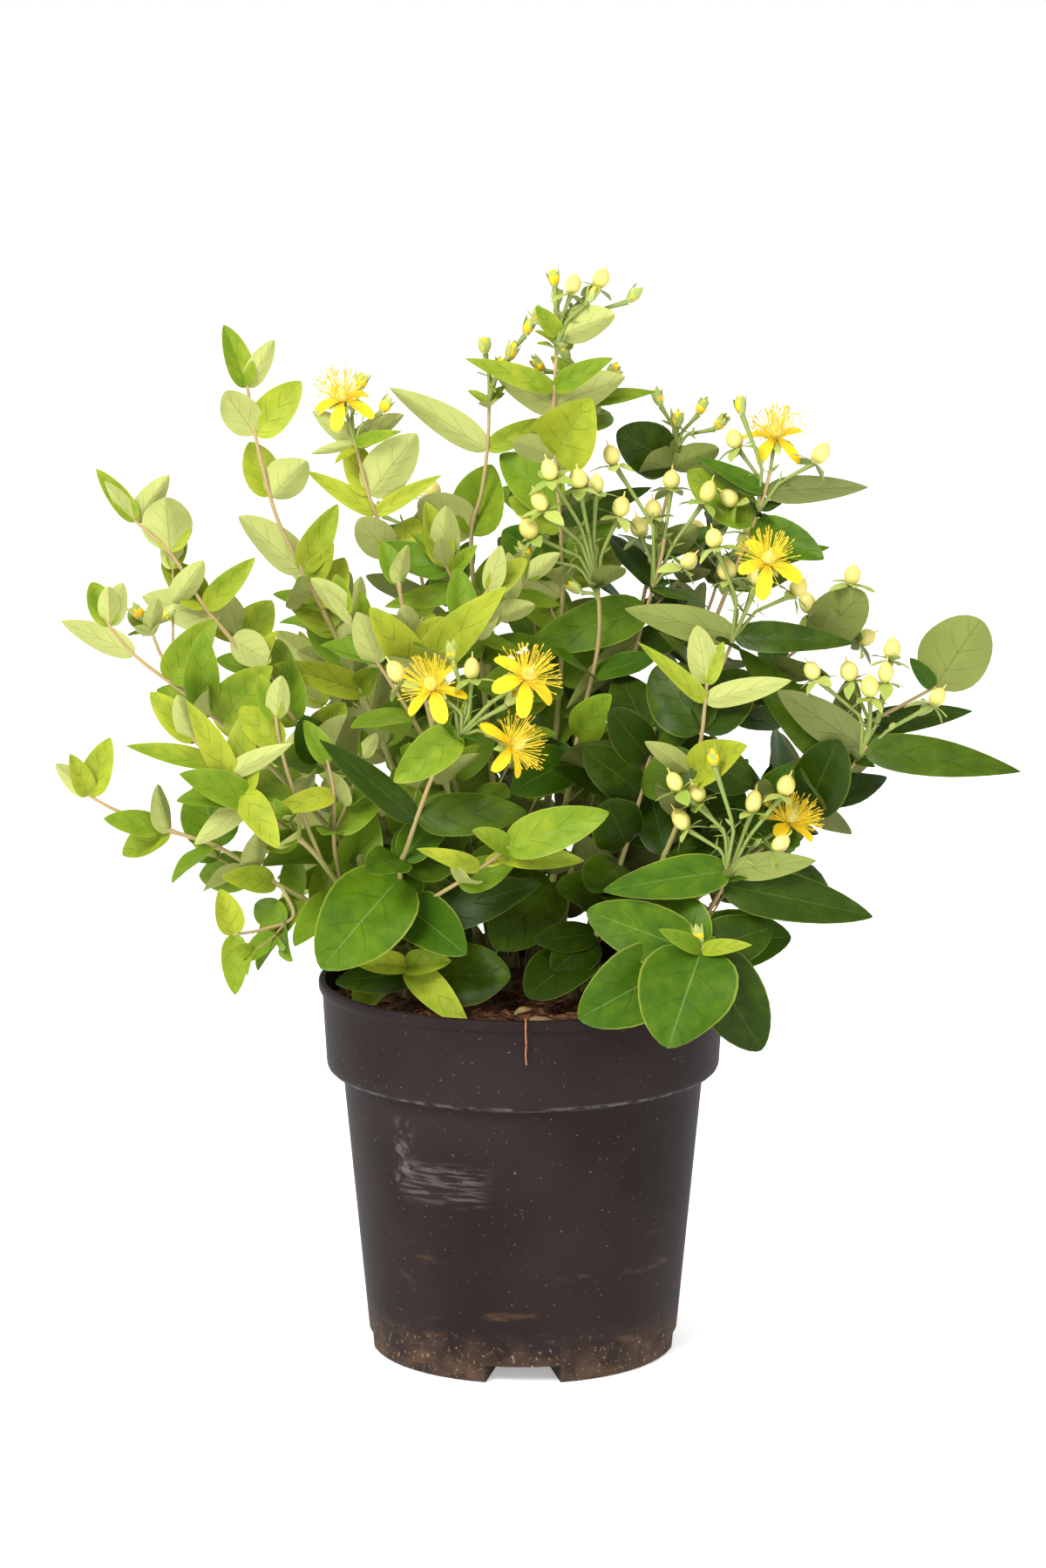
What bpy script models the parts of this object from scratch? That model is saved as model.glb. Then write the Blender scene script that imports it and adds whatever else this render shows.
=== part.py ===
"""A hypericum shrub in its nursery pot, as named solids.

The pot stands on its flat underside, whose middle is the origin. X is to the right, Y runs
away from the viewer and Z is up. Each stem is one tapering limb that stands on the soil. Above
its bare foot it carries on as a mass: the same stem with its side shoots, leaves in crossed
pairs, and heads of berries, buds and flowers, all fused into one solid.
"""

import math
import random
from dataclasses import dataclass

import bmesh
import bpy
import numpy as np
from mathutils import Vector
from mathutils.bvhtree import BVHTree

MM = 0.001
UP = Vector((0, 0, 1))
RIGHT = Vector((1, 0, 0))

# Pot, in millimetres
POT_HEIGHT = 185.0
RIM_RADIUS = 100.0
LIP_DEPTH = 5.0
LIP_OVERHANG = 1.4
BAND_HEIGHT = 45.0
BAND_FOOT_RADIUS = 96.0
BAND_CORNER = 3.0
BODY_RADIUS = 88.5
BASE_RADIUS = 75.3
BASE_CORNER = 2.0
WALL = 1.8
RIM_ROUND = 0.8
LIP_EDGE = 0.3
BAND_DROP = 1.0
FLOOR = 11.0
POT_STEPS = 36
NOTCHES = 4
NOTCH_HEIGHT = 9.0
NOTCH_WIDTH = 38.0
NOTCH_BACK_WIDTH = 22.0
NOTCH_DEPTH = 38.0
NOTCH_BELOW = 3.0
NOTCH_TAPER = 0.94
MERGE = 0.00001

# Soil, in millimetres
SOIL_TOP = 177.0
SOIL_EDGE_DROP = 4.0
SOIL_FLAT_RADIUS = 62.0
SOIL_STEPS = POT_STEPS // 2
GAP = 0.4
SOIL_ROOM = 20.0

# The pot and the soil as the growing leaves keep clear of them, in millimetres
GUARD_STEPS = 24
GUARD_WAIST = 100.0
GUARD_BAND = 138.0
GUARD_OUT = 1.0
GUARD_IN = 4.0
GUARD_LIFT = 0.3
GUARD_MIDDLE = 5.0
SIDEWAYS_LIMIT = 0.9

# Stems, in millimetres
FOOT_RADIUS = 2.3
TIP_RADIUS = 1.0
SIDE_RADIUS = 1.25
SIDE_TIP_RADIUS = 0.85
ROOT_FLARE = 1.5
FLARE_HEIGHT = 10.0
FOOT_BAND = 2.0
RISE = 8.0
RISE_SHARE = 0.33
RISE_LEAN = 0.08
STEP = 4.0
NEARBY = 1.0
BOUGH_STEP = 30.0
BOUGH_SIDES = 5
TWIG_STEP = 18.0
JOIN_GAP = 0.35
FLAT_ANGLE = 0.002
TINY_AREA = 1e-12
JOIN_ATTEMPTS = 18
JOIN_NUDGE = 0.012
FEWER_LEAVES_FROM = 10
JOIN_WAYS = (("EXACT", True), ("EXACT", False), ("MANIFOLD", True), ("MANIFOLD", False))
TWIG_SIDES = 3
TWIG_SWELL = 1.55
GUARD_SIDES = 6

# Leaves, in millimetres, degrees and shares of the leaf's length
LEAF_STATIONS = ((0.30, 1.5), (0.68, 0.8))
LEAF_THICKNESS = 0.02
LEAF_LEAST = 0.75
LEAF_SWELL = 1.1
ROOT_SINK = 0.5
BASE_POWER = 0.50
TIP_POWER = 0.85
LIGHT_ABOVE = 0.25
SHOW = 0.9
SHOW_UNDER = -0.2
ROLL = 22.0
DROOP = 0.12
CLOSED_ANGLE = 20.0
CLOSED_LIMIT = 24.0
CLEARANCE = 0.5
OWN_START = 0.2
MOST_PIECES = 12000
FACE, BACK = 1, -1
FIRST_PAIR = 5.0
LAST_PAIR = 2.0
PAIR_EASE = 0.92
PAIR_TURN = 14.0
LEAN_SPREAD = 7.0
SIZE_SPREAD = (0.88, 1.10)
CLOSED_SIZE = 0.85
LEAST_LEAN = 8.0
OWN_CLEARANCE = 0.1
ROOT_MARGIN = 3.0
END_MARGIN = 1.0
PLACED_TRIES = (0, 6, -6, 12, -12, 18, -18, 26, -26)
LEAF_TRIES = (
    (0, 0, 1.0), (0, -12, 1.0), (0, 12, 1.0), (15, 0, 1.0), (-15, 0, 1.0), (0, -24, 0.95),
    (0, 24, 0.95), (28, -8, 0.9), (-28, -8, 0.9), (0, 0, 0.8), (22, 14, 0.8), (-22, 14, 0.8),
    (40, 0, 0.75), (-40, 0, 0.75), (0, -25, 0.68), (0, 20, 0.6),
)

# Fruit and flowers, in millimetres
PEDICEL_RADIUS = 0.7
PEDICEL_PIECES = 2
BERRY_SIZE = (5.2, 12.5)
BUD_SIZE = (3.4, 10.0)
FRUIT_OUTLINE = ((0.30, 1.0), (0.68, 0.86))
PETALS = 5
PETAL_LENGTH = 16.5
PETAL_RISE = 1.5
PETAL_THICKNESS = 0.8
BRUSH_RADIUS = 9.5
BRUSH_HEIGHT = 11.0
BRUSH_FOOT = 3.5
HEAD_SPREAD = 7.0
RAY_STEP = 2.2
RAY_START = 10.0
OWN_OVERLAP = 0.3
RAY_TRIES = (0, 5, -5, 10, -10, 16, -16, 23, -23)
RAY_LENGTH = 24.0
RAY_ANGLE = 51.0
RAY_SPREAD = (0.8, 1.2)
RAY_BEND = 0.5
SPIRAL_TURN = 0.382
SPIRAL_SLACK = 0.1
CLUSTER_AXIS = (0.6, 0.4)
FRUIT_UPTURN = 0.8
FLOWER_AXIS = (0.7, 0.55)

# Where the plant is seen from when its shoots are placed, in millimetres
EYE = Vector((0.0, -2300.0, 700.0))

BERRY, BUD, FLOWER = "berry", "bud", "flower"
FRUIT_SIDES = {BERRY: 4, BUD: 3, FLOWER: PETALS}


@dataclass
class Shoot:
    """One leafy shoot. path holds points as seen on the upright plane through the pot's axis
    (right, up) and how far each lies in front of that plane, in millimetres. leaf, width and
    open give the leaves' length, width share and angle to the stem, at the foot and the tip.
    placed holds the leaves whose places are given; the rule's own pairs end at the share last
    of the line, and the stalks of the heads leave it at the share end."""

    path: tuple
    pairs: int
    leaf: tuple = (44, 32)
    width: tuple = (0.56, 0.50)
    open: tuple = (62, 40)
    turn: float = 45
    start: float = 0.3
    end: float = 1.0
    last: float = 1.0
    placed: tuple = ()
    closed: bool = False
    head: tuple = ()
    cluster: tuple = ()
    tint: str = "fresh"
    sides: tuple = ()


@dataclass
class Stem:
    """A stem that stands on the soil at foot (right, away). Its shoot's start is where the
    bare foot ends and the leafy mass begins, as a share of the whole length."""

    name: str
    foot: tuple
    shoot: Shoot


def berries(*places):
    """Berries of a head, by where they are seen."""
    return tuple((BERRY, right, up) for right, up in places)


def buds(*places):
    """Buds of a head, by where they are seen."""
    return tuple((BUD, right, up) for right, up in places)


def flowers(*places):
    """Open flowers of a head, by where they are seen."""
    return tuple((FLOWER, right, up) for right, up in places)


def shown(root, tip, width, side=FACE, tint=""):
    """A leaf whose root and tip are seen at given places, with its tip's depth."""
    return root, tip, width, side, tint


STEMS = (
    Stem("left_spire", (-26, 20), Shoot(
        path=((-48, 250, -16), (-80, 330, -14), (-107, 386, 0), (-119, 412, 4),
              (-128, 448, 8), (-132, 474, 8)),
        pairs=3, leaf=(40, 30), width=(0.50, 0.46), open=(52, 28), turn=40, start=0.38,
        last=0.64, closed=True, placed=(
            shown((-134, 474), (-143, 503, 4), 0.42),
            shown((-134, 474), (-119, 496, 14), 0.42, BACK),
            shown((-129, 450), (-143, 471, 16), 0.62, BACK),
            shown((-129, 450), (-106, 476, 2), 0.56),
            shown((-122, 420), (-131, 447, -8), 0.60),
            shown((-122, 420), (-104, 438, 16), 0.72, BACK),
            shown((-108, 384), (-137, 411, 10), 0.46, BACK),
            shown((-108, 384), (-89, 417, 6), 0.40)))),
    Stem("left_arch", (-38, 14), Shoot(
        path=((-72, 250, 2), (-118, 322, 12), (-140, 350, 18), (-155, 369, 20),
              (-169, 392, 22), (-187, 409, 22)),
        pairs=4, leaf=(42, 30), width=(0.54, 0.50), open=(62, 40), turn=47, start=0.32,
        last=0.66, closed=True, placed=(
            shown((-186, 409), (-205, 434, 18), 0.34),
            shown((-186, 409), (-201, 428, 26), 0.30, BACK),
            shown((-186, 409), (-170, 431, 20), 0.46, BACK),
            shown((-169, 394), (-172, 420, 34), 0.80, BACK),
            shown((-169, 394), (-167, 415, 8), 0.70),
            shown((-153, 366), (-174, 389, 12), 0.52),
            shown((-153, 366), (-129, 391, 24), 0.36),
            shown((-148, 358), (-184, 372, 24), 0.50, BACK)))),
    Stem("left_mid", (-50, 16), Shoot(
        path=((-78, 238, 20), (-122, 288, 38), (-158, 320, 46), (-184, 340, 48),
              (-196, 352, 48), (-202, 362, 48)),
        pairs=4, leaf=(42, 31), width=(0.52, 0.52), open=(64, 44), turn=38, start=0.34,
        last=0.74, closed=True, placed=(
            shown((-201, 357), (-208, 379, 46), 0.55),
            shown((-201, 357), (-193, 379, 48), 0.55, BACK),
            shown((-201, 357), (-200, 377, 56), 0.50, BACK),
            shown((-188, 343), (-223, 360, 52), 0.34, BACK)), sides=((0.76, Shoot(
            path=((-173, 340, 40), (-177, 348, 38), (-180, 357, 36)),
            pairs=2, leaf=(28, 22), open=(60, 45), turn=43, start=0.35,
            head=buds((-184, 366), (-175, 365)))),))),
    Stem("left_low", (-55, 0), Shoot(
        path=((-82, 204, 32), (-104, 221, 44), (-121, 231, 50), (-147, 248, 54),
              (-178, 259, 58), (-200, 268, 60), (-212, 275, 60)),
        pairs=4, leaf=(38, 30), width=(0.56, 0.56), open=(70, 50), turn=57, start=0.42,
        last=0.8, closed=True, placed=(
            shown((-212, 275), (-200, 303, 62), 0.50),
            shown((-212, 275), (-227, 290, 60), 0.50, BACK),
            shown((-212, 275), (-220, 295, 66), 0.42),
            shown((-177, 259), (-204, 263, 70), 0.45),
            shown((-121, 231), (-147, 234, 70), 0.42)), sides=((0.50, Shoot(
            path=((-112, 214, 58), (-126, 208, 62), (-142, 205, 64)),
            pairs=1, leaf=(28, 24), width=(0.5, 0.45), open=(70, 60), turn=64,
            start=0.35, last=0.5, placed=(
                shown((-141, 205), (-141, 175, 72), 0.46),
                shown((-141, 205), (-148, 228, 62), 0.60)))),))),
    Stem("left_inner", (-30, 4), Shoot(
        path=((-58, 250, -2), (-96, 300, -2), (-124, 336, 0), (-137, 352, 2)),
        pairs=4, leaf=(40, 32), width=(0.50, 0.46), open=(58, 34), turn=62, start=0.36,
        closed=True)),
    Stem("left_front", (-56, -16), Shoot(
        path=((-74, 206, 36), (-101, 245, 60), (-132, 272, 74), (-150, 290, 78),
              (-160, 303, 78)),
        pairs=4, leaf=(42, 34), width=(0.50, 0.46), open=(64, 40), turn=42, start=0.36,
        closed=True, placed=(shown((-150, 290), (-193, 299, 84), 0.25),), sides=(
            (0.52, Shoot(
                path=((-112, 278, 66), (-118, 300, 74), (-120, 314, 76)),
                pairs=2, leaf=(36, 30), width=(0.52, 0.48), open=(60, 36), turn=50,
                start=0.35, closed=True)),
            (0.42, Shoot(
                path=((-92, 250, 52), (-92, 276, 62), (-95, 292, 66)),
                pairs=2, leaf=(38, 30), width=(0.50, 0.48), open=(60, 40), turn=43,
                start=0.35, closed=True))))),
    Stem("flower_left", (-14, 12), Shoot(
        path=((-28, 260, -6), (-50, 340, -8), (-66, 398, 0), (-74, 421, 4), (-81, 447, 6)),
        pairs=3, leaf=(42, 32), width=(0.52, 0.40), open=(60, 62), turn=31, start=0.42,
        last=0.66, placed=(
            shown((-81, 447), (-101, 462, 6), 0.42, BACK),
            shown((-81, 447), (-57, 460, 0), 0.42, BACK),
            shown((-81, 447), (-102, 441, 16), 0.24, BACK),
            shown((-81, 447), (-58, 452, 18), 0.26),
            shown((-71, 422), (-51, 451, 14), 0.60, BACK),
            shown((-71, 422), (-84, 449, -8), 0.50),
            shown((-71, 412), (-104, 433, 6), 0.26),
            shown((-71, 412), (-39, 431, 2), 0.24)),
        head=flowers((-86, 468)) + buds((-78, 477), (-68, 466)))),
    Stem("second_top", (-8, 0), Shoot(
        path=((-12, 250, -12), (-20, 340, -24), (-25, 398, -20), (-20, 422, -16),
              (-17, 445, -14), (-16, 470, -14)),
        pairs=3, leaf=(50, 40), width=(0.44, 0.34), open=(66, 58), turn=40, start=0.42,
        end=0.99, last=0.66, placed=(
            shown((-18, 443), (-64, 473, -10), 0.28, BACK),
            shown((-18, 443), (14, 458, -20), 0.34),
            shown((-24, 401), (-15, 436, -30), 0.72),
            shown((-24, 401), (-49, 420, -4), 0.55),
            shown((-20, 343), (-54, 361, 16), 0.30, FACE, "mid"),
            shown((-20, 343), (6, 352, 4), 0.34, FACE, "mid")),
        head=buds((-18, 494), (-7, 491), (1, 503), (-12, 484)),
        sides=((0.55, Shoot(
            path=((-21, 358, 0), (-29, 372, 12), (-38, 388, 18)),
            pairs=2, leaf=(32, 30), width=(0.46, 0.42), open=(48, 20), turn=36,
            start=0.35, closed=True)),))),
    Stem("apex", (2, 14), Shoot(
        path=((10, 250, -14), (18, 330, -16), (19, 382, -12), (17, 420, -8), (15, 446, -6),
              (15, 473, -4), (17, 500, -4)),
        pairs=3, leaf=(50, 44), width=(0.56, 0.50), open=(58, 62), turn=38, start=0.45,
        end=0.985, last=0.62, placed=(
            shown((17, 498), (6, 512, -4), 0.50),
            shown((17, 498), (44, 508, 4), 0.62, BACK),
            shown((15, 472), (-28, 487, 6), 0.24),
            shown((15, 472), (43, 487, 2), 0.36),
            shown((15, 464), (-13, 479, -18), 0.55, BACK),
            shown((15, 464), (49, 478, -20), 0.50, BACK),
            shown((16, 440), (33, 468, 14), 0.80),
            shown((16, 440), (-5, 447, 12), 0.50, BACK),
            shown((17, 415), (-11, 441, -18), 0.60),
            shown((19, 372), (-8, 388, 18), 0.90, BACK)),
        head=berries((23, 524), (35, 527)) + buds(
            (15, 526), (31, 519), (50, 519), (9, 508), (16, 517)),
        sides=((0.80, Shoot(
            path=((27, 440, -18), (30, 458, -26), (31, 472, -30)),
            pairs=2, leaf=(30, 22), width=(0.5, 0.4), open=(56, 60), turn=42, start=0.5,
            head=buds((22, 491), (40, 483), (10, 486)))),))),
    Stem("centre_flowers", (-43, 4), Shoot(
        path=((-52, 204, 32), (-60, 234, 56), (-56, 250, 64), (-43, 286, 76),
              (-30, 305, 82)),
        pairs=3, leaf=(62, 40), width=(0.58, 0.46), open=(70, 62), turn=48, start=0.2,
        tint="mid", last=0.6, placed=(
            shown((-30, 305), (-63, 281, 94), 0.52, FACE, "fresh"),
            shown((-52, 262), (-99, 302, 70), 0.26, FACE, "deep"),
            shown((-60, 234), (-99, 188, 92), 0.66, FACE, "deep"),
            shown((-54, 211), (9, 231, 44), 0.36, FACE, "deep"),
            shown((-47, 263), (2, 266, 70), 0.42, FACE, "deep"),
            shown((-59, 238), (-32, 256, 30), 0.80, FACE, "deep"),
            shown((-55, 218), (-42, 203, 66), 0.40, FACE, "fresh")),
        head=flowers((-43, 328), (1, 333), (-6, 300)) + berries((-58, 337), (-25, 338))
        + buds((-34, 346), (-8, 324)),
        sides=((0.40, Shoot(
            path=((-40, 226, 60), (-21, 238, 74), (-7, 249, 82)),
            pairs=1, leaf=(30, 24), open=(40, 30), turn=38, start=0.45, last=0.9,
            tint="fresh", placed=(
                shown((-5, 249), (42, 266, 90), 0.42),
                shown((-5, 249), (-25, 257, 92), 0.50),
                shown((-21, 238), (-52, 248, 86), 0.27),
                shown((-18, 240), (-1, 249, 90), 0.34),
                shown((-12, 244), (30, 242, 70), 0.30)))),))),
    Stem("rim_left", (-46, -24), Shoot(
        path=((-48, 181, 29), (-51, 185, 38), (-55, 188, 47), (-58, 190, 55)),
        pairs=0, start=0.45, placed=(
            shown((-56, 189), (-26, 158, 78), 0.34),
            shown((-58, 190), (-83, 191, 70), 0.40),
            shown((-58, 190), (-76, 199, 60), 0.36),
            shown((-58, 190), (-35, 192, 66), 0.50),
            shown((-53, 186), (-92, 181, 52), 0.45, FACE, "deep"),
            shown((-51, 184), (-6, 184, 52), 0.72, FACE, "deep")))),
    Stem("centre_light", (-20, -10), Shoot(
        path=((-28, 236, 20), (-42, 300, 30), (-52, 340, 34), (-58, 366, 34),
              (-60, 380, 34)),
        pairs=4, leaf=(40, 30), width=(0.52, 0.48), open=(60, 36), turn=45, start=0.22,
        closed=True, placed=(
            shown((-50, 335), (-8, 377, 56), 0.30),
            shown((-50, 335), (-74, 367, 50), 0.42)), sides=(
            (0.55, Shoot(
                path=((-64, 330, 40), (-78, 350, 40), (-86, 364, 38)),
                pairs=3, leaf=(34, 28), open=(58, 38), turn=54, start=0.3, closed=True)),
            (0.66, Shoot(
                path=((-34, 350, 42), (-24, 366, 44), (-16, 376, 44)),
                pairs=3, leaf=(34, 28), open=(58, 38), turn=40, start=0.35,
                closed=True))))),
    Stem("centre_berries", (8, 2), Shoot(
        path=((14, 230, 2), (26, 300, 4), (36, 346, 8), (36, 376, 12), (31, 394, 12)),
        pairs=4, leaf=(52, 32), width=(0.56, 0.42), open=(64, 60), turn=33, start=0.24,
        end=0.93, tint="mid", placed=(
            shown((26, 302), (43, 324, 30), 0.50, FACE, "fresh"),
            shown((24, 292), (-6, 276, 40), 0.50),
            shown((12, 224), (-14, 198, 36), 0.66, FACE, "deep")),
        head=berries((14, 435), (27, 431), (35, 428), (10, 420), (6, 407), (46, 417))
        + buds((4, 396), (34, 394), (28, 379)))),
    Stem("centre_right", (18, 12), Shoot(
        path=((24, 240, -6), (44, 310, -10), (58, 360, -6), (66, 388, 0), (68, 400, 2)),
        pairs=4, leaf=(54, 40), width=(0.48, 0.40), open=(64, 66), turn=39, start=0.42,
        end=0.9, tint="deep", placed=(
            shown((60, 366), (2, 347, 24), 0.40, FACE, "mid"),
            shown((57, 352), (21, 317, 30), 0.26, BACK, "mid")),
        head=berries((44, 442), (63, 416), (71, 430), (77, 392), (87, 424), (57, 407)),
        sides=((0.62, Shoot(
            path=((60, 380, -30), (69, 420, -44), (73, 444, -48)),
            pairs=2, last=0.6, leaf=(46, 34), width=(0.48, 0.40), open=(64, 60), turn=42,
            start=0.3, tint="mid", placed=(
                shown((72, 436), (46, 450, -38), 0.62, FACE, "deep"),
                shown((71, 425), (94, 447, -34), 0.50, BACK)),
            head=buds((66, 469), (74, 459), (84, 465), (92, 458)))),))),
    Stem("right_top", (30, 16), Shoot(
        path=((46, 260, -20), (80, 330, -26), (105, 392, -18), (114, 415, -12),
              (119, 433, -8)),
        pairs=3, leaf=(58, 46), width=(0.46, 0.34), open=(66, 70), turn=36, start=0.42,
        end=0.93, last=0.78, tint="deep", placed=(
            shown((117, 423), (166, 425, -14), 0.28, BACK),
            shown((117, 423), (84, 437, -22), 0.32),
            shown((110, 406), (145, 390, 8), 0.46, FACE, "mid")),
        head=flowers((121, 450)) + berries((103, 450), (140, 443), (103, 423)) + buds(
            (105, 465), (116, 466)))),
    Stem("right_mid", (30, 0), Shoot(
        path=((44, 236, 4), (74, 300, 12), (92, 330, 22), (103, 354, 30), (109, 368, 32)),
        pairs=3, leaf=(56, 48), width=(0.44, 0.34), open=(68, 74), turn=38, start=0.42,
        end=0.92, last=0.8, tint="deep", placed=(
            shown((102, 353), (49, 366, 26), 0.32, BACK, "mid"),
            shown((102, 353), (160, 349, 38), 0.28)),
        head=flowers((118, 390)) + berries((130, 379), (99, 386), (111, 383), (93, 402)),
        sides=((0.60, Shoot(
            path=((108, 326, 8), (130, 344, 4), (142, 352, 4)),
            pairs=3, leaf=(42, 34), width=(0.46, 0.42), open=(60, 60), turn=47,
            start=0.3, tint="mid", placed=(
                shown((142, 352), (165, 374, 8), 0.75, BACK),),
            head=berries((139, 370), (158, 384), (162, 356)))),))),
    Stem("right_end", (52, 8), Shoot(
        path=((74, 214, 4), (110, 244, 14), (139, 266, 22), (158, 287, 28),
              (167, 299, 30)),
        pairs=3, leaf=(54, 50), width=(0.48, 0.36), open=(64, 62), turn=43, start=0.36,
        end=0.97, last=0.8, tint="deep", placed=(
            shown((166, 297), (242, 286, 36), 0.27),
            shown((166, 297), (123, 326, 44), 0.36, BACK),
            shown((158, 287), (104, 347, 16), 0.30),
            shown((138, 265), (153, 302, 36), 0.66)),
        head=berries((142, 338), (159, 337), (168, 329), (175, 336), (178, 347),
                     (198, 325)))),
    Stem("right_far", (42, -8), Shoot(
        path=((64, 226, 14), (112, 270, 12), (150, 300, 4), (182, 318, -2),
              (200, 328, -4)),
        pairs=3, leaf=(54, 38), width=(0.40, 0.50), open=(62, 46), turn=43, start=0.42,
        tint="mid", last=0.76, placed=(
            shown((200, 328), (221, 361, 4), 0.84, BACK),
            shown((200, 328), (214, 344, 12), 0.50),
            shown((165, 310), (218, 316, -16), 0.26, FACE, "deep")))),
    Stem("right_young", (52, -22), Shoot(
        path=((60, 220, 34), (78, 268, 48), (86, 300, 54), (88, 318, 56), (89, 330, 56)),
        pairs=3, leaf=(52, 34), width=(0.58, 0.36), open=(66, 56), turn=38, start=0.32,
        tint="deep", last=0.6, placed=(
            shown((88, 329), (84, 358, 60), 0.50, BACK, "fresh"),
            shown((88, 329), (97, 350, 52), 0.40, FACE, "fresh"),
            shown((88, 321), (55, 350, 66), 0.20, FACE, "fresh"),
            shown((88, 321), (130, 331, 64), 0.30, BACK, "fresh"),
            shown((87, 306), (64, 338, 34), 0.75),
            shown((87, 306), (108, 336, 34), 0.65),
            shown((85, 292), (58, 276, 44), 0.75),
            shown((85, 292), (112, 280, 44), 0.75),
            shown((83, 284), (59, 301, 74), 0.28, BACK, "fresh"),
            shown((83, 284), (109, 299, 68), 0.50, FACE, "fresh")))),
    Stem("right_low", (66, -18), Shoot(
        path=((80, 200, 42), (90, 216, 56), (97, 228, 62), (101, 238, 64)),
        pairs=2, leaf=(50, 46), width=(0.62, 0.56), open=(66, 74), turn=34, start=0.4,
        end=0.98, last=0.8, tint="mid", placed=(
            shown((100, 237), (39, 227, 76), 0.34),
            shown((100, 237), (143, 242, 74), 0.32, BACK),
            shown((97, 230), (171, 214, 60), 0.34, FACE, "deep")),
        head=berries((76, 283), (86, 277), (80, 264), (111, 272), (126, 281), (122, 253))
        + flowers((129, 262)) + buds((93, 294)))),
    Stem("rim_right", (58, -40), Shoot(
        path=((68, 182, 60), (80, 192, 74), (88, 198, 80)),
        pairs=0, start=0.4, tint="mid", placed=(
            shown((88, 198), (27, 161, 94), 0.56),
            shown((88, 198), (71, 147, 102), 0.80),
            shown((88, 198), (117, 147, 86), 0.62, FACE, "deep"),
            shown((85, 196), (31, 217, 66), 0.52),
            shown((85, 196), (67, 227, 56), 0.75),
            shown((85, 196), (122, 209, 62), 0.62, FACE, "deep"),
            shown((88, 198), (66, 208, 96), 0.30, FACE, "fresh"),
            shown((88, 198), (112, 200, 94), 0.30, FACE, "fresh")),
        head=buds((87, 206)))),
    Stem("right_inner", (24, -16), Shoot(
        path=((34, 200, 26), (46, 236, 34), (56, 270, 36), (62, 296, 34), (64, 308, 34)),
        pairs=2, leaf=(50, 46), width=(0.64, 0.60), open=(72, 52), turn=47, start=0.16,
        last=0.95, tint="deep", placed=(
            shown((57, 275), (29, 297, 56), 0.55),
            shown((50, 250), (40, 272, 62), 0.70),
            shown((47, 240), (34, 226, 66), 0.75),
            shown((42, 224), (16, 229, 54), 0.60),
            shown((36, 206), (5, 202, 44), 0.45),
            shown((36, 204), (14, 187, 50), 0.75),
            shown((61, 292), (42, 317, 48), 0.60)))),
    Stem("back_left", (-30, 36), Shoot(
        path=((-46, 240, -45), (-72, 310, -80), (-94, 360, -100), (-100, 376, -104)),
        pairs=5, leaf=(42, 32), open=(62, 40), turn=47, start=0.34, closed=True)),
    Stem("back_mid_left", (-12, 30), Shoot(
        path=((-20, 240, -42), (-36, 320, -66), (-48, 376, -82), (-52, 398, -86)),
        pairs=4, leaf=(44, 34), open=(62, 56), turn=36, start=0.34, cluster=(1, 1, 0),
        tint="mid")),
    Stem("back_mid", (6, 32), Shoot(
        path=((10, 240, -45), (14, 330, -76), (14, 390, -96), (12, 412, -100)),
        pairs=4, leaf=(46, 36), open=(64, 56), turn=52, start=0.34, cluster=(2, 1, 0),
        tint="mid")),
    Stem("back_right", (30, 34), Shoot(
        path=((40, 240, -45), (66, 310, -76), (88, 362, -96), (94, 380, -100)),
        pairs=4, leaf=(48, 38), open=(64, 56), turn=43, start=0.34, cluster=(2, 1, 0),
        tint="deep")),
    Stem("back_low_left", (-44, 40), Shoot(
        path=((-62, 214, -64), (-98, 250, -104), (-126, 286, -128), (-136, 304, -134)),
        pairs=4, leaf=(44, 34), open=(66, 42), turn=40, start=0.32, closed=True)),
    Stem("back_low_mid", (-4, 52), Shoot(
        path=((-6, 220, -86), (-8, 262, -132), (-6, 300, -160), (-4, 318, -166)),
        pairs=4, leaf=(46, 36), open=(66, 56), turn=48, start=0.32, cluster=(2, 1, 0),
        tint="mid")),
    Stem("back_low_right", (46, 38), Shoot(
        path=((64, 214, -64), (100, 246, -104), (134, 274, -130), (146, 286, -136)),
        pairs=4, leaf=(48, 38), open=(66, 56), turn=36, start=0.32, cluster=(2, 1, 0),
        tint="deep")),
)


def seen(right, up, near):
    """The point seen at (right, up) on the upright plane through the pot's axis, near mm
    in front of that plane."""
    flat = Vector((right, 0.0, up))
    return EYE + (flat - EYE) * (1 + near / EYE.y)


def as_seen(point):
    """Where a point is seen on the upright plane through the pot's axis, as (right, up)."""
    flat = EYE + (point - EYE) * (EYE.y / (EYE.y - point.y))
    return flat.x, flat.z


def lerp(ends, share):
    """The value at a share of the way from the first end to the second."""
    return ends[0] + (ends[1] - ends[0]) * share


def across(vector, axis):
    """The part of a vector that stands square to an axis, as a unit vector."""
    return (vector - axis * vector.dot(axis)).normalized()


def smooth(points):
    """A curve through all the points, sampled about every STEP millimetres."""
    ends = [points[0] * 2 - points[1]] + list(points) + [points[-1] * 2 - points[-2]]
    curve = [points[0]]
    for a, b, c, d in zip(ends, ends[1:], ends[2:], ends[3:]):
        count = max(2, round((c - b).length / STEP))
        for i in range(1, count + 1):
            t = i / count
            curve.append((b * 2 + (c - a) * t + (a * 2 - b * 5 + c * 4 - d) * t * t
                          + (b * 3 - a - c * 3 + d) * t ** 3) / 2)
    return curve


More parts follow.
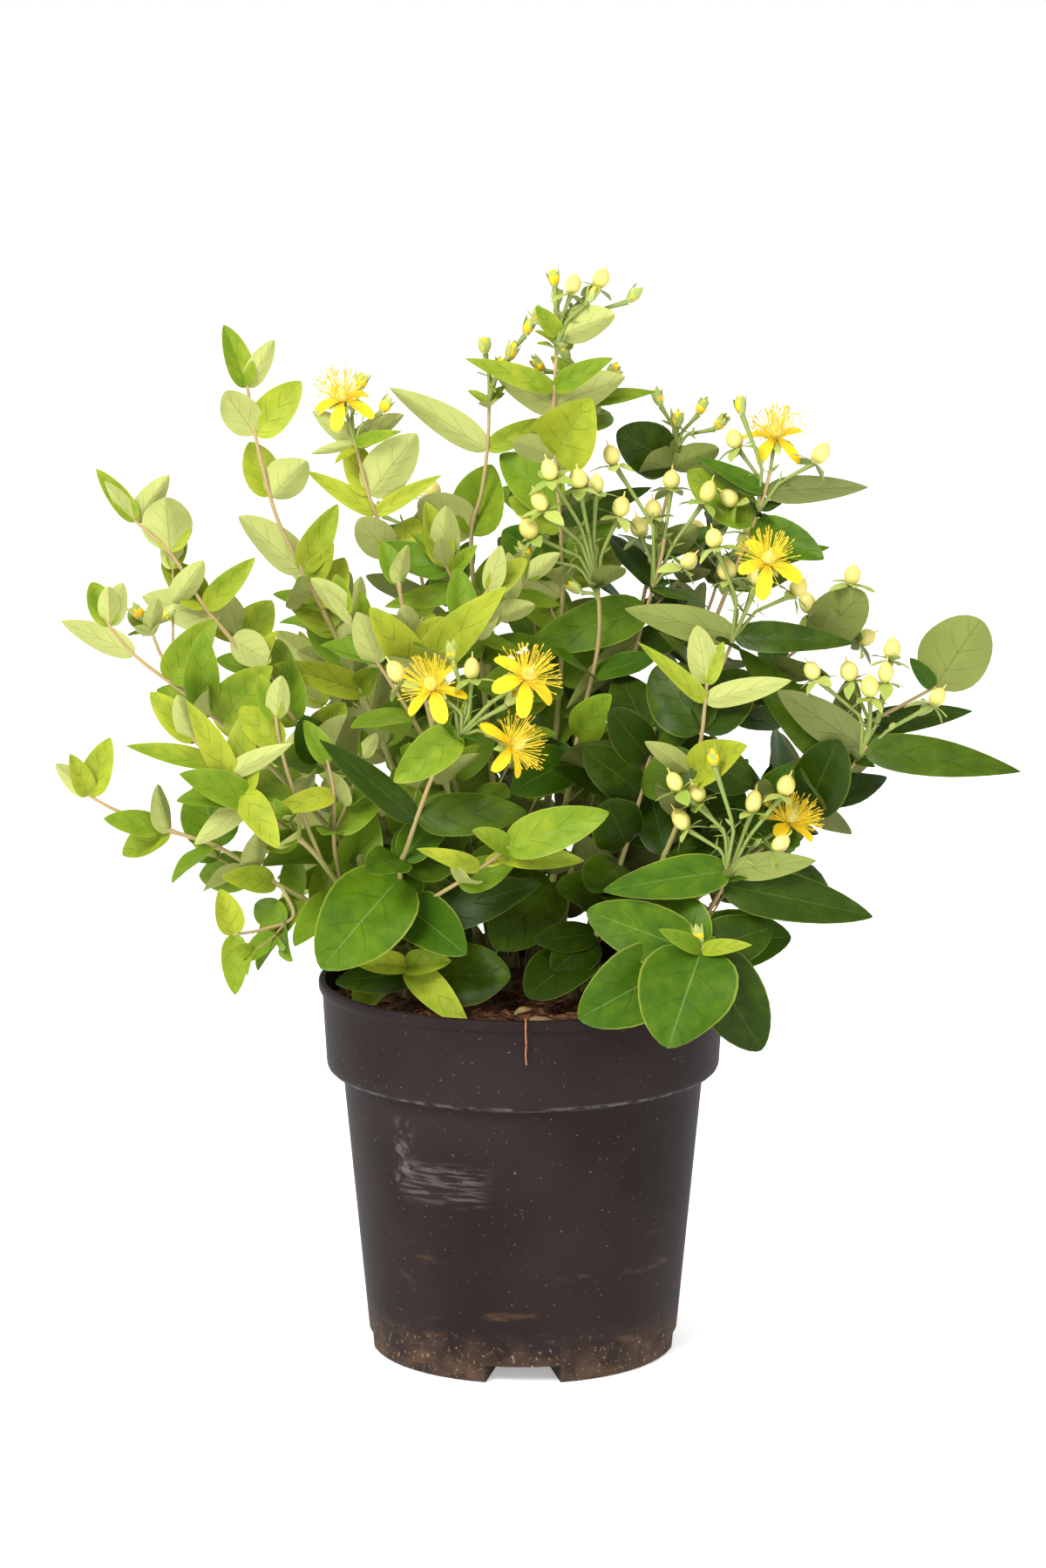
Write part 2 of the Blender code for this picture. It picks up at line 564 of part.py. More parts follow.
class Line:
    """A curve that can be asked for the point and the direction at a distance along it."""

    def __init__(self, points):
        self.points = points
        self.marks = [0.0]
        for a, b in zip(points, points[1:]):
            self.marks.append(self.marks[-1] + (b - a).length)
        self.length = self.marks[-1]

    def at(self, distance):
        distance = min(max(distance, 0.0), self.length)
        for i, mark in enumerate(self.marks[1:]):
            if distance <= mark:
                span = mark - self.marks[i]
                return self.points[i].lerp(self.points[i + 1], (distance - self.marks[i]) / span)
        return self.points[-1].copy()

    def along(self, distance):
        distance = min(max(distance, NEARBY), self.length - NEARBY)
        return (self.at(distance + NEARBY) - self.at(distance - NEARBY)).normalized()

    def cut(self, first, last, step):
        """Points from one distance to another, no further apart than the step."""
        count = max(1, math.ceil((last - first) / step))
        return [self.at(first + (last - first) * i / count) for i in range(count + 1)]


def loft(sections):
    """A closed skin over rings of points. A ring of one point is a pole."""
    points, starts = [], []
    for ring in sections:
        starts.append(len(points))
        points.extend(ring)
    faces = []
    for ring, after, start, next_start in zip(sections, sections[1:], starts, starts[1:]):
        n = max(len(ring), len(after))
        for i in range(n):
            j = (i + 1) % n
            if len(ring) == 1:
                faces.append((start, next_start + j, next_start + i))
            elif len(after) == 1:
                faces.append((start + i, start + j, next_start))
            else:
                faces.append((start + i, start + j, next_start + j))
                faces.append((start + i, next_start + j, next_start + i))
    if len(sections[0]) > 1:
        faces.append(tuple(range(len(sections[0])))[::-1])
    if len(sections[-1]) > 1:
        faces.append(tuple(starts[-1] + i for i in range(len(sections[-1]))))
    return points, faces


def ring(centre, axis, radius, sides, turn=0.0):
    """Points of a circle round an axis."""
    side = across(RIGHT if abs(axis.x) < SIDEWAYS_LIMIT else UP, axis)
    other = axis.cross(side)
    angles = [turn + math.tau * i / sides for i in range(sides)]
    return [centre + (side * math.cos(a) + other * math.sin(a)) * radius for a in angles]


def tube(points, radii, sides):
    """A tapering limb along points."""
    sections = []
    for i, (point, radius) in enumerate(zip(points, radii)):
        before, after = points[max(i - 1, 0)], points[min(i + 1, len(points) - 1)]
        sections.append(ring(point, (after - before).normalized(), radius, sides))
    return loft(sections)


def half_width(t):
    """A leaf's half width at a share of its length, 1 where it is widest."""
    peak = BASE_POWER / (BASE_POWER + TIP_POWER)
    top = peak ** BASE_POWER * (1 - peak) ** TIP_POWER
    return t ** BASE_POWER * (1 - t) ** TIP_POWER / top


@dataclass
class Leaf:
    """A leaf's place: where it is rooted, which way it points and faces, and its size."""

    root: Vector
    out: Vector
    face: Vector
    length: float
    width: float
    droop: float

    def middle(self, t):
        """A point of the midrib at a share of the length."""
        return self.root + (self.out * t - self.face * self.droop * t * t) * self.length


def leaf_solid(leaf, whole=True, grow=0.0):
    """A leaf of three-cornered sections, both edges and the keel between them, with its root
    in the stem, or only the part that stands clear of its stem."""
    side = leaf.out.cross(leaf.face)
    rings = [[leaf.root - leaf.out * ROOT_SINK if whole else leaf.middle(OWN_START)]]
    for t, keel in LEAF_STATIONS:
        half = half_width(t) * leaf.width * LEAF_SWELL * leaf.length / 2 + grow
        depth = max(LEAF_LEAST, leaf.length * LEAF_THICKNESS) * keel + grow
        middle = leaf.middle(t)
        top = leaf.face * (LEAF_LEAST / 2 + grow)
        rings.append([middle + side * half + top, middle - leaf.face * depth,
                      middle - side * half + top])
    return loft(rings + [[leaf.middle(1.0) + leaf.out * grow]])


def fruit_rings(foot, axis, radius, height, sides, turn, grow=0.0):
    """The sections of a berry or a bud: round below, drawn to a point above."""
    rings = []
    for t, wide in FRUIT_OUTLINE:
        rings.append(ring(foot + axis * height * t, axis, radius * wide + grow, sides, turn))
    return rings + [[foot + axis * (height + grow)]]


def flower_rings(foot, axis, turn, grow=0.0):
    """The sections of an open flower: five petals' tips under a bowl of stamens."""
    top = PETAL_RISE + PETAL_THICKNESS
    outline = ((PETAL_RISE, PETAL_LENGTH), (top, PETAL_LENGTH), (top + 1, BRUSH_FOOT),
               (BRUSH_HEIGHT, BRUSH_RADIUS))
    return [ring(foot + axis * height, axis, radius + grow, PETALS, turn)
            for height, radius in outline] + [[foot + axis * (BRUSH_HEIGHT - 2)]]


def ray_solid(kind, ray, axis, turn, grow=0.0):
    """A stalk with the berry, bud or flower at its end, as one solid."""
    sides = FRUIT_SIDES[kind]
    points = ray.cut(0.0, ray.length, ray.length / PEDICEL_PIECES)
    rings = []
    for i, point in enumerate(points[:-1]):
        along = (points[i + 1] - points[max(i - 1, 0)]).normalized()
        rings.append(ring(point, along, PEDICEL_RADIUS + grow, sides, turn))
    foot = points[-1]
    rings.append(ring(foot, axis, PEDICEL_RADIUS + grow, sides, turn))
    if kind == FLOWER:
        return loft(rings + flower_rings(foot, axis, turn, grow))
    radius, height = BERRY_SIZE if kind == BERRY else BUD_SIZE
    return loft(rings + fruit_rings(foot, axis, radius, height, sides, turn, grow))


class Space:
    """Everything that already stands, piece by piece, with the mass each piece belongs to."""

    def __init__(self):
        self.low = np.zeros((MOST_PIECES, 3))
        self.high = np.zeros((MOST_PIECES, 3))
        self.trees = []
        self.owners = []

    def add(self, owner, solid):
        points, faces = solid
        flat = np.array([tuple(p) for p in points])
        self.low[len(self.trees)] = flat.min(axis=0)
        self.high[len(self.trees)] = flat.max(axis=0)
        self.trees.append(BVHTree.FromPolygons(points, faces))
        self.owners.append(owner)

    def clear(self, solid, owner=None, own=False):
        """Whether a solid touches nothing: of other masses, or of its own where own is set."""
        points, faces = solid
        flat = np.array([tuple(p) for p in points])
        n = len(self.trees)
        near = np.all((self.low[:n] <= flat.max(axis=0)) & (self.high[:n] >= flat.min(axis=0)),
                      axis=1)
        tree = None
        for i in np.flatnonzero(near):
            if (self.owners[i] == owner) != own:
                continue
            tree = tree or BVHTree.FromPolygons(points, faces)
            if tree.overlap(self.trees[i]):
                return False
        return True


@dataclass
class Grown:
    """What one stem has grown: its lines with their radii, and all that stands on them."""

    name: str
    main: Line
    lead: float
    radius: object
    shoots: list
    rays: list
    leaves: list
    skipped: int = 0


def stem_radius(line):
    """A stem's radius at a distance along it: a flared root, then an even taper."""
    def radius(distance):
        taper = lerp((FOOT_RADIUS, TIP_RADIUS), distance / line.length)
        flare = (ROOT_FLARE - 1) * max(0.0, 1 - distance / FLARE_HEIGHT) ** 2
        return taper * (1 + flare)
    return radius


def side_radius(line):
    """A side shoot's radius at a distance along it."""
    def radius(distance):
        return lerp((SIDE_RADIUS, SIDE_TIP_RADIUS), distance / line.length)
    return radius


def limb_solid(line, radius, first, last, step, sides, swell=1.0, grow=0.0):
    """A limb between two distances along its line."""
    points = line.cut(first, last, step)
    span = (last - first) / (len(points) - 1)
    radii = [radius(first + span * i) * swell + grow for i in range(len(points))]
    return tube(points, radii, sides)


def lay_out(stem):
    """A stem's main line and those of its side shoots, before anything grows on them."""
    foot = Vector((stem.foot[0], stem.foot[1], soil_height(*stem.foot) + GAP))
    path = [seen(*place) for place in stem.shoot.path]
    reach = path[0] - foot
    rise = foot + UP * min(RISE, reach.length * RISE_SHARE) + reach * RISE_LEAN
    main = Line(smooth([foot, rise] + path))
    lead = main.length * stem.shoot.start
    grown = Grown(stem.name, main, lead, stem_radius(main), [], [], [])
    grown.shoots.append((stem.shoot, main, lead, grown.radius))
    for share, side in stem.shoot.sides:
        start = main.at(main.length * share)
        line = Line(smooth([start] + [seen(*place) for place in side.path]))
        grown.shoots.append((side, line, line.length * side.start, side_radius(line)))
    return grown


def limb_guards(grown):
    """The stem and its side shoots as simple six-sided limbs, for the clearance test."""
    return [limb_solid(line, radius, 0.0, line.length, TWIG_STEP, GUARD_SIDES, TWIG_SWELL)
            for _, line, _, radius in grown.shoots]


def ray_line(tip, along, end):
    """A stalk that leaves the tip along the stem and bends round to its end."""
    bend = tip + along * (end - tip).length * RAY_BEND
    points = [tip.lerp(bend, t).lerp(bend.lerp(end, t), t) for t in
              [i / PEDICEL_PIECES for i in range(PEDICEL_PIECES + 1)]]
    return Line(points)


def head_targets(shoot, line, rng):
    """Where the stalks of a head end: as seen in the photograph, or by an even spread."""
    tip, along = line.at(line.length * shoot.end), line.along(line.length)
    depth = tip.y
    targets = []
    for kind, right, up in shoot.head:
        near = -depth + rng.uniform(-HEAD_SPREAD, HEAD_SPREAD)
        half = {BERRY: BERRY_SIZE[1] / 2, BUD: BUD_SIZE[1] / 2, FLOWER: PETAL_RISE}[kind]
        targets.append((kind, seen(right, up, near) - UP * half))
    kinds = [kind for kind, count in zip((BERRY, BUD, FLOWER), shoot.cluster)
             for _ in range(count)]
    for i, kind in enumerate(kinds):
        angle = math.tau * (i * SPIRAL_TURN + rng.uniform(0, SPIRAL_SLACK))
        tilt = math.radians(RAY_ANGLE) * math.sqrt((i + 0.5) / len(kinds))
        around = ring(Vector(), along, 1.0, 1, angle)[0]
        middle = (along * CLUSTER_AXIS[0] + UP * CLUSTER_AXIS[1]).normalized()
        out = middle * math.cos(tilt) + around * math.sin(tilt)
        targets.append((kind, tip + out * RAY_LENGTH * rng.uniform(*RAY_SPREAD)))
    return targets


def grow_heads(grown, space, rng):
    """Stalks with their berries, buds and flowers, each moved in depth until it is clear."""
    for shoot, line, *_ in grown.shoots:
        targets = head_targets(shoot, line, rng)
        for i, (kind, target) in enumerate(targets):
            turn = rng.uniform(0, math.tau)
            place = line.length * shoot.end - RAY_STEP * (i // 2)
            tip, along = line.at(place), line.along(place)
            for shift in RAY_TRIES:
                end = target + (target - EYE).normalized() * shift
                ray = ray_line(tip, along, end)
                axis = (ray.along(ray.length) + UP * FRUIT_UPTURN).normalized()
                if kind == FLOWER:
                    toward = (EYE - end).normalized()
                    axis = (axis * FLOWER_AXIS[0] + toward * FLOWER_AXIS[1]).normalized()
                clear = Line(ray.cut(min(RAY_START, ray.length / 2), ray.length, ray.length))
                if (space.clear(ray_solid(kind, ray, axis, turn, CLEARANCE), grown.name)
                        and space.clear(ray_solid(kind, clear, axis, turn, -OWN_OVERLAP),
                                        grown.name, own=True)):
                    grown.rays.append((kind, ray, axis, turn))
                    space.add(grown.name, ray_solid(kind, ray, axis, turn))
                    break
            else:
                grown.skipped += 1


def place_leaf(line, distance, turn, angle, length, width, roll):
    """A leaf on a line, turned round it and leaning out from it. It rolls so that whichever
    side the viewer sees shows more of its breadth, and an open leaf also faces up."""
    along = line.along(distance)
    side = across(RIGHT if abs(along.x) < SIDEWAYS_LIMIT else UP, along)
    other = along.cross(side)
    root = line.at(distance)
    turn, lean = math.radians(turn), math.radians(angle)
    around = side * math.cos(turn) + other * math.sin(turn)
    out = along * math.cos(lean) + around * math.sin(lean)
    face = across(along, out)
    side = out.cross(face)
    toward = (EYE - root).normalized()
    sign = 1 if face.dot(toward) > SHOW_UNDER else -1
    face = face + side * (side.dot(toward) * SHOW * sign)
    if angle > CLOSED_LIMIT:
        face = face + UP * LIGHT_ABOVE
    face = across(face, out)
    tilt = math.radians(roll)
    face = face * math.cos(tilt) + out.cross(face) * math.sin(tilt)
    return Leaf(root, out, face, length, width, DROOP)


def leaf_fits(leaf, grown, space):
    """Whether a leaf is clear of other masses, and its blade of its own."""
    return (space.clear(leaf_solid(leaf, True, CLEARANCE), grown.name)
            and space.clear(leaf_solid(leaf, False, OWN_CLEARANCE), grown.name, own=True))


def try_leaf(grown, space, line, distance, turn, lean, size, width, roll):
    """A leaf that is clear of everything, turned, lifted or made smaller if need be."""
    for d_turn, d_lean, scale in LEAF_TRIES:
        leaf = place_leaf(line, distance, turn + d_turn, max(LEAST_LEAN, lean + d_lean),
                          size * scale, width, roll)
        if leaf_fits(leaf, grown, space):
            space.add(grown.name, leaf_solid(leaf))
            return leaf
    grown.skipped += 1
    return None


def nearest(line, right, up):
    """The distance along a line at which it is seen nearest to a place."""
    count = round(line.length)
    marks = [line.length * i / count for i in range(count + 1)]
    return min(marks, key=lambda mark: math.dist(as_seen(line.at(mark)), (right, up)))


def aim_leaf(root, tip, width, shown):
    """A leaf from root to tip that turns its face, or its back, to the viewer."""
    reach = tip - root
    out = reach.normalized()
    toward = (EYE - root).normalized()
    face = across(toward * shown + UP * LIGHT_ABOVE, out)
    return Leaf(root, out + face * DROOP, face, reach.length, width, DROOP)


def grow_placed(grown, space):
    """The leaves whose places are given, each moved in depth until it is clear."""
    for shoot, line, start, _ in grown.shoots:
        for (right, up), tip, width, shown, tint in shoot.placed:
            mark = max(nearest(line, right, up), start + ROOT_MARGIN)
            root = line.at(min(mark, line.length - END_MARGIN))
            for shift in PLACED_TRIES:
                end = seen(*tip)
                leaf = aim_leaf(root, end + (end - EYE).normalized() * shift, width, shown)
                if leaf_fits(leaf, grown, space):
                    space.add(grown.name, leaf_solid(leaf))
                    grown.leaves.append((leaf, tint or shoot.tint, 1.0))
                    break
            else:
                grown.skipped += 1


def pair_marks(shoot, line, start):
    """How far along its line each leaf pair of a shoot stands, with its share of the way."""
    first, last = start + FIRST_PAIR, line.length * min(shoot.end, shoot.last) - LAST_PAIR
    shares = [i / max(1, shoot.pairs - 1) for i in range(shoot.pairs)]
    return [(lerp((first, last), share ** PAIR_EASE), share) for share in shares]


def grow_leaves(grown, space, rng):
    """Crossed pairs of leaves, each a quarter turn round from the last."""
    for shoot, line, start, _ in grown.shoots:
        for i, (distance, share) in enumerate(pair_marks(shoot, line, start)):
            angle = lerp(shoot.open, share)
            length, width = lerp(shoot.leaf, share), lerp(shoot.width, share)
            if shoot.closed and shoot.last == 1 and i == shoot.pairs - 1:
                angle, length = CLOSED_ANGLE, length * CLOSED_SIZE
            turn = shoot.turn + 90 * i + rng.uniform(-PAIR_TURN, PAIR_TURN)
            for half in (0, 180):
                size = length * rng.uniform(*SIZE_SPREAD)
                lean = angle + rng.uniform(-LEAN_SPREAD, LEAN_SPREAD)
                roll = rng.uniform(-ROLL, ROLL)
                leaf = try_leaf(grown, space, line, distance, turn + half, lean, size, width,
                                roll)
                if leaf:
                    grown.leaves.append((leaf, shoot.tint, share))


def soil_height(x, y):
    """The soil's height: level in the middle, lower towards the rim."""
    out = max(0.0, math.hypot(x, y) - SOIL_FLAT_RADIUS)
    edge = inner_radius(SOIL_TOP) - GAP - SOIL_FLAT_RADIUS
    return SOIL_TOP - SOIL_EDGE_DROP * out / edge


def grow_all(space):
    """The whole plant: first every limb, then the heads, then the leaves, given ones first."""
    for solid in pot_guards():
        space.add("pot", solid)
    plants = [lay_out(stem) for stem in STEMS]
    for grown in plants:
        for guard in limb_guards(grown):
            space.add(grown.name, guard)
    for grown in plants:
        grow_heads(grown, space, random.Random(grown.name + " head"))
    for grown in plants:
        grow_placed(grown, space)
    for grown in plants:
        grow_leaves(grown, space, random.Random(grown.name))
    return plants


def wall_radius(height):
    """The outer radius of the pot's wall under its band."""
    foot = POT_HEIGHT - BAND_HEIGHT
    return lerp((BASE_RADIUS, BODY_RADIUS), height / foot)


def band_radius(height):
    """The outer radius of the band round the pot's mouth."""
    foot = POT_HEIGHT - BAND_HEIGHT
    return lerp((BAND_FOOT_RADIUS, RIM_RADIUS - LIP_OVERHANG), (height - foot) / BAND_HEIGHT)


def inner_radius(height):
    """The pot's inner radius."""
    if height > POT_HEIGHT - BAND_HEIGHT:
        return band_radius(height) - WALL
    return wall_radius(height) - WALL


def pot_guards():
    """The rim, the band and the soil as simple skins, for the clearance test."""
    def turned(outline):
        sections = [ring(Vector((0, 0, z)), UP, r, GUARD_STEPS) for r, z in outline]
        return loft(sections)
    edge = inner_radius(SOIL_TOP) - GAP
    outer, inner = RIM_RADIUS + GUARD_OUT, RIM_RADIUS - GUARD_IN
    return [turned(((BODY_RADIUS, GUARD_WAIST), (BAND_FOOT_RADIUS + GUARD_OUT, GUARD_BAND),
                    (outer, POT_HEIGHT - GUARD_IN), (outer, POT_HEIGHT + GUARD_LIFT),
                    (inner, POT_HEIGHT + GUARD_LIFT), (inner, SOIL_TOP - SOIL_ROOM))),
            turned(((edge, SOIL_TOP - SOIL_ROOM), (edge, SOIL_TOP - SOIL_EDGE_DROP),
                    (SOIL_FLAT_RADIUS, SOIL_TOP), (GUARD_MIDDLE, SOIL_TOP)))]


def material(name, color, roughness):
    """A plain Principled material."""
    made = bpy.data.materials.new(name)
    made.use_nodes = True
    shader = made.node_tree.nodes["Principled BSDF"]
    shader.inputs["Base Color"].default_value = (*color, 1.0)
    shader.inputs["Roughness"].default_value = roughness
    shader.inputs["Metallic"].default_value = 0.0
    return made


def add_object(name, mesh, collection, look=None):
    """An object for a mesh, in a collection."""
    made = bpy.data.objects.new(name, mesh)
    collection.objects.link(made)
    if look is not None:
        mesh.materials.clear()
        mesh.materials.append(look)
    return made


def solid_mesh(name, solid):
    """A mesh in metres from a solid's points and faces in millimetres."""
    points, faces = solid
    mesh = bpy.data.meshes.new(name)
    mesh.from_pydata([point * MM for point in points], [], faces)
    mesh.update()
    return mesh


def screw_solid(name, outline, steps, look, collection):
    """A solid turned about Z from an outline of (radius, height) at +X."""
    mesh = bpy.data.meshes.new(name)
    corners = [(radius * MM, 0, height * MM) for radius, height in outline]
    mesh.from_pydata(corners, [(i, i + 1) for i in range(len(corners) - 1)], [])
    made = add_object(name, mesh, collection, look)
    screw = made.modifiers.new("Turn", "SCREW")
    screw.axis = "Z"
    screw.steps = steps
    screw.render_steps = steps
    screw.use_merge_vertices = True
    screw.merge_threshold = MERGE
    screw.use_normal_calculate = False
    return made


def shade_round(mesh, degrees=40):
    """Smooth shading with sharp edges kept."""
    mesh.shade_smooth()
    mesh.set_sharp_from_angle(angle=math.radians(degrees))


def bake(made):
    """Turns an object's modifiers into its mesh."""
    graph = bpy.context.evaluated_depsgraph_get()
    mesh = bpy.data.meshes.new_from_object(made.evaluated_get(graph))
    old = made.data
    made.modifiers.clear()
    made.data = mesh
    bpy.data.meshes.remove(old)
    mesh.name = made.name
    return made


def notch_cutter(index, collection):
    """A wedge that cuts one drain notch through the foot of the wall."""
    outer = BASE_RADIUS + 4
    inner = BASE_RADIUS - NOTCH_DEPTH
    half, back = NOTCH_WIDTH / 2, NOTCH_BACK_WIDTH / 2
    plan = [(half, -outer), (back, -inner), (-back, -inner), (-half, -outer)]
    low = [Vector((x, y, -NOTCH_BELOW)) for x, y in plan]
    high = [Vector((x * NOTCH_TAPER, y, NOTCH_HEIGHT)) for x, y in plan]
    made = add_object(f"notch_cutter_{index}", solid_mesh("notch", loft([low, high])), collection)
    made.rotation_euler.z = math.tau * index / NOTCHES
    made.hide_render = True
    made.display_type = "WIRE"
    return made


def build_pot(parts, cutters):
    """The thin-walled pot with its band, rolled lip and drain notches."""
    band_foot = POT_HEIGHT - BAND_HEIGHT
    lip = POT_HEIGHT - LIP_DEPTH
    outline = [
        (0.0, FLOOR),
        (inner_radius(FLOOR), FLOOR),
        (inner_radius(band_foot - WALL), band_foot - WALL),
        (inner_radius(band_foot + BAND_DROP), band_foot + BAND_DROP),
        (inner_radius(POT_HEIGHT), POT_HEIGHT - RIM_ROUND),
        (inner_radius(POT_HEIGHT) + RIM_ROUND, POT_HEIGHT),
        (RIM_RADIUS - RIM_ROUND, POT_HEIGHT),
        (RIM_RADIUS, POT_HEIGHT - RIM_ROUND * 1.5),
        (RIM_RADIUS - LIP_EDGE, lip),
        (band_radius(lip), lip - LIP_OVERHANG),
        (band_radius(band_foot + BAND_CORNER), band_foot + BAND_CORNER),
        (BAND_FOOT_RADIUS - BAND_CORNER * 0.4, band_foot + BAND_CORNER * 0.25),
        (BAND_FOOT_RADIUS - BAND_CORNER * 1.1, band_foot - BAND_DROP * 0.4),
        (wall_radius(band_foot), band_foot - BAND_DROP),
        (wall_radius(BASE_CORNER), BASE_CORNER),
        (wall_radius(0) - BASE_CORNER, 0.0),
        (0.0, 0.0),
    ]
    pot = screw_solid("pot", outline, POT_STEPS, material("pot plastic", (0.045, 0.04, 0.042), 0.5),
                      parts)
    for index in range(NOTCHES):
        cut = pot.modifiers.new(f"Notch {index}", "BOOLEAN")
        cut.operation = "DIFFERENCE"
        cut.solver = "EXACT"
        cut.object = notch_cutter(index, cutters)
    return pot


def build_soil(parts):
    """The soil that fills the pot's mouth."""
    edge_top = SOIL_TOP - SOIL_EDGE_DROP
    band_foot = POT_HEIGHT - BAND_HEIGHT
    outline = [
        (0.0, SOIL_TOP),
        (SOIL_FLAT_RADIUS, SOIL_TOP),
        (inner_radius(edge_top) - GAP, edge_top),
        (inner_radius(band_foot + BAND_DROP) - GAP, band_foot + BAND_DROP + GAP * 1.5),
        (inner_radius(band_foot - WALL) - GAP, band_foot - WALL + GAP * 1.5),
        (inner_radius(FLOOR + GAP) - GAP, FLOOR + GAP),
        (0.0, FLOOR + GAP),
    ]
    return screw_solid("soil", outline, SOIL_STEPS, material("soil", (0.10, 0.045, 0.02), 0.95),
                       parts)


def limb_mesh(name, line, radius, first, last, step, sides, swell=1.0, foot=0.0):
    """A tapering limb: a poly curve with a many-sided section, made a mesh. A foot is the
    height of a first short piece, which keeps the lowest section level."""
    section = bpy.data.curves.new(name + " section", "CURVE")
    loop = section.splines.new("POLY")
    loop.points.add(sides - 1)
    loop.use_cyclic_u = True
    for i, point in enumerate(loop.points):
        angle = -math.tau * i / sides
        point.co = (math.cos(angle) * MM, math.sin(angle) * MM, 0, 1)
    section_object = bpy.data.objects.new(name + " section", section)
    curve = bpy.data.curves.new(name, "CURVE")
    curve.dimensions = "3D"
    curve.bevel_mode = "OBJECT"
    curve.bevel_object = section_object
    curve.use_fill_caps = True
    count = max(1, math.ceil((last - first - foot) / step))
    marks = [first + foot + (last - first - foot) * i / count for i in range(count + 1)]
    if foot:
        marks.insert(0, first)
    spline = curve.splines.new("POLY")
    spline.points.add(len(marks) - 1)
    for knot, mark in zip(spline.points, marks):
        knot.co = (*(line.at(mark) * MM), 1)
        knot.radius = radius(mark) * swell
    holder = bpy.data.objects.new(name, curve)
    bpy.context.scene.collection.objects.link(holder)
    bpy.context.scene.collection.objects.link(section_object)
    graph = bpy.context.evaluated_depsgraph_get()
    mesh = bpy.data.meshes.new_from_object(holder.evaluated_get(graph))
    shape = bmesh.new()
    shape.from_mesh(mesh)
    bmesh.ops.remove_doubles(shape, verts=shape.verts, dist=MERGE / 10)
    bmesh.ops.recalc_face_normals(shape, faces=shape.faces)
    bmesh.ops.triangulate(shape, faces=shape.faces)
    shape.to_mesh(mesh)
    shape.free()
    for made in (holder, section_object):
        data = made.data
        bpy.data.objects.remove(made)
        bpy.data.curves.remove(data)
    mesh.name = name
    return mesh


def connected_groups(shape):
    """The vertices of each separate skin, the smallest skin first."""
    found, groups = set(), []
    for vert in shape.verts:
        if vert in found:
            continue
        group, queue = [], [vert]
        found.add(vert)
        while queue:
            here = queue.pop()
            group.append(here)
            fresh = [edge.other_vert(here) for edge in here.link_edges]
            fresh = [other for other in fresh if other not in found]
            found.update(fresh)
            queue.extend(fresh)
        groups.append(group)
    return sorted(groups, key=len)


def cut_ears(corners, normal, used):
    """Triangles for a flat face, cut off corner by corner. No cut runs along an edge that is
    already used, so that no edge ends up with more than two faces."""
    found = []
    while len(corners) > 3:
        best, choice = -1.0, None
        for i, corner in enumerate(corners):
            before, after = corners[i - 1], corners[(i + 1) % len(corners)]
            a, b, c = before.co, corner.co, after.co
            area = (b - a).cross(c - b).dot(normal)
            if area <= 0 or frozenset((before.index, after.index)) in used:
                continue
            quality = area / max((b - a).length, (c - b).length, (a - c).length) ** 2
            if quality > best and not any(
                    inside(other.co, a, b, c, normal) for other in corners
                    if other not in (before, corner, after)):
                best, choice = quality, i
        if choice is None:
            return None
        before, after = corners[choice - 1], corners[(choice + 1) % len(corners)]
        found.append((before.index, corners[choice].index, after.index))
        used.add(frozenset((before.index, after.index)))
        corners = corners[:choice] + corners[choice + 1:]
    return found + [tuple(corner.index for corner in corners)]


def inside(point, a, b, c, normal):
    """Whether a point lies in or on a triangle, seen along its normal."""
    return all((q - p).cross(point - p).dot(normal) >= -TINY_AREA
               for p, q in ((a, b), (b, c), (c, a)))


def tidy_skin(mesh, flatten):
    """Keeps the largest skin, so that scraps and sealed hollows go, and makes it triangles.
    Tells whether every edge then has exactly two faces."""
    shape = bmesh.new()
    shape.from_mesh(mesh)
    if flatten:
        bmesh.ops.dissolve_limit(shape, angle_limit=FLAT_ANGLE, verts=shape.verts,
                                 edges=shape.edges, use_dissolve_boundaries=False)
    for group in connected_groups(shape)[:-1]:
        bmesh.ops.delete(shape, geom=group, context="VERTS")
    shape.verts.index_update()
    used = {frozenset(vert.index for vert in edge.verts) for edge in shape.edges}
    closed = all(len(edge.link_faces) == 2 for edge in shape.edges)
    triangles = []
    for face in sorted(shape.faces, key=lambda face: -len(face.verts)):
        cut = cut_ears(list(face.verts), face.normal, used)
        closed = closed and cut is not None
        triangles += cut or []
    points = [vert.co.copy() for vert in shape.verts]
    shape.free()
    if closed:
        mesh.clear_geometry()
        mesh.from_pydata(points, [], triangles)
        mesh.update()
    return closed


def mass_pieces(grown, stout, without):
    """The solids that one mass is fused from, its stem apart and one leaf left out where
    without is that leaf's number."""
    found = []
    for shoot, line, start, radius in grown.shoots[1:]:
        found.append(limb_mesh("side", line, radius, 0.0, line.length, TWIG_STEP, TWIG_SIDES,
                               TWIG_SWELL * stout))
    for kind, ray, axis, turn in grown.rays:
        found.append(solid_mesh(kind, ray_solid(kind, ray, axis, turn)))
    for i, (leaf, tint, share) in enumerate(grown.leaves):
        if i != without:
            found.append(solid_mesh("leaf", leaf_solid(leaf)))
    return found


def build_bough(grown, parts, look):
    """The bare foot of a stem: from a flat, flared cut on the soil up to its leafy mass."""
    name = grown.name + "_stem"
    mesh = limb_mesh(name, grown.main, grown.radius, 0.0, grown.lead - JOIN_GAP / 2, BOUGH_STEP,
                     BOUGH_SIDES, 1.0, FLARE_HEIGHT)
    foot = grown.main.at(0.0).z
    for vert in mesh.vertices:
        if vert.co.z < (foot + FOOT_BAND) * MM:
            vert.co.z = foot * MM
    shade_round(mesh)
    return add_object(name, mesh, parts, look)


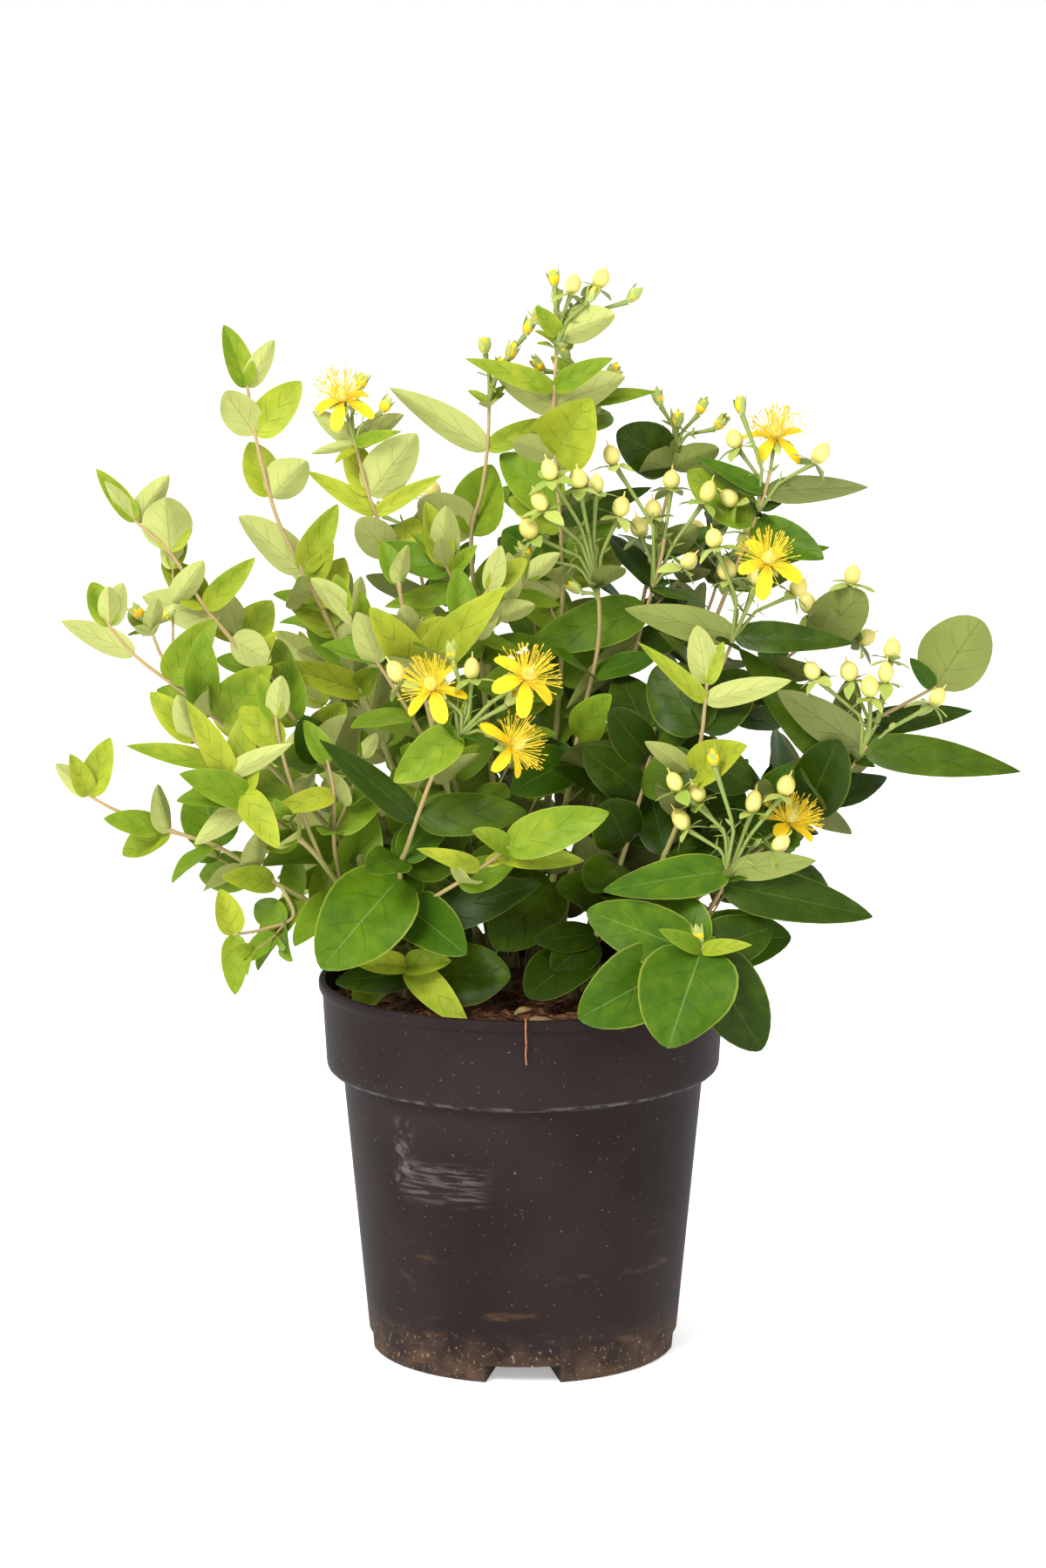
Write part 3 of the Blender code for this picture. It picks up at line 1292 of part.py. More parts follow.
def fuse(name, stem_mesh, pieces, parts, solver):
    """One solid from a stem and the pieces that stand on it."""
    mass = add_object(name, stem_mesh, parts)
    loose = bpy.data.collections.new(name + " pieces")
    bpy.context.scene.collection.children.link(loose)
    for piece in pieces:
        add_object(name + " piece", piece, loose)
    join = mass.modifiers.new("Fuse", "BOOLEAN")
    join.operation = "UNION"
    join.solver = solver
    join.operand_type = "COLLECTION"
    join.collection = loose
    bake(mass)
    for piece in list(loose.objects):
        data = piece.data
        bpy.data.objects.remove(piece)
        bpy.data.meshes.remove(data)
    bpy.data.collections.remove(loose)
    return mass


def build_mass(grown, parts, look):
    """The leafy part of a stem. Where one way of joining leaves it open the next is tried, then
    all of them with slightly stouter twigs, and at last with one leaf fewer."""
    name = grown.name + "_mass"
    for attempt in range(JOIN_ATTEMPTS):
        stout = 1 + JOIN_NUDGE * attempt
        for solver, flatten in JOIN_WAYS:
            stem_mesh = limb_mesh(name, grown.main, grown.radius, grown.lead + JOIN_GAP / 2,
                                  grown.main.length, TWIG_STEP, TWIG_SIDES,
                                  TWIG_SWELL * stout)
            without = attempt - FEWER_LEAVES_FROM
            mass = fuse(name, stem_mesh, mass_pieces(grown, stout, without), parts, solver)
            if tidy_skin(mass.data, flatten):
                mass.data.materials.clear()
                mass.data.materials.append(look)
                return mass
            bpy.data.objects.remove(mass)
    raise RuntimeError(f"{name} stays open")


def main():
    """Clears the file and builds the pot, the soil and the plant."""
    for old in list(bpy.data.objects):
        bpy.data.objects.remove(old)
    parts = bpy.data.collections.new("potted hypericum")
    cutters = bpy.data.collections.new("cutters")
    for collection in (parts, cutters):
        bpy.context.scene.collection.children.link(collection)
    build_pot(parts, cutters)
    build_soil(parts)
    bark = material("stem", (0.42, 0.30, 0.16), 0.6)
    foliage = {
        "fresh": material("fresh foliage", (0.36, 0.50, 0.06), 0.5),
        "mid": material("green foliage", (0.14, 0.33, 0.04), 0.5),
        "deep": material("deep foliage", (0.04, 0.16, 0.03), 0.45),
    }
    for grown in grow_all(Space()):
        build_bough(grown, parts, bark)
        build_mass(grown, parts, foliage[grown.shoots[0][0].tint])


main()
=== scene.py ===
"""A hypericum shrub in its nursery pot, dressed for a plain white studio.

The plant is grown by the same rule as the part's solids, from a table that holds more of its
leaves. Small side sprigs then fill in the leaf axils, and old leaves the feet of the stems.
Lengths are in millimetres until a mesh is made.
"""

import math
import random
from dataclasses import dataclass

import bmesh
import bpy
import numpy as np
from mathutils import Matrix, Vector
from mathutils.bvhtree import BVHTree


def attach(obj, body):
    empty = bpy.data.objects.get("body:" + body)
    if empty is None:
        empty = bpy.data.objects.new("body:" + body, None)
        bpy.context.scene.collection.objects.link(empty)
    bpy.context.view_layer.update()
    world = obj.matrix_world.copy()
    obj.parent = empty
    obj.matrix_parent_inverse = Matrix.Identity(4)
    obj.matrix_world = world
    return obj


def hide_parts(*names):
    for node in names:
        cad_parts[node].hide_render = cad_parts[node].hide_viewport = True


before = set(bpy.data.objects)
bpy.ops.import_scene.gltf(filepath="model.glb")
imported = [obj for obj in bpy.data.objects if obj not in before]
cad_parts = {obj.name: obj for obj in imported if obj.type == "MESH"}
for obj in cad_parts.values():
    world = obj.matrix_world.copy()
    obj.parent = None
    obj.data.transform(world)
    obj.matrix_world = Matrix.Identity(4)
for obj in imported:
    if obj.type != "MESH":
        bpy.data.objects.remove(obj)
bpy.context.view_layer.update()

MM = 0.001
UP = Vector((0, 0, 1))
RIGHT = Vector((1, 0, 0))

# Pot, in millimetres
POT_HEIGHT = 185.0
RIM_RADIUS = 100.0
LIP_DEPTH = 5.0
LIP_OVERHANG = 1.4
BAND_HEIGHT = 45.0
BAND_START = POT_HEIGHT - BAND_HEIGHT
BAND_FOOT_RADIUS = 96.0
BODY_RADIUS = 88.5
BASE_RADIUS = 75.3
WALL = 1.8
FLOOR = 11.0
NOTCHES = 4
NOTCH_HEIGHT = 9.0
NOTCH_WIDTH = 38.0
NOTCH_BACK_WIDTH = 22.0
NOTCH_DEPTH = 38.0

# Soil, in millimetres
SOIL_TOP = 177.0
SOIL_EDGE_DROP = 4.0
SOIL_FLAT_RADIUS = 62.0
GAP = 0.4
SOIL_ROOM = 20.0

# The pot and the soil as the growing leaves keep clear of them, in millimetres
GUARD_STEPS = 24
GUARD_WAIST = 100.0
GUARD_BAND = 138.0
GUARD_OUT = 1.0
GUARD_IN = 4.0
GUARD_LIFT = 0.3
GUARD_MIDDLE = 5.0
SIDEWAYS_LIMIT = 0.9

# Stems, in millimetres
FOOT_RADIUS = 2.3
TIP_RADIUS = 1.0
SIDE_RADIUS = 1.25
SIDE_TIP_RADIUS = 0.85
ROOT_FLARE = 1.5
FLARE_HEIGHT = 10.0
RISE = 8.0
RISE_SHARE = 0.33
RISE_LEAN = 0.08
STEP = 4.0
NEARBY = 1.0
TWIG_STEP = 18.0
TWIG_SWELL = 1.55
GUARD_SIDES = 6

# Leaves, in millimetres, degrees and shares of the leaf's length
LEAF_STATIONS = ((0.30, 1.5), (0.68, 0.8))
LEAF_THICKNESS = 0.02
LEAF_LEAST = 0.75
LEAF_SWELL = 1.1
ROOT_SINK = 0.5
BASE_POWER = 0.50
TIP_POWER = 0.85
LIGHT_ABOVE = 0.25
SHOW = 0.9
SHOW_UNDER = -0.2
ROLL = 22.0
DROOP = 0.12
CLOSED_ANGLE = 20.0
CLOSED_LIMIT = 24.0
CLEARANCE = 0.5
OWN_START = 0.2
MOST_PIECES = 12000
FACE, BACK = 1, -1
FIRST_PAIR = 5.0
LAST_PAIR = 2.0
PAIR_EASE = 0.92
PAIR_TURN = 14.0
LEAN_SPREAD = 7.0
SIZE_SPREAD = (0.88, 1.10)
CLOSED_SIZE = 0.85
LEAST_LEAN = 8.0
OWN_CLEARANCE = 0.1
ROOT_MARGIN = 3.0
END_MARGIN = 1.0
PLACED_TRIES = (0, 6, -6, 12, -12, 18, -18, 26, -26)
LEAF_TRIES = (
    (0, 0, 1.0), (0, -12, 1.0), (0, 12, 1.0), (15, 0, 1.0), (-15, 0, 1.0), (0, -24, 0.95),
    (0, 24, 0.95), (28, -8, 0.9), (-28, -8, 0.9), (0, 0, 0.8), (22, 14, 0.8), (-22, 14, 0.8),
    (40, 0, 0.75), (-40, 0, 0.75), (0, -25, 0.68), (0, 20, 0.6),
)
LEAF_WAY = (LEAF_TRIES, CLEARANCE, OWN_CLEARANCE)

# Fruit and flowers, in millimetres
PEDICEL_RADIUS = 0.7
PEDICEL_PIECES = 2
BERRY_SIZE = (5.2, 12.5)
BUD_SIZE = (3.4, 10.0)
FRUIT_OUTLINE = ((0.30, 1.0), (0.68, 0.86))
PETALS = 5
PETAL_LENGTH = 16.5
PETAL_RISE = 1.5
PETAL_THICKNESS = 0.8
BRUSH_RADIUS = 9.5
BRUSH_HEIGHT = 11.0
BRUSH_FOOT = 3.5
HEAD_SPREAD = 7.0
RAY_STEP = 2.2
RAY_START = 10.0
OWN_OVERLAP = 0.3
RAY_TRIES = (0, 5, -5, 10, -10, 16, -16, 23, -23)
RAY_LENGTH = 24.0
RAY_ANGLE = 51.0
RAY_SPREAD = (0.8, 1.2)
RAY_BEND = 0.5
SPIRAL_TURN = 0.382
SPIRAL_SLACK = 0.1
CLUSTER_AXIS = (0.6, 0.4)
FRUIT_UPTURN = 0.8
FLOWER_AXIS = (0.7, 0.55)

# Where the plant is seen from when its shoots are placed, in millimetres
EYE = Vector((0.0, -2300.0, 700.0))

# Sprigs in the leaf axils: how likely, the share of the shoot where they end, their lengths
# and those of their leaves. Shoots with no given leaves carry longer ones.
SPRIGS = (1.05, 0.72, (20.0, 42.0), (15.0, 25.0))
FREE_SPRIGS = (1.9, 1.1, (30.0, 54.0), (22.0, 34.0))

# The other measures of sprigs, of growth on the stems' feet and of bracts
SMALL_WAY = (LEAF_TRIES[:9], 0.12, 0.0)
SPRIG_WIDTH = (0.42, 0.56)
SPRIG_TURN = 25.0
SPRIG_SHORTER = 0.4
SPRIG_YOUTH = 0.3
SPRIG_ANGLE = (26.0, 50.0)
SPRIG_RISE = 0.14
SPRIG_RADIUS = 0.6
SPRIG_BARE = 0.35
SPRIG_PAIR_STEP = 14.0
SPRIG_OPEN = (42, 60)
SPRIG_INSET = 0.5
SPRIG_END_ANGLE = 18
SPRIG_END_SIZE = 0.75
SPRIG_SIZES = (0.85, 1.12)
SPRIG_WIDTHS = (0.9, 1.1)
INNER_START = 0.22
INNER_STEP = 17.0
INNER_FIRST = 4
INNER_TURN = 30
INNER_CHANCE = 0.8
INNER_OPEN = (52, 78)
INNER_SIZE = (0.65, 1.0)
INNER_WIDTH = (0.52, 0.66)
INNER_SHOOT_CHANCE = 0.55
INNER_SHOOT = (34.0, 62.0)
INNER_LEAF = (24.0, 36.0)
INNER_LEAF_WIDTH = (0.52, 0.62)
BRACTS_UNDER_HEAD = 6
BRACT_STEP = 1.5
BRACT_LEAF = (9.0, 15.0)
BRACT_OPEN = (40, 75)
BRACT_TURN = 20
BRACT_WIDTH = (0.34, 0.46)

# Blades of leaves, by tint, and how their tips and feet are drawn
FOLDS = {"fresh": (0.30, 0.75), "mid": (0.16, 0.46), "deep": (0.10, 0.32)}
YOUTH = {"fresh": 0.46, "mid": 0.30, "deep": 0.25}
BLUNTEST = {"fresh": 0.72, "mid": 0.60, "deep": 0.60}
WAVES = {"fresh": 0.10, "mid": 0.14, "deep": 0.16}
BLUNTNESS = (1.12, 0.95)
SHARPEST = 0.95
BROAD_BASE = 0.42
RECURVE = (0.05, 0.22)
LEAF_TWIST = 0.35
TONE_SPREAD = (-0.30, 0.35)
LEAF_GRID = (14, 7)
LEAF_CREASE = 62
BLADE_WAVES = 1.3
BLADE_FOLD_POWER = 1.15
TWIST_START = 0.15

# Bark and twigs, in millimetres
STEM_GRID = (90, 12)
STEM_SLIMNESS = 0.8
NODE_SWELL = 0.45
NODE_LENGTH = 1.6
BARK_HEIGHT = 70.0
BARK_RELIEF = 0.045
SIDE_STEPS = 24
SPRIG_STEPS = 10
SIDE_ENDS = (SIDE_RADIUS * 0.95, 0.75)
SPRIG_ENDS = (0.75, 0.45)
STALK_RADII = (1.15, 1.02, 0.94, 0.90, 0.90, 0.92, 0.96, 1.05, 1.25, 1.55)
LIMB_CREASE = 80
FRUIT_CREASE = 70
SPRIG_TONE = 0.8
STALK_TONE = 1.25

# Rings of blades: how many, lift in radians, length, width, droop, fold, spread and offset
SEPALS = (5, -0.04, 11.5, 0.60, 0.25, 0.20, 0.42, 0.8)
BUD_SEPALS = (5, 1.12, 9.2, 0.50, -0.30, 0.45, 0.10, 1.3)
FLOWER_SEPALS = (5, -0.05, 8.5, 0.5, 0.2, 0.2, 0.15, 0.8)
STALK_BRACTS = (2, 0.55, 6.5, 0.42, 0.1, 0.3, 0.3, 0.4)
OPEN_PETALS = (5, 0.0, 16.0, 0.48, 0.34, 0.30, 0.22, 0.8)

# Heads: grids and outlines of their blades, and the sizes of berries, buds and stamens
SEPAL_SHAPE = (7, 3, 0.6, 0.9, 0.3)
PETAL_SHAPE = (10, 5, 0.85, 0.42, 0.3)
BRACT_STALK = 17
BRACT_PLACE = 0.48
BERRY_RADIUS = (3.7, 4.7)
BERRY_HEIGHT = (9.4, 11.4)
BERRY_GRID = (13, 16)
BUD_RADIUS = (2.3, 3.0)
BUD_HEIGHT = (7.6, 9.8)
STAMENS = 130
STAMEN_LENGTH = (11.5, 17.0)
STAMEN_TILT = (8, 84)
STAMEN_MARKS = (0, 0.3, 0.62, 0.90, 0.93, 0.97, 1.0)
STAMEN_RADII = (0.16, 0.14, 0.12, 0.11, 0.27, 0.30, 0.13)
OVARY_SIZE = (3.5, 8.0)

# Pot skin and soil surface, in millimetres
NOTCH_INNER = BASE_RADIUS - NOTCH_DEPTH
NOTCH_OUTER = BASE_RADIUS + 4
NOTCH_STEPS = 13
WALL_STEPS = 11
OUTSIDE_ROWS = 30
LAST_FLAT_ROW = 6
POT_CREASE = 35
POT_MERGE = 0.000005
CRUMB_DROP = 1.2
CRUMB_LUMPS = ((1.1, 22, 3), (0.55, 7, 4), (0.25, 3, 5))
SOIL_GRID = (64, 220)
SOIL_BOTTOM = 145.0
CHIPS = 900
CHIP_REACH = 95.5
FIBRES = 130
FIBRE_REACH = 94
STRAND = ((0.6, -88.0, 177.5), (1.0, -93.0, 181.5), (1.1, -97.6, 185.6), (1.2, -99.6, 186.0),
          (1.3, -101.0, 184.6), (1.2, -100.9, 180.0), (1.5, -100.2, 174.0), (1.2, -99.8, 169.0),
          (1.6, -99.6, 164.0))

# Studio, in metres, watts and radians
FLOOR_REACH = 30
FLOOR_GLOW = 0.35
LIGHT_AIM = Vector((0, 0, 0.25))
LIGHTS = (("key", (-1.1, -1.7, 1.9), 1.1, 80), ("fill", (1.4, -1.6, 0.9), 1.2, 8))
CAMERA_TILT = 0.1806
CAMERA_LENS = 110.46
CAMERA_SENSOR = 36.0
LEAF_SHINE = 0.09

BERRY, BUD, FLOWER = "berry", "bud", "flower"
FRUIT_SIDES = {BERRY: 4, BUD: 3, FLOWER: PETALS}


@dataclass
class Shoot:
    """One leafy shoot. path holds points as seen on the upright plane through the pot's axis
    (right, up) and how far each lies in front of that plane, in millimetres. leaf, width and
    open give the leaves' length, width share and angle to the stem, at the foot and the tip.
    placed holds the leaves whose places are given; the rule's own pairs end at the share last
    of the line, and the stalks of the heads leave it at the share end."""

    path: tuple
    pairs: int
    leaf: tuple = (44, 32)
    width: tuple = (0.56, 0.50)
    open: tuple = (62, 40)
    turn: float = 45
    start: float = 0.3
    end: float = 1.0
    last: float = 1.0
    placed: tuple = ()
    closed: bool = False
    head: tuple = ()
    cluster: tuple = ()
    tint: str = "fresh"
    sides: tuple = ()


@dataclass
class Stem:
    """A stem that stands on the soil at foot (right, away). Its shoot's start is where the
    bare foot ends and the leafy mass begins, as a share of the whole length."""

    name: str
    foot: tuple
    shoot: Shoot


def heads(kind, *places):
    """Berries, buds or open flowers of a head, by where they are seen."""
    return tuple((kind, right, up) for right, up in places)


def shown(right, up, tip_right, tip_up, tip_depth, width, side=FACE, tint=""):
    """A given leaf, as a row of the table has it: where its root and its tip are seen, its
    tip's depth, its width share, and its side and tint if they aren't the usual ones."""
    return (right, up), (tip_right, tip_up, tip_depth), width, side, tint


# The plant, stem by stem. Places are (right, up) or (right, up, in front) in millimetres.

STEMS = (
    Stem("left_spire", (-26, 20), Shoot(
        path=((-48, 250, -16), (-80, 330, -14), (-107, 386, 0), (-119, 412, 4), (-128, 448, 8),
        (-132, 474, 8)), pairs=3, leaf=(40, 30), width=(0.5, 0.46), open=(52, 28), turn=40,
        start=0.38, last=0.64, closed=True, placed=((-134, 474, -143, 503, 4, 0.42),
        (-134, 474, -119, 496, 14, 0.42, BACK), (-129, 450, -143, 471, 16, 0.62, BACK),
        (-129, 450, -106, 476, 2, 0.56), (-122, 420, -131, 447, -8, 0.6),
        (-122, 420, -104, 438, 16, 0.72, BACK), (-108, 384, -137, 411, 10, 0.46, BACK),
        (-108, 384, -89, 417, 6, 0.4), (-86, 322, -121, 339, 2, 0.32),
        (-102, 378, -91, 398, 10, 0.4), (-97, 368, -86, 391, 0, 0.7),
        (-100, 376, -114, 370, 22, 0.6, BACK), (-93, 352, -117, 375, 6, 0.36),
        (-95, 354, -104, 376, -10, 0.66), (-92, 348, -76, 357, 22, 0.32, BACK),
        (-86, 323, -70, 337, 6, 0.5)))),
    Stem("left_arch", (-38, 14), Shoot(
        path=((-72, 250, 2), (-118, 322, 12), (-140, 350, 18), (-155, 369, 20), (-169, 392, 22),
        (-187, 409, 22)), pairs=4, leaf=(42, 30), width=(0.54, 0.5), open=(62, 40), turn=47,
        start=0.32, last=0.66, closed=True, placed=((-186, 409, -205, 434, 18, 0.34),
        (-186, 409, -201, 428, 26, 0.3, BACK), (-186, 409, -170, 431, 20, 0.46, BACK),
        (-169, 394, -172, 420, 34, 0.8, BACK), (-169, 394, -167, 415, 8, 0.7),
        (-153, 366, -174, 389, 12, 0.52), (-153, 366, -129, 391, 24, 0.36),
        (-148, 358, -184, 372, 24, 0.5, BACK), (-141, 351, -122, 340, 26, 0.75, BACK),
        (-100, 290, -106, 314, 14, 0.75, FACE, "mid")))),
    Stem("left_mid", (-50, 16), Shoot(
        path=((-78, 238, 20), (-122, 288, 38), (-158, 320, 46), (-184, 340, 48), (-196, 352, 48),
        (-202, 362, 48)), pairs=4, leaf=(42, 31), width=(0.52, 0.52), open=(64, 44), turn=38,
        start=0.34, last=0.74, closed=True, placed=((-201, 357, -208, 379, 46, 0.55),
        (-201, 357, -193, 379, 48, 0.55, BACK), (-201, 357, -200, 377, 56, 0.5, BACK),
        (-188, 343, -223, 360, 52, 0.34, BACK), (-170, 331, -149, 361, 50, 0.52),
        (-156, 319, -154, 356, 64, 0.4), (-147, 309, -121, 338, 62, 0.55)), sides=((0.76,
        Shoot(path=((-173, 340, 40), (-177, 348, 38), (-180, 357, 36)), pairs=2, leaf=(28, 22),
        open=(60, 45), turn=43, start=0.35, head=heads(BUD, (-184, 366), (-175, 365)))),))),
    Stem("left_low", (-55, 0), Shoot(
        path=((-82, 204, 32), (-104, 221, 44), (-121, 231, 50), (-147, 248, 54), (-178, 259, 58),
        (-200, 268, 60), (-212, 275, 60)), pairs=4, leaf=(38, 30), width=(0.56, 0.56),
        open=(70, 50), turn=57, start=0.42, last=0.8, closed=True,
        placed=((-212, 275, -200, 303, 62, 0.5), (-212, 275, -227, 290, 60, 0.5, BACK),
        (-212, 275, -220, 295, 66, 0.42), (-177, 259, -204, 263, 70, 0.45),
        (-148, 249, -158, 280, 50, 0.82, FACE, "mid"), (-121, 231, -147, 234, 70, 0.42)),
        sides=((0.5, Shoot(path=((-112, 214, 58), (-126, 208, 62), (-142, 205, 64)), pairs=1,
        leaf=(28, 24), width=(0.5, 0.45), open=(70, 60), turn=64, start=0.35, last=0.5,
        placed=((-141, 205, -141, 175, 72, 0.46), (-141, 205, -148, 228, 62, 0.6)))),))),
    Stem("left_inner", (-30, 4), Shoot(
        path=((-58, 250, -2), (-96, 300, -2), (-124, 336, 0), (-137, 352, 2)), pairs=4,
        leaf=(40, 32), width=(0.5, 0.46), open=(58, 34), turn=62, start=0.36, closed=True,
        placed=((-135, 348, -121, 370, -6, 0.75), (-98, 302, -86, 320, 12, 0.72)))),
    Stem("left_front", (-56, -16), Shoot(
        path=((-74, 206, 36), (-101, 245, 60), (-132, 272, 74), (-150, 290, 78), (-160, 303, 78)),
        pairs=4, leaf=(42, 34), width=(0.5, 0.46), open=(64, 40), turn=42, start=0.36, closed=True,
        placed=((-150, 290, -193, 299, 84, 0.25), (-141, 281, -163, 321, 88, 0.3),
        (-158, 300, -176, 322, 62, 0.42, FACE, "mid"), (-135, 268, -167, 285, 94, 0.4),
        (-134, 270, -160, 250, 84, 0.36, BACK), (-138, 275, -119, 248, 96, 0.42),
        (-143, 285, -112, 300, 92, 0.26, BACK)), sides=((0.52, Shoot(path=((-112, 278, 66),
        (-118, 300, 74), (-120, 314, 76)), pairs=2, leaf=(36, 30), width=(0.52, 0.48),
        open=(60, 36), turn=50, start=0.35, closed=True,
        placed=((-119, 298, -137, 318, 66, 0.6),))), (0.42, Shoot(path=((-92, 250, 52),
        (-92, 276, 62), (-95, 292, 66)), pairs=2, leaf=(38, 30), width=(0.5, 0.48), open=(60, 40),
        turn=43, start=0.35, closed=True, placed=((-93, 274, -123, 266, 76, 0.34),)))))),
    Stem("flower_left", (-14, 12), Shoot(
        path=((-28, 260, -6), (-50, 340, -8), (-66, 398, 0), (-74, 421, 4), (-81, 447, 6)), pairs=3,
        leaf=(42, 32), width=(0.52, 0.4), open=(60, 62), turn=31, start=0.42, last=0.66,
        placed=((-81, 447, -101, 462, 6, 0.42, BACK), (-81, 447, -57, 460, 0, 0.42, BACK),
        (-81, 447, -102, 441, 16, 0.24, BACK), (-81, 447, -58, 452, 18, 0.26),
        (-71, 422, -51, 451, 14, 0.6, BACK), (-71, 422, -84, 449, -8, 0.5),
        (-71, 412, -104, 433, 6, 0.26), (-71, 412, -39, 431, 2, 0.24),
        (-62, 391, -79, 410, 8, 0.62, BACK), (-62, 389, -50, 411, -12, 0.58)), head=heads(FLOWER,
        (-86, 468)) + heads(BUD, (-78, 477), (-68, 466)))),
    Stem("second_top", (-8, 0), Shoot(
        path=((-12, 250, -12), (-20, 340, -24), (-25, 398, -20), (-20, 422, -16), (-17, 445, -14),
        (-16, 470, -14)), pairs=3, leaf=(50, 40), width=(0.44, 0.34), open=(66, 58), turn=40,
        start=0.42, end=0.99, last=0.66, placed=((-18, 443, -64, 473, -10, 0.28, BACK),
        (-18, 443, 14, 458, -20, 0.34), (-24, 401, -15, 436, -30, 0.72),
        (-24, 401, -50, 419, -4, 0.7, BACK), (-20, 343, -54, 361, 16, 0.3, FACE, "mid"),
        (-20, 343, 6, 352, 4, 0.34, FACE, "mid")), head=heads(BUD, (-18, 494), (-7, 491), (1, 503),
        (-12, 484)), sides=((0.55, Shoot(path=((-21, 358, 0), (-29, 372, 12), (-38, 388, 18)),
        pairs=2, leaf=(32, 30), width=(0.46, 0.42), open=(48, 20), turn=36, start=0.35, closed=True,
        placed=((-38, 388, -47, 418, 16, 0.44), (-38, 388, -37, 416, 24, 0.46, BACK),
        (-35, 383, -22, 397, 20, 0.42), (-36, 384, -70, 397, 6, 0.42, FACE, "mid"),
        (-31, 374, -67, 367, 10, 0.3)))),))),
    Stem("apex", (2, 14), Shoot(
        path=((10, 250, -14), (18, 330, -16), (19, 382, -12), (17, 420, -8), (15, 446, -6),
        (15, 473, -4), (17, 500, -4)), pairs=3, leaf=(50, 44), width=(0.56, 0.5), open=(58, 62),
        turn=38, start=0.45, end=0.985, last=0.62, placed=((17, 498, 6, 512, -4, 0.5),
        (17, 498, 44, 508, 4, 0.62, BACK), (15, 472, -28, 487, 6, 0.24),
        (15, 472, 43, 487, 2, 0.36), (15, 464, -13, 479, -18, 0.55, BACK),
        (15, 464, 49, 478, -20, 0.5, BACK), (16, 440, 33, 468, 14, 0.8),
        (16, 440, -5, 447, 12, 0.5, BACK), (17, 415, -11, 441, -18, 0.6),
        (19, 372, -8, 388, 18, 0.9, BACK), (18, 404, -7, 420, -6, 0.5),
        (18, 385, -10, 404, -8, 0.72, FACE, "mid"), (18, 408, 62, 425, -20, 0.26, FACE, "deep"),
        (19, 392, 44, 408, -16, 0.34, FACE, "mid")), head=heads(BERRY, (23, 524),
        (35, 527)) + heads(BUD, (15, 526), (31, 519), (50, 519), (9, 508), (16, 517)), sides=((0.8,
        Shoot(path=((27, 440, -18), (30, 458, -26), (31, 472, -30)), pairs=2, leaf=(30, 22),
        width=(0.5, 0.4), open=(56, 60), turn=42, start=0.5,
        placed=((30, 466, 64, 471, -26, 0.24),), head=heads(BUD, (22, 491), (40, 483),
        (10, 486)))),))),
    Stem("centre_flowers", (-43, 4), Shoot(
        path=((-52, 204, 32), (-60, 234, 56), (-56, 250, 64), (-43, 286, 76), (-30, 305, 82)),
        pairs=3, leaf=(62, 40), width=(0.58, 0.46), open=(70, 62), turn=48, start=0.2, tint="mid",
        last=0.6, placed=((-30, 305, -63, 281, 94, 0.52, FACE, "fresh"),
        (-52, 262, -99, 302, 70, 0.26, FACE, "deep"), (-60, 234, -99, 188, 92, 0.66),
        (-54, 211, 9, 231, 44, 0.36, FACE, "deep"), (-47, 263, 2, 266, 70, 0.42, FACE, "deep"),
        (-59, 238, -32, 256, 30, 0.8, FACE, "deep"), (-55, 218, -42, 203, 66, 0.4, FACE, "fresh")),
        head=heads(FLOWER, (-43, 328), (1, 333), (-6, 300)) + heads(BERRY, (-58, 337),
        (-25, 338)) + heads(BUD, (-34, 346), (-8, 324)), sides=((0.4, Shoot(path=((-40, 226, 60),
        (-21, 238, 74), (-7, 249, 82)), pairs=1, leaf=(30, 24), open=(40, 30), turn=38, start=0.45,
        last=0.9, tint="fresh", placed=((-5, 249, 42, 266, 90, 0.42), (-5, 249, -25, 257, 92, 0.5),
        (-21, 238, -52, 248, 86, 0.27), (-18, 240, -1, 249, 90, 0.34),
        (-12, 244, 30, 242, 70, 0.3)))),))),
    Stem("rim_left", (-46, -24), Shoot(
        path=((-48, 181, 29), (-51, 185, 38), (-55, 188, 47), (-58, 190, 55)), pairs=0, start=0.45,
        placed=((-56, 189, -26, 158, 78, 0.34), (-58, 190, -83, 191, 70, 0.4),
        (-58, 190, -76, 199, 60, 0.36), (-58, 190, -35, 192, 66, 0.5),
        (-53, 186, -92, 181, 52, 0.45, FACE, "deep"),
        (-51, 184, -6, 184, 52, 0.72, FACE, "deep")))),
    Stem("centre_light", (-20, -10), Shoot(
        path=((-28, 236, 20), (-42, 300, 30), (-52, 340, 34), (-58, 366, 34), (-60, 380, 34)),
        pairs=4, leaf=(40, 30), width=(0.52, 0.48), open=(60, 36), turn=45, start=0.22, closed=True,
        placed=((-50, 335, -8, 377, 56, 0.3), (-50, 335, -74, 367, 50, 0.42),
        (-55, 347, -38, 362, 50, 0.55), (-56, 350, -57, 368, 50, 0.45, BACK)), sides=((0.55,
        Shoot(path=((-64, 330, 40), (-78, 350, 40), (-86, 364, 38)), pairs=3, leaf=(34, 28),
        open=(58, 38), turn=54, start=0.3, closed=True,
        placed=((-84, 358, -97, 377, 44, 0.22, BACK),))), (0.66, Shoot(path=((-34, 350, 42),
        (-24, 366, 44), (-16, 376, 44)), pairs=3, leaf=(34, 28), open=(58, 38), turn=40, start=0.35,
        closed=True))))),
    Stem("centre_berries", (8, 2), Shoot(
        path=((14, 230, 2), (26, 300, 4), (36, 346, 8), (36, 376, 12), (31, 394, 12)), pairs=4,
        leaf=(52, 32), width=(0.56, 0.42), open=(64, 60), turn=33, start=0.24, end=0.93, tint="mid",
        placed=((26, 302, 43, 324, 30, 0.5, FACE, "fresh"), (24, 292, -6, 276, 40, 0.5),
        (12, 224, -14, 198, 36, 0.66, FACE, "deep")), head=heads(BERRY, (14, 435), (27, 431),
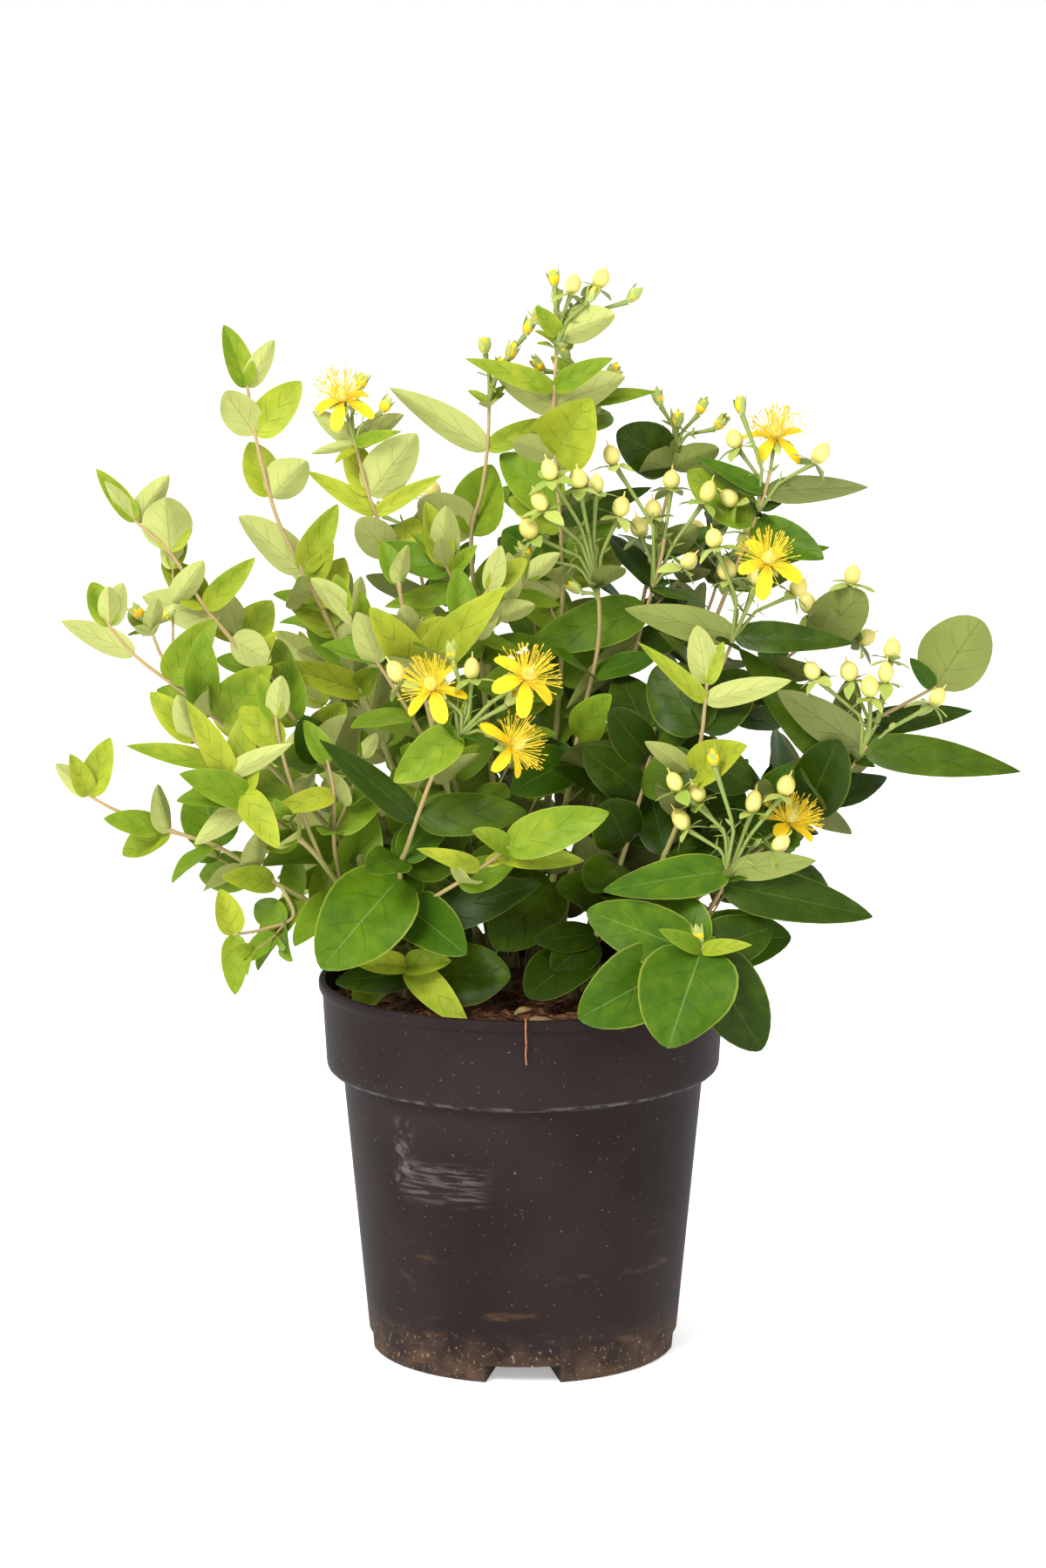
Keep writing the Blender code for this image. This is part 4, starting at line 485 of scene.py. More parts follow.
        (35, 428), (10, 420), (6, 407), (46, 417)) + heads(BUD, (4, 396), (34, 394), (28, 379)))),
    Stem("centre_right", (18, 12), Shoot(
        path=((24, 240, -6), (44, 310, -10), (58, 360, -6), (66, 388, 0), (68, 400, 2)), pairs=4,
        leaf=(54, 40), width=(0.48, 0.4), open=(64, 66), turn=39, start=0.42, end=0.9, tint="deep",
        placed=((60, 366, 2, 347, 24, 0.4, FACE, "mid"), (57, 352, 21, 317, 30, 0.26, BACK, "mid")),
        head=heads(BERRY, (44, 442), (63, 416), (71, 430), (77, 392), (87, 424), (57, 407)),
        sides=((0.62, Shoot(path=((60, 380, -30), (69, 420, -44), (73, 444, -48)), pairs=2,
        last=0.6, leaf=(46, 34), width=(0.48, 0.4), open=(64, 60), turn=42, start=0.3, tint="mid",
        placed=((72, 436, 45, 452, -38, 0.8, FACE, "deep"), (71, 434, 58, 437, -34, 0.8, BACK),
        (71, 434, 94, 444, -34, 0.5, BACK), (61, 392, 98, 407, -26, 0.28)), head=heads(BUD,
        (66, 469), (74, 459), (84, 465), (92, 458)))),))),
    Stem("right_top", (30, 16), Shoot(
        path=((46, 260, -20), (80, 330, -26), (105, 392, -18), (114, 415, -12), (119, 433, -8)),
        pairs=3, leaf=(58, 46), width=(0.46, 0.34), open=(66, 70), turn=36, start=0.42, end=0.93,
        last=0.78, tint="deep", placed=((117, 423, 166, 425, -14, 0.28, BACK),
        (117, 423, 84, 437, -22, 0.32), (110, 406, 145, 390, 8, 0.46, FACE, "mid"),
        (117, 423, 83, 440, -10, 0.24, FACE, "mid"), (103, 388, 148, 396, -16, 0.26, FACE, "mid"),
        (107, 408, 79, 433, -30, 0.52, FACE, "fresh")), head=heads(FLOWER,
        (121, 450)) + heads(BERRY, (103, 450), (140, 443), (103, 423)) + heads(BUD, (105, 465),
        (116, 466)))),
    Stem("right_mid", (30, 0), Shoot(
        path=((44, 236, 4), (74, 300, 12), (92, 330, 22), (103, 354, 30), (109, 368, 32)), pairs=3,
        leaf=(56, 48), width=(0.44, 0.34), open=(68, 74), turn=38, start=0.42, end=0.92, last=0.8,
        tint="deep", placed=((102, 353, 49, 366, 26, 0.32, BACK, "mid"),
        (102, 353, 160, 349, 38, 0.28)), head=heads(FLOWER, (118, 390)) + heads(BERRY, (130, 379),
        (99, 386), (111, 383), (93, 402)), sides=((0.6, Shoot(path=((108, 326, 8), (130, 344, 4),
        (142, 352, 4)), pairs=3, leaf=(42, 34), width=(0.46, 0.42), open=(60, 60), turn=47,
        start=0.3, tint="mid", placed=((142, 352, 165, 374, 8, 0.75, BACK),), head=heads(BERRY,
        (139, 370), (158, 384), (162, 356)))),))),
    Stem("right_end", (52, 8), Shoot(
        path=((74, 214, 4), (110, 244, 14), (139, 266, 22), (158, 287, 28), (167, 299, 30)),
        pairs=3, leaf=(54, 50), width=(0.48, 0.36), open=(64, 62), turn=43, start=0.36, end=0.97,
        last=0.8, tint="deep", placed=((166, 297, 242, 286, 36, 0.27),
        (166, 297, 123, 326, 44, 0.36, BACK), (158, 287, 104, 347, 16, 0.3),
        (138, 265, 153, 302, 36, 0.66)), head=heads(BERRY, (142, 338), (159, 337), (168, 329),
        (175, 336), (178, 347), (198, 325)))),
    Stem("right_far", (42, -8), Shoot(
        path=((64, 226, 14), (112, 270, 12), (150, 300, 4), (182, 318, -2), (200, 328, -4)),
        pairs=3, leaf=(54, 38), width=(0.4, 0.5), open=(62, 46), turn=43, start=0.42, tint="mid",
        last=0.76, placed=((200, 328, 221, 361, 4, 0.84, BACK), (200, 328, 187, 342, 4, 0.4),
        (165, 310, 218, 316, -16, 0.26, FACE, "deep")))),
    Stem("right_young", (52, -22), Shoot(
        path=((60, 220, 34), (78, 268, 48), (86, 300, 54), (88, 318, 56), (89, 330, 56)), pairs=3,
        leaf=(52, 34), width=(0.58, 0.36), open=(66, 56), turn=38, start=0.32, tint="deep",
        last=0.6, placed=((88, 329, 84, 358, 60, 0.5, BACK, "fresh"),
        (88, 329, 97, 350, 52, 0.4, FACE, "fresh"), (88, 321, 55, 350, 66, 0.2, FACE, "fresh"),
        (88, 321, 130, 331, 64, 0.3, BACK, "fresh"), (87, 306, 64, 338, 34, 0.75),
        (87, 306, 108, 336, 34, 0.65), (85, 292, 58, 276, 44, 0.75), (85, 292, 112, 280, 44, 0.75),
        (83, 284, 59, 301, 74, 0.28, BACK, "fresh"), (83, 284, 109, 299, 68, 0.5, FACE, "fresh")))),
    Stem("right_low", (66, -18), Shoot(
        path=((80, 200, 42), (90, 216, 56), (97, 228, 62), (101, 238, 64)), pairs=2, leaf=(50, 46),
        width=(0.62, 0.56), open=(66, 74), turn=34, start=0.4, end=0.98, last=0.8, tint="mid",
        placed=((100, 237, 39, 227, 76, 0.34), (100, 237, 143, 242, 74, 0.32, BACK),
        (97, 230, 171, 214, 60, 0.34, FACE, "deep")), head=heads(BERRY, (76, 283), (86, 277),
        (80, 264), (111, 272), (126, 281), (122, 253)) + heads(FLOWER, (129, 262)) + heads(BUD,
        (93, 294)))),
    Stem("rim_right", (58, -40), Shoot(
        path=((68, 182, 60), (80, 192, 74), (88, 198, 80)), pairs=0, start=0.4, tint="mid",
        placed=((88, 198, 71, 148, 112, 0.86), (80, 192, 27, 163, 82, 0.6),
        (88, 198, 117, 147, 86, 0.62, FACE, "deep"), (85, 196, 31, 217, 66, 0.52),
        (85, 196, 67, 227, 56, 0.75), (85, 196, 122, 209, 62, 0.62, FACE, "deep"),
        (88, 198, 66, 208, 96, 0.3, FACE, "fresh"), (88, 198, 112, 200, 94, 0.3, FACE, "fresh")),
        head=heads(BUD, (87, 206)))),
    Stem("right_inner", (24, -16), Shoot(
        path=((34, 200, 26), (46, 236, 34), (56, 270, 36), (62, 296, 34), (64, 308, 34)), pairs=2,
        leaf=(50, 46), width=(0.64, 0.6), open=(72, 52), turn=47, start=0.16, last=0.95,
        tint="deep", placed=((57, 275, 29, 297, 56, 0.55), (50, 250, 40, 272, 62, 0.7),
        (47, 240, 34, 226, 66, 0.75), (42, 224, 16, 229, 54, 0.6), (36, 206, 5, 202, 44, 0.45),
        (36, 204, 14, 187, 50, 0.75), (61, 292, 42, 317, 48, 0.6)))),
    Stem("back_left", (-30, 36), Shoot(
        path=((-46, 240, -45), (-72, 310, -80), (-94, 360, -100), (-100, 376, -104)), pairs=7,
        leaf=(42, 32), open=(62, 40), turn=47, start=0.27, closed=True)),
    Stem("back_mid_left", (-12, 30), Shoot(
        path=((-20, 240, -42), (-36, 320, -66), (-48, 376, -82), (-52, 398, -86)), pairs=6,
        leaf=(44, 34), open=(62, 56), turn=36, start=0.27, cluster=(1, 1, 0), tint="mid")),
    Stem("back_mid", (6, 32), Shoot(
        path=((10, 240, -45), (14, 330, -76), (14, 390, -96), (12, 412, -100)), pairs=6,
        leaf=(46, 36), open=(64, 56), turn=52, start=0.27, cluster=(2, 1, 0), tint="mid")),
    Stem("back_right", (30, 34), Shoot(
        path=((40, 240, -45), (66, 310, -76), (88, 362, -96), (94, 380, -100)), pairs=6,
        leaf=(48, 38), open=(64, 56), turn=43, start=0.27, cluster=(2, 1, 0), tint="deep")),
    Stem("back_low_left", (-44, 40), Shoot(
        path=((-62, 214, -64), (-98, 250, -104), (-126, 286, -128), (-136, 304, -134)), pairs=6,
        leaf=(44, 34), open=(66, 42), turn=40, start=0.27, closed=True)),
    Stem("back_low_mid", (-4, 52), Shoot(
        path=((-6, 220, -86), (-8, 262, -132), (-6, 300, -160), (-4, 318, -166)), pairs=6,
        leaf=(46, 36), open=(66, 56), turn=48, start=0.27, cluster=(2, 1, 0), tint="mid")),
    Stem("back_low_right", (46, 38), Shoot(
        path=((64, 214, -64), (100, 246, -104), (134, 274, -130), (146, 286, -136)), pairs=6,
        leaf=(48, 38), open=(66, 56), turn=36, start=0.27, cluster=(2, 1, 0), tint="deep")),
)


# Places, curves and plain skins

def seen(right, up, near):
    """The point seen at (right, up) on the upright plane through the pot's axis, near mm
    in front of that plane."""
    flat = Vector((right, 0.0, up))
    return EYE + (flat - EYE) * (1 + near / EYE.y)


def as_seen(point):
    """Where a point is seen on the upright plane through the pot's axis, as (right, up)."""
    flat = EYE + (point - EYE) * (EYE.y / (EYE.y - point.y))
    return flat.x, flat.z


def lerp(ends, share):
    """The value at a share of the way from the first end to the second."""
    return ends[0] + (ends[1] - ends[0]) * share


def across(vector, axis):
    """The part of a vector that stands square to an axis, as a unit vector."""
    return (vector - axis * vector.dot(axis)).normalized()


def smooth(points):
    """A curve through all the points, sampled about every STEP millimetres."""
    ends = [points[0] * 2 - points[1]] + list(points) + [points[-1] * 2 - points[-2]]
    curve = [points[0]]
    for a, b, c, d in zip(ends, ends[1:], ends[2:], ends[3:]):
        count = max(2, round((c - b).length / STEP))
        for i in range(1, count + 1):
            t = i / count
            curve.append((b * 2 + (c - a) * t + (a * 2 - b * 5 + c * 4 - d) * t * t
                          + (b * 3 - a - c * 3 + d) * t ** 3) / 2)
    return curve


class Line:
    """A curve that can be asked for the point and the direction at a distance along it."""

    def __init__(self, points):
        self.points = points
        self.marks = [0.0]
        for a, b in zip(points, points[1:]):
            self.marks.append(self.marks[-1] + (b - a).length)
        self.length = self.marks[-1]

    def at(self, distance):
        """The point at a distance along the curve."""
        distance = min(max(distance, 0.0), self.length)
        for i, mark in enumerate(self.marks[1:]):
            if distance <= mark:
                span = mark - self.marks[i]
                return self.points[i].lerp(self.points[i + 1], (distance - self.marks[i]) / span)
        return self.points[-1].copy()

    def along(self, distance):
        """The direction at a distance along the curve."""
        distance = min(max(distance, NEARBY), self.length - NEARBY)
        return (self.at(distance + NEARBY) - self.at(distance - NEARBY)).normalized()

    def cut(self, first, last, step):
        """Points from one distance to another, no further apart than the step."""
        count = max(1, math.ceil((last - first) / step))
        return [self.at(first + (last - first) * i / count) for i in range(count + 1)]


def loft(sections):
    """A closed skin over rings of points. A ring of one point is a pole."""
    points, starts = [], []
    for ring in sections:
        starts.append(len(points))
        points.extend(ring)
    faces = []
    for ring, after, start, next_start in zip(sections, sections[1:], starts, starts[1:]):
        n = max(len(ring), len(after))
        for i in range(n):
            j = (i + 1) % n
            if len(ring) == 1:
                faces.append((start, next_start + j, next_start + i))
            elif len(after) == 1:
                faces.append((start + i, start + j, next_start))
            else:
                faces.append((start + i, start + j, next_start + j))
                faces.append((start + i, next_start + j, next_start + i))
    if len(sections[0]) > 1:
        faces.append(tuple(range(len(sections[0])))[::-1])
    if len(sections[-1]) > 1:
        faces.append(tuple(starts[-1] + i for i in range(len(sections[-1]))))
    return points, faces


def ring(centre, axis, radius, sides, turn=0.0):
    """Points of a circle round an axis."""
    side = across(RIGHT if abs(axis.x) < SIDEWAYS_LIMIT else UP, axis)
    other = axis.cross(side)
    angles = [turn + math.tau * i / sides for i in range(sides)]
    return [centre + (side * math.cos(a) + other * math.sin(a)) * radius for a in angles]


def tube(points, radii, sides):
    """A tapering limb along points."""
    sections = []
    for i, (point, radius) in enumerate(zip(points, radii)):
        before, after = points[max(i - 1, 0)], points[min(i + 1, len(points) - 1)]
        sections.append(ring(point, (after - before).normalized(), radius, sides))
    return loft(sections)


def half_width(t, base=BASE_POWER, tip=TIP_POWER):
    """A blade's half width at a share of its length, 1 where it is widest."""
    peak = base / (base + tip)
    return t ** base * (1 - t) ** tip / (peak ** base * (1 - peak) ** tip)


# The rule by which the plant grows

@dataclass
class Leaf:
    """A leaf's place: where it is rooted, which way it points and faces, and its size."""

    root: Vector
    out: Vector
    face: Vector
    length: float
    width: float
    droop: float

    def middle(self, t):
        """A point of the midrib at a share of the length."""
        return self.root + (self.out * t - self.face * self.droop * t * t) * self.length


def leaf_solid(leaf, whole=True, grow=0.0):
    """A leaf of three-cornered sections, both edges and the keel between them, with its root
    in the stem, or only the part that stands clear of its stem."""
    side = leaf.out.cross(leaf.face)
    rings = [[leaf.root - leaf.out * ROOT_SINK if whole else leaf.middle(OWN_START)]]
    for t, keel in LEAF_STATIONS:
        half = half_width(t) * leaf.width * LEAF_SWELL * leaf.length / 2 + grow
        depth = max(LEAF_LEAST, leaf.length * LEAF_THICKNESS) * keel + grow
        middle = leaf.middle(t)
        top = leaf.face * (LEAF_LEAST / 2 + grow)
        rings.append([middle + side * half + top, middle - leaf.face * depth,
                      middle - side * half + top])
    return loft(rings + [[leaf.middle(1.0) + leaf.out * grow]])


def fruit_rings(foot, axis, radius, height, sides, turn, grow=0.0):
    """The sections of a berry or a bud: round below, drawn to a point above."""
    rings = []
    for t, wide in FRUIT_OUTLINE:
        rings.append(ring(foot + axis * height * t, axis, radius * wide + grow, sides, turn))
    return rings + [[foot + axis * (height + grow)]]


def flower_rings(foot, axis, turn, grow=0.0):
    """The sections of an open flower: five petals' tips under a bowl of stamens."""
    top = PETAL_RISE + PETAL_THICKNESS
    outline = ((PETAL_RISE, PETAL_LENGTH), (top, PETAL_LENGTH), (top + 1, BRUSH_FOOT),
               (BRUSH_HEIGHT, BRUSH_RADIUS))
    return [ring(foot + axis * height, axis, radius + grow, PETALS, turn)
            for height, radius in outline] + [[foot + axis * (BRUSH_HEIGHT - 2)]]


def ray_solid(kind, ray, axis, turn, grow=0.0):
    """A stalk with the berry, bud or flower at its end, as one solid."""
    sides = FRUIT_SIDES[kind]
    points = ray.cut(0.0, ray.length, ray.length / PEDICEL_PIECES)
    rings = []
    for i, point in enumerate(points[:-1]):
        along = (points[i + 1] - points[max(i - 1, 0)]).normalized()
        rings.append(ring(point, along, PEDICEL_RADIUS + grow, sides, turn))
    foot = points[-1]
    rings.append(ring(foot, axis, PEDICEL_RADIUS + grow, sides, turn))
    if kind == FLOWER:
        return loft(rings + flower_rings(foot, axis, turn, grow))
    radius, height = BERRY_SIZE if kind == BERRY else BUD_SIZE
    return loft(rings + fruit_rings(foot, axis, radius, height, sides, turn, grow))


class Space:
    """Everything that already stands, piece by piece, with the mass each piece belongs to."""

    def __init__(self):
        self.low = np.zeros((MOST_PIECES, 3))
        self.high = np.zeros((MOST_PIECES, 3))
        self.trees = []
        self.owners = []

    def add(self, owner, solid):
        """Takes in a solid that belongs to a mass."""
        points, faces = solid
        flat = np.array([tuple(p) for p in points])
        self.low[len(self.trees)] = flat.min(axis=0)
        self.high[len(self.trees)] = flat.max(axis=0)
        self.trees.append(BVHTree.FromPolygons(points, faces))
        self.owners.append(owner)

    def clear(self, solid, owner=None, own=False):
        """Whether a solid touches nothing: of other masses, or of its own where own is set."""
        points, faces = solid
        flat = np.array([tuple(p) for p in points])
        n = len(self.trees)
        near = np.all((self.low[:n] <= flat.max(axis=0)) & (self.high[:n] >= flat.min(axis=0)),
                      axis=1)
        tree = None
        for i in np.flatnonzero(near):
            if (self.owners[i] == owner) != own:
                continue
            tree = tree or BVHTree.FromPolygons(points, faces)
            if tree.overlap(self.trees[i]):
                return False
        return True


@dataclass
class Grown:
    """What one stem has grown. lead is the length of its bare foot, and shoots holds each
    shoot with its line, where its growth starts and its radius along the line."""

    name: str
    lead: float
    shoots: list
    rays: list
    leaves: list


def stem_radius(line):
    """A stem's radius by the distance along it: a flared root, then an even taper."""
    def radius(distance):
        taper = lerp((FOOT_RADIUS, TIP_RADIUS), distance / line.length)
        flare = (ROOT_FLARE - 1) * max(0.0, 1 - distance / FLARE_HEIGHT) ** 2
        return taper * (1 + flare)
    return radius


def side_radius(line):
    """A side shoot's radius by the distance along it."""
    def radius(distance):
        return lerp((SIDE_RADIUS, SIDE_TIP_RADIUS), distance / line.length)
    return radius


def limb_solid(line, radius, first, last, step, sides, swell=1.0, grow=0.0):
    """A limb between two distances along its line."""
    points = line.cut(first, last, step)
    span = (last - first) / (len(points) - 1)
    radii = [radius(first + span * i) * swell + grow for i in range(len(points))]
    return tube(points, radii, sides)


def lay_out(stem):
    """A stem's main line and those of its side shoots, before anything grows on them."""
    foot = Vector((stem.foot[0], stem.foot[1], soil_height(*stem.foot) + GAP))
    path = [seen(*place) for place in stem.shoot.path]
    reach = path[0] - foot
    rise = foot + UP * min(RISE, reach.length * RISE_SHARE) + reach * RISE_LEAN
    main = Line(smooth([foot, rise] + path))
    lead = main.length * stem.shoot.start
    grown = Grown(stem.name, lead, [(stem.shoot, main, lead, stem_radius(main))], [], [])
    for share, side in stem.shoot.sides:
        start = main.at(main.length * share)
        line = Line(smooth([start] + [seen(*place) for place in side.path]))
        grown.shoots.append((side, line, line.length * side.start, side_radius(line)))
    return grown


def limb_guards(grown):
    """The stem and its side shoots as simple six-sided limbs, for the clearance test."""
    return [limb_solid(line, radius, 0.0, line.length, TWIG_STEP, GUARD_SIDES, TWIG_SWELL)
            for _, line, _, radius in grown.shoots]


def ray_line(tip, along, end):
    """A stalk that leaves the tip along the stem and bends round to its end."""
    bend = tip + along * (end - tip).length * RAY_BEND
    shares = [i / PEDICEL_PIECES for i in range(PEDICEL_PIECES + 1)]
    return Line([tip.lerp(bend, t).lerp(bend.lerp(end, t), t) for t in shares])


def head_targets(shoot, line, rng):
    """Where the stalks of a head end: as seen in the photograph, or by an even spread."""
    tip, along = line.at(line.length * shoot.end), line.along(line.length)
    depth = tip.y
    targets = []
    for kind, right, up in shoot.head:
        near = -depth + rng.uniform(-HEAD_SPREAD, HEAD_SPREAD)
        half = {BERRY: BERRY_SIZE[1] / 2, BUD: BUD_SIZE[1] / 2, FLOWER: PETAL_RISE}[kind]
        targets.append((kind, seen(right, up, near) - UP * half))
    kinds = [kind for kind, count in zip((BERRY, BUD, FLOWER), shoot.cluster)
             for _ in range(count)]
    for i, kind in enumerate(kinds):
        angle = math.tau * (i * SPIRAL_TURN + rng.uniform(0, SPIRAL_SLACK))
        tilt = math.radians(RAY_ANGLE) * math.sqrt((i + 0.5) / len(kinds))
        around = ring(Vector(), along, 1.0, 1, angle)[0]
        middle = (along * CLUSTER_AXIS[0] + UP * CLUSTER_AXIS[1]).normalized()
        out = middle * math.cos(tilt) + around * math.sin(tilt)
        targets.append((kind, tip + out * RAY_LENGTH * rng.uniform(*RAY_SPREAD)))
    return targets


def grow_heads(grown, space, rng):
    """Stalks with their berries, buds and flowers, each moved in depth until it is clear."""
    for shoot, line, *_ in grown.shoots:
        targets = head_targets(shoot, line, rng)
        for i, (kind, target) in enumerate(targets):
            turn = rng.uniform(0, math.tau)
            place = line.length * shoot.end - RAY_STEP * (i // 2)
            tip, along = line.at(place), line.along(place)
            for shift in RAY_TRIES:
                end = target + (target - EYE).normalized() * shift
                ray = ray_line(tip, along, end)
                axis = (ray.along(ray.length) + UP * FRUIT_UPTURN).normalized()
                if kind == FLOWER:
                    toward = (EYE - end).normalized()
                    axis = (axis * FLOWER_AXIS[0] + toward * FLOWER_AXIS[1]).normalized()
                clear = Line(ray.cut(min(RAY_START, ray.length / 2), ray.length, ray.length))
                if (space.clear(ray_solid(kind, ray, axis, turn, CLEARANCE), grown.name)
                        and space.clear(ray_solid(kind, clear, axis, turn, -OWN_OVERLAP),
                                        grown.name, own=True)):
                    grown.rays.append((kind, ray, axis, turn))
                    space.add(grown.name, ray_solid(kind, ray, axis, turn))
                    break


def place_leaf(line, distance, turn, angle, length, width, roll):
    """A leaf on a line, turned round it and leaning out from it. It rolls so that whichever
    side the viewer sees shows more of its breadth, and an open leaf also faces up."""
    along = line.along(distance)
    side = across(RIGHT if abs(along.x) < SIDEWAYS_LIMIT else UP, along)
    other = along.cross(side)
    root = line.at(distance)
    turn, lean = math.radians(turn), math.radians(angle)
    around = side * math.cos(turn) + other * math.sin(turn)
    out = along * math.cos(lean) + around * math.sin(lean)
    face = across(along, out)
    side = out.cross(face)
    toward = (EYE - root).normalized()
    sign = 1 if face.dot(toward) > SHOW_UNDER else -1
    face = face + side * (side.dot(toward) * SHOW * sign)
    if angle > CLOSED_LIMIT:
        face = face + UP * LIGHT_ABOVE
    face = across(face, out)
    tilt = math.radians(roll)
    face = face * math.cos(tilt) + out.cross(face) * math.sin(tilt)
    return Leaf(root, out, face, length, width, DROOP)


def leaf_fits(leaf, grown, space, gap=CLEARANCE, own_gap=OWN_CLEARANCE):
    """Whether a leaf is clear of other masses, and its blade of its own."""
    return (space.clear(leaf_solid(leaf, True, gap), grown.name)
            and space.clear(leaf_solid(leaf, False, own_gap), grown.name, own=True))


def try_leaf(grown, space, line, distance, turn, lean, size, width, roll, way=LEAF_WAY):
    """A leaf that is clear of everything, turned, lifted or made smaller if need be, or None.
    way holds the tries and the two gaps that it keeps."""
    tries, gap, own_gap = way
    for d_turn, d_lean, scale in tries:
        leaf = place_leaf(line, distance, turn + d_turn, max(LEAST_LEAN, lean + d_lean),
                          size * scale, width, roll)
        if leaf_fits(leaf, grown, space, gap, own_gap):
            space.add(grown.name, leaf_solid(leaf))
            return leaf
    return None


def nearest(line, right, up):
    """The distance along a line at which it is seen nearest to a place."""
    count = round(line.length)
    marks = [line.length * i / count for i in range(count + 1)]
    return min(marks, key=lambda mark: math.dist(as_seen(line.at(mark)), (right, up)))


def aim_leaf(root, tip, width, shown):
    """A leaf from root to tip that turns its face, or its back, to the viewer."""
    reach = tip - root
    out = reach.normalized()
    toward = (EYE - root).normalized()
    face = across(toward * shown + UP * LIGHT_ABOVE, out)
    return Leaf(root, out + face * DROOP, face, reach.length, width, DROOP)


def grow_placed(grown, space):
    """The leaves whose places are given, each moved in depth until it is clear."""
    for shoot, line, start, _ in grown.shoots:
        for row in shoot.placed:
            (right, up), tip, width, side, tint = shown(*row)
            mark = max(nearest(line, right, up), start + ROOT_MARGIN)
            root = line.at(min(mark, line.length - END_MARGIN))
            for shift in PLACED_TRIES:
                end = seen(*tip)
                leaf = aim_leaf(root, end + (end - EYE).normalized() * shift, width, side)
                if leaf_fits(leaf, grown, space):
                    space.add(grown.name, leaf_solid(leaf))
                    grown.leaves.append((leaf, tint or shoot.tint, 1.0))
                    break


def pair_marks(shoot, line, start):
    """How far along its line each leaf pair of a shoot stands, with its share of the way."""
    first, last = start + FIRST_PAIR, line.length * min(shoot.end, shoot.last) - LAST_PAIR
    shares = [i / max(1, shoot.pairs - 1) for i in range(shoot.pairs)]
    return [(lerp((first, last), share ** PAIR_EASE), share) for share in shares]


def grow_leaves(grown, space, rng):
    """Crossed pairs of leaves, each a quarter turn round from the last."""
    for shoot, line, start, _ in grown.shoots:
        for i, (distance, share) in enumerate(pair_marks(shoot, line, start)):
            angle = lerp(shoot.open, share)
            length, width = lerp(shoot.leaf, share), lerp(shoot.width, share)
            if shoot.closed and shoot.last == 1 and i == shoot.pairs - 1:
                angle, length = CLOSED_ANGLE, length * CLOSED_SIZE
            turn = shoot.turn + 90 * i + rng.uniform(-PAIR_TURN, PAIR_TURN)
            for half in (0, 180):
                size = length * rng.uniform(*SIZE_SPREAD)
                lean = angle + rng.uniform(-LEAN_SPREAD, LEAN_SPREAD)
                roll = rng.uniform(-ROLL, ROLL)
                leaf = try_leaf(grown, space, line, distance, turn + half, lean, size, width,
                                roll)
                if leaf:
                    grown.leaves.append((leaf, shoot.tint, share))


def soil_height(x, y):
    """The soil's height: level in the middle, lower towards the rim."""
    out = np.maximum(0.0, np.hypot(x, y) - SOIL_FLAT_RADIUS)
    edge = inner_radius(SOIL_TOP) - GAP - SOIL_FLAT_RADIUS
    return SOIL_TOP - SOIL_EDGE_DROP * out / edge


def grow_all(space):
    """The whole plant: first every limb, then the heads, then the leaves, given ones first."""
    for solid in pot_guards():
        space.add("pot", solid)
    plants = [lay_out(stem) for stem in STEMS]
    for grown in plants:
        for guard in limb_guards(grown):
            space.add(grown.name, guard)
    for grown in plants:
        grow_heads(grown, space, random.Random(grown.name + " head"))
    for grown in plants:
        grow_placed(grown, space)
    for grown in plants:
        grow_leaves(grown, space, random.Random(grown.name))
    return plants


# Radii of the pot

def wall_radius(height):
    """The outer radius of the pot's wall under its band."""
    return lerp((BASE_RADIUS, BODY_RADIUS), height / BAND_START)


def band_radius(height):
    """The outer radius of the band round the pot's mouth."""
    share = (height - BAND_START) / BAND_HEIGHT
    return lerp((BAND_FOOT_RADIUS, RIM_RADIUS - LIP_OVERHANG), share)


def inner_radius(height):
    """The pot's inner radius."""
    if height > BAND_START:
        return band_radius(height) - WALL
    return wall_radius(height) - WALL


def guard_skin(outline):
    """A plain skin turned round the pot's axis from radii and heights."""
    return loft([ring(Vector((0, 0, z)), UP, r, GUARD_STEPS) for r, z in outline])


def pot_guards():
    """The rim, the band and the soil as simple skins, for the clearance test."""
    edge = inner_radius(SOIL_TOP) - GAP
    outer, inner = RIM_RADIUS + GUARD_OUT, RIM_RADIUS - GUARD_IN
    return [guard_skin(((BODY_RADIUS, GUARD_WAIST), (BAND_FOOT_RADIUS + GUARD_OUT, GUARD_BAND),
                        (outer, POT_HEIGHT - GUARD_IN), (outer, POT_HEIGHT + GUARD_LIFT),
                        (inner, POT_HEIGHT + GUARD_LIFT), (inner, SOIL_TOP - SOIL_ROOM))),
            guard_skin(((edge, SOIL_TOP - SOIL_ROOM), (edge, SOIL_TOP - SOIL_EDGE_DROP),
                        (SOIL_FLAT_RADIUS, SOIL_TOP), (GUARD_MIDDLE, SOIL_TOP)))]


# Growth beyond the solids

@dataclass
class Extra:
    """What a stem grows beyond its solid: side sprigs and small leaves."""

    sprigs: list
    leaves: list

    def keep(self, sprig):
        """Keeps a sprig that has found room."""
        if sprig:
            self.sprigs.append(sprig[0])
            self.leaves.extend(sprig[1])


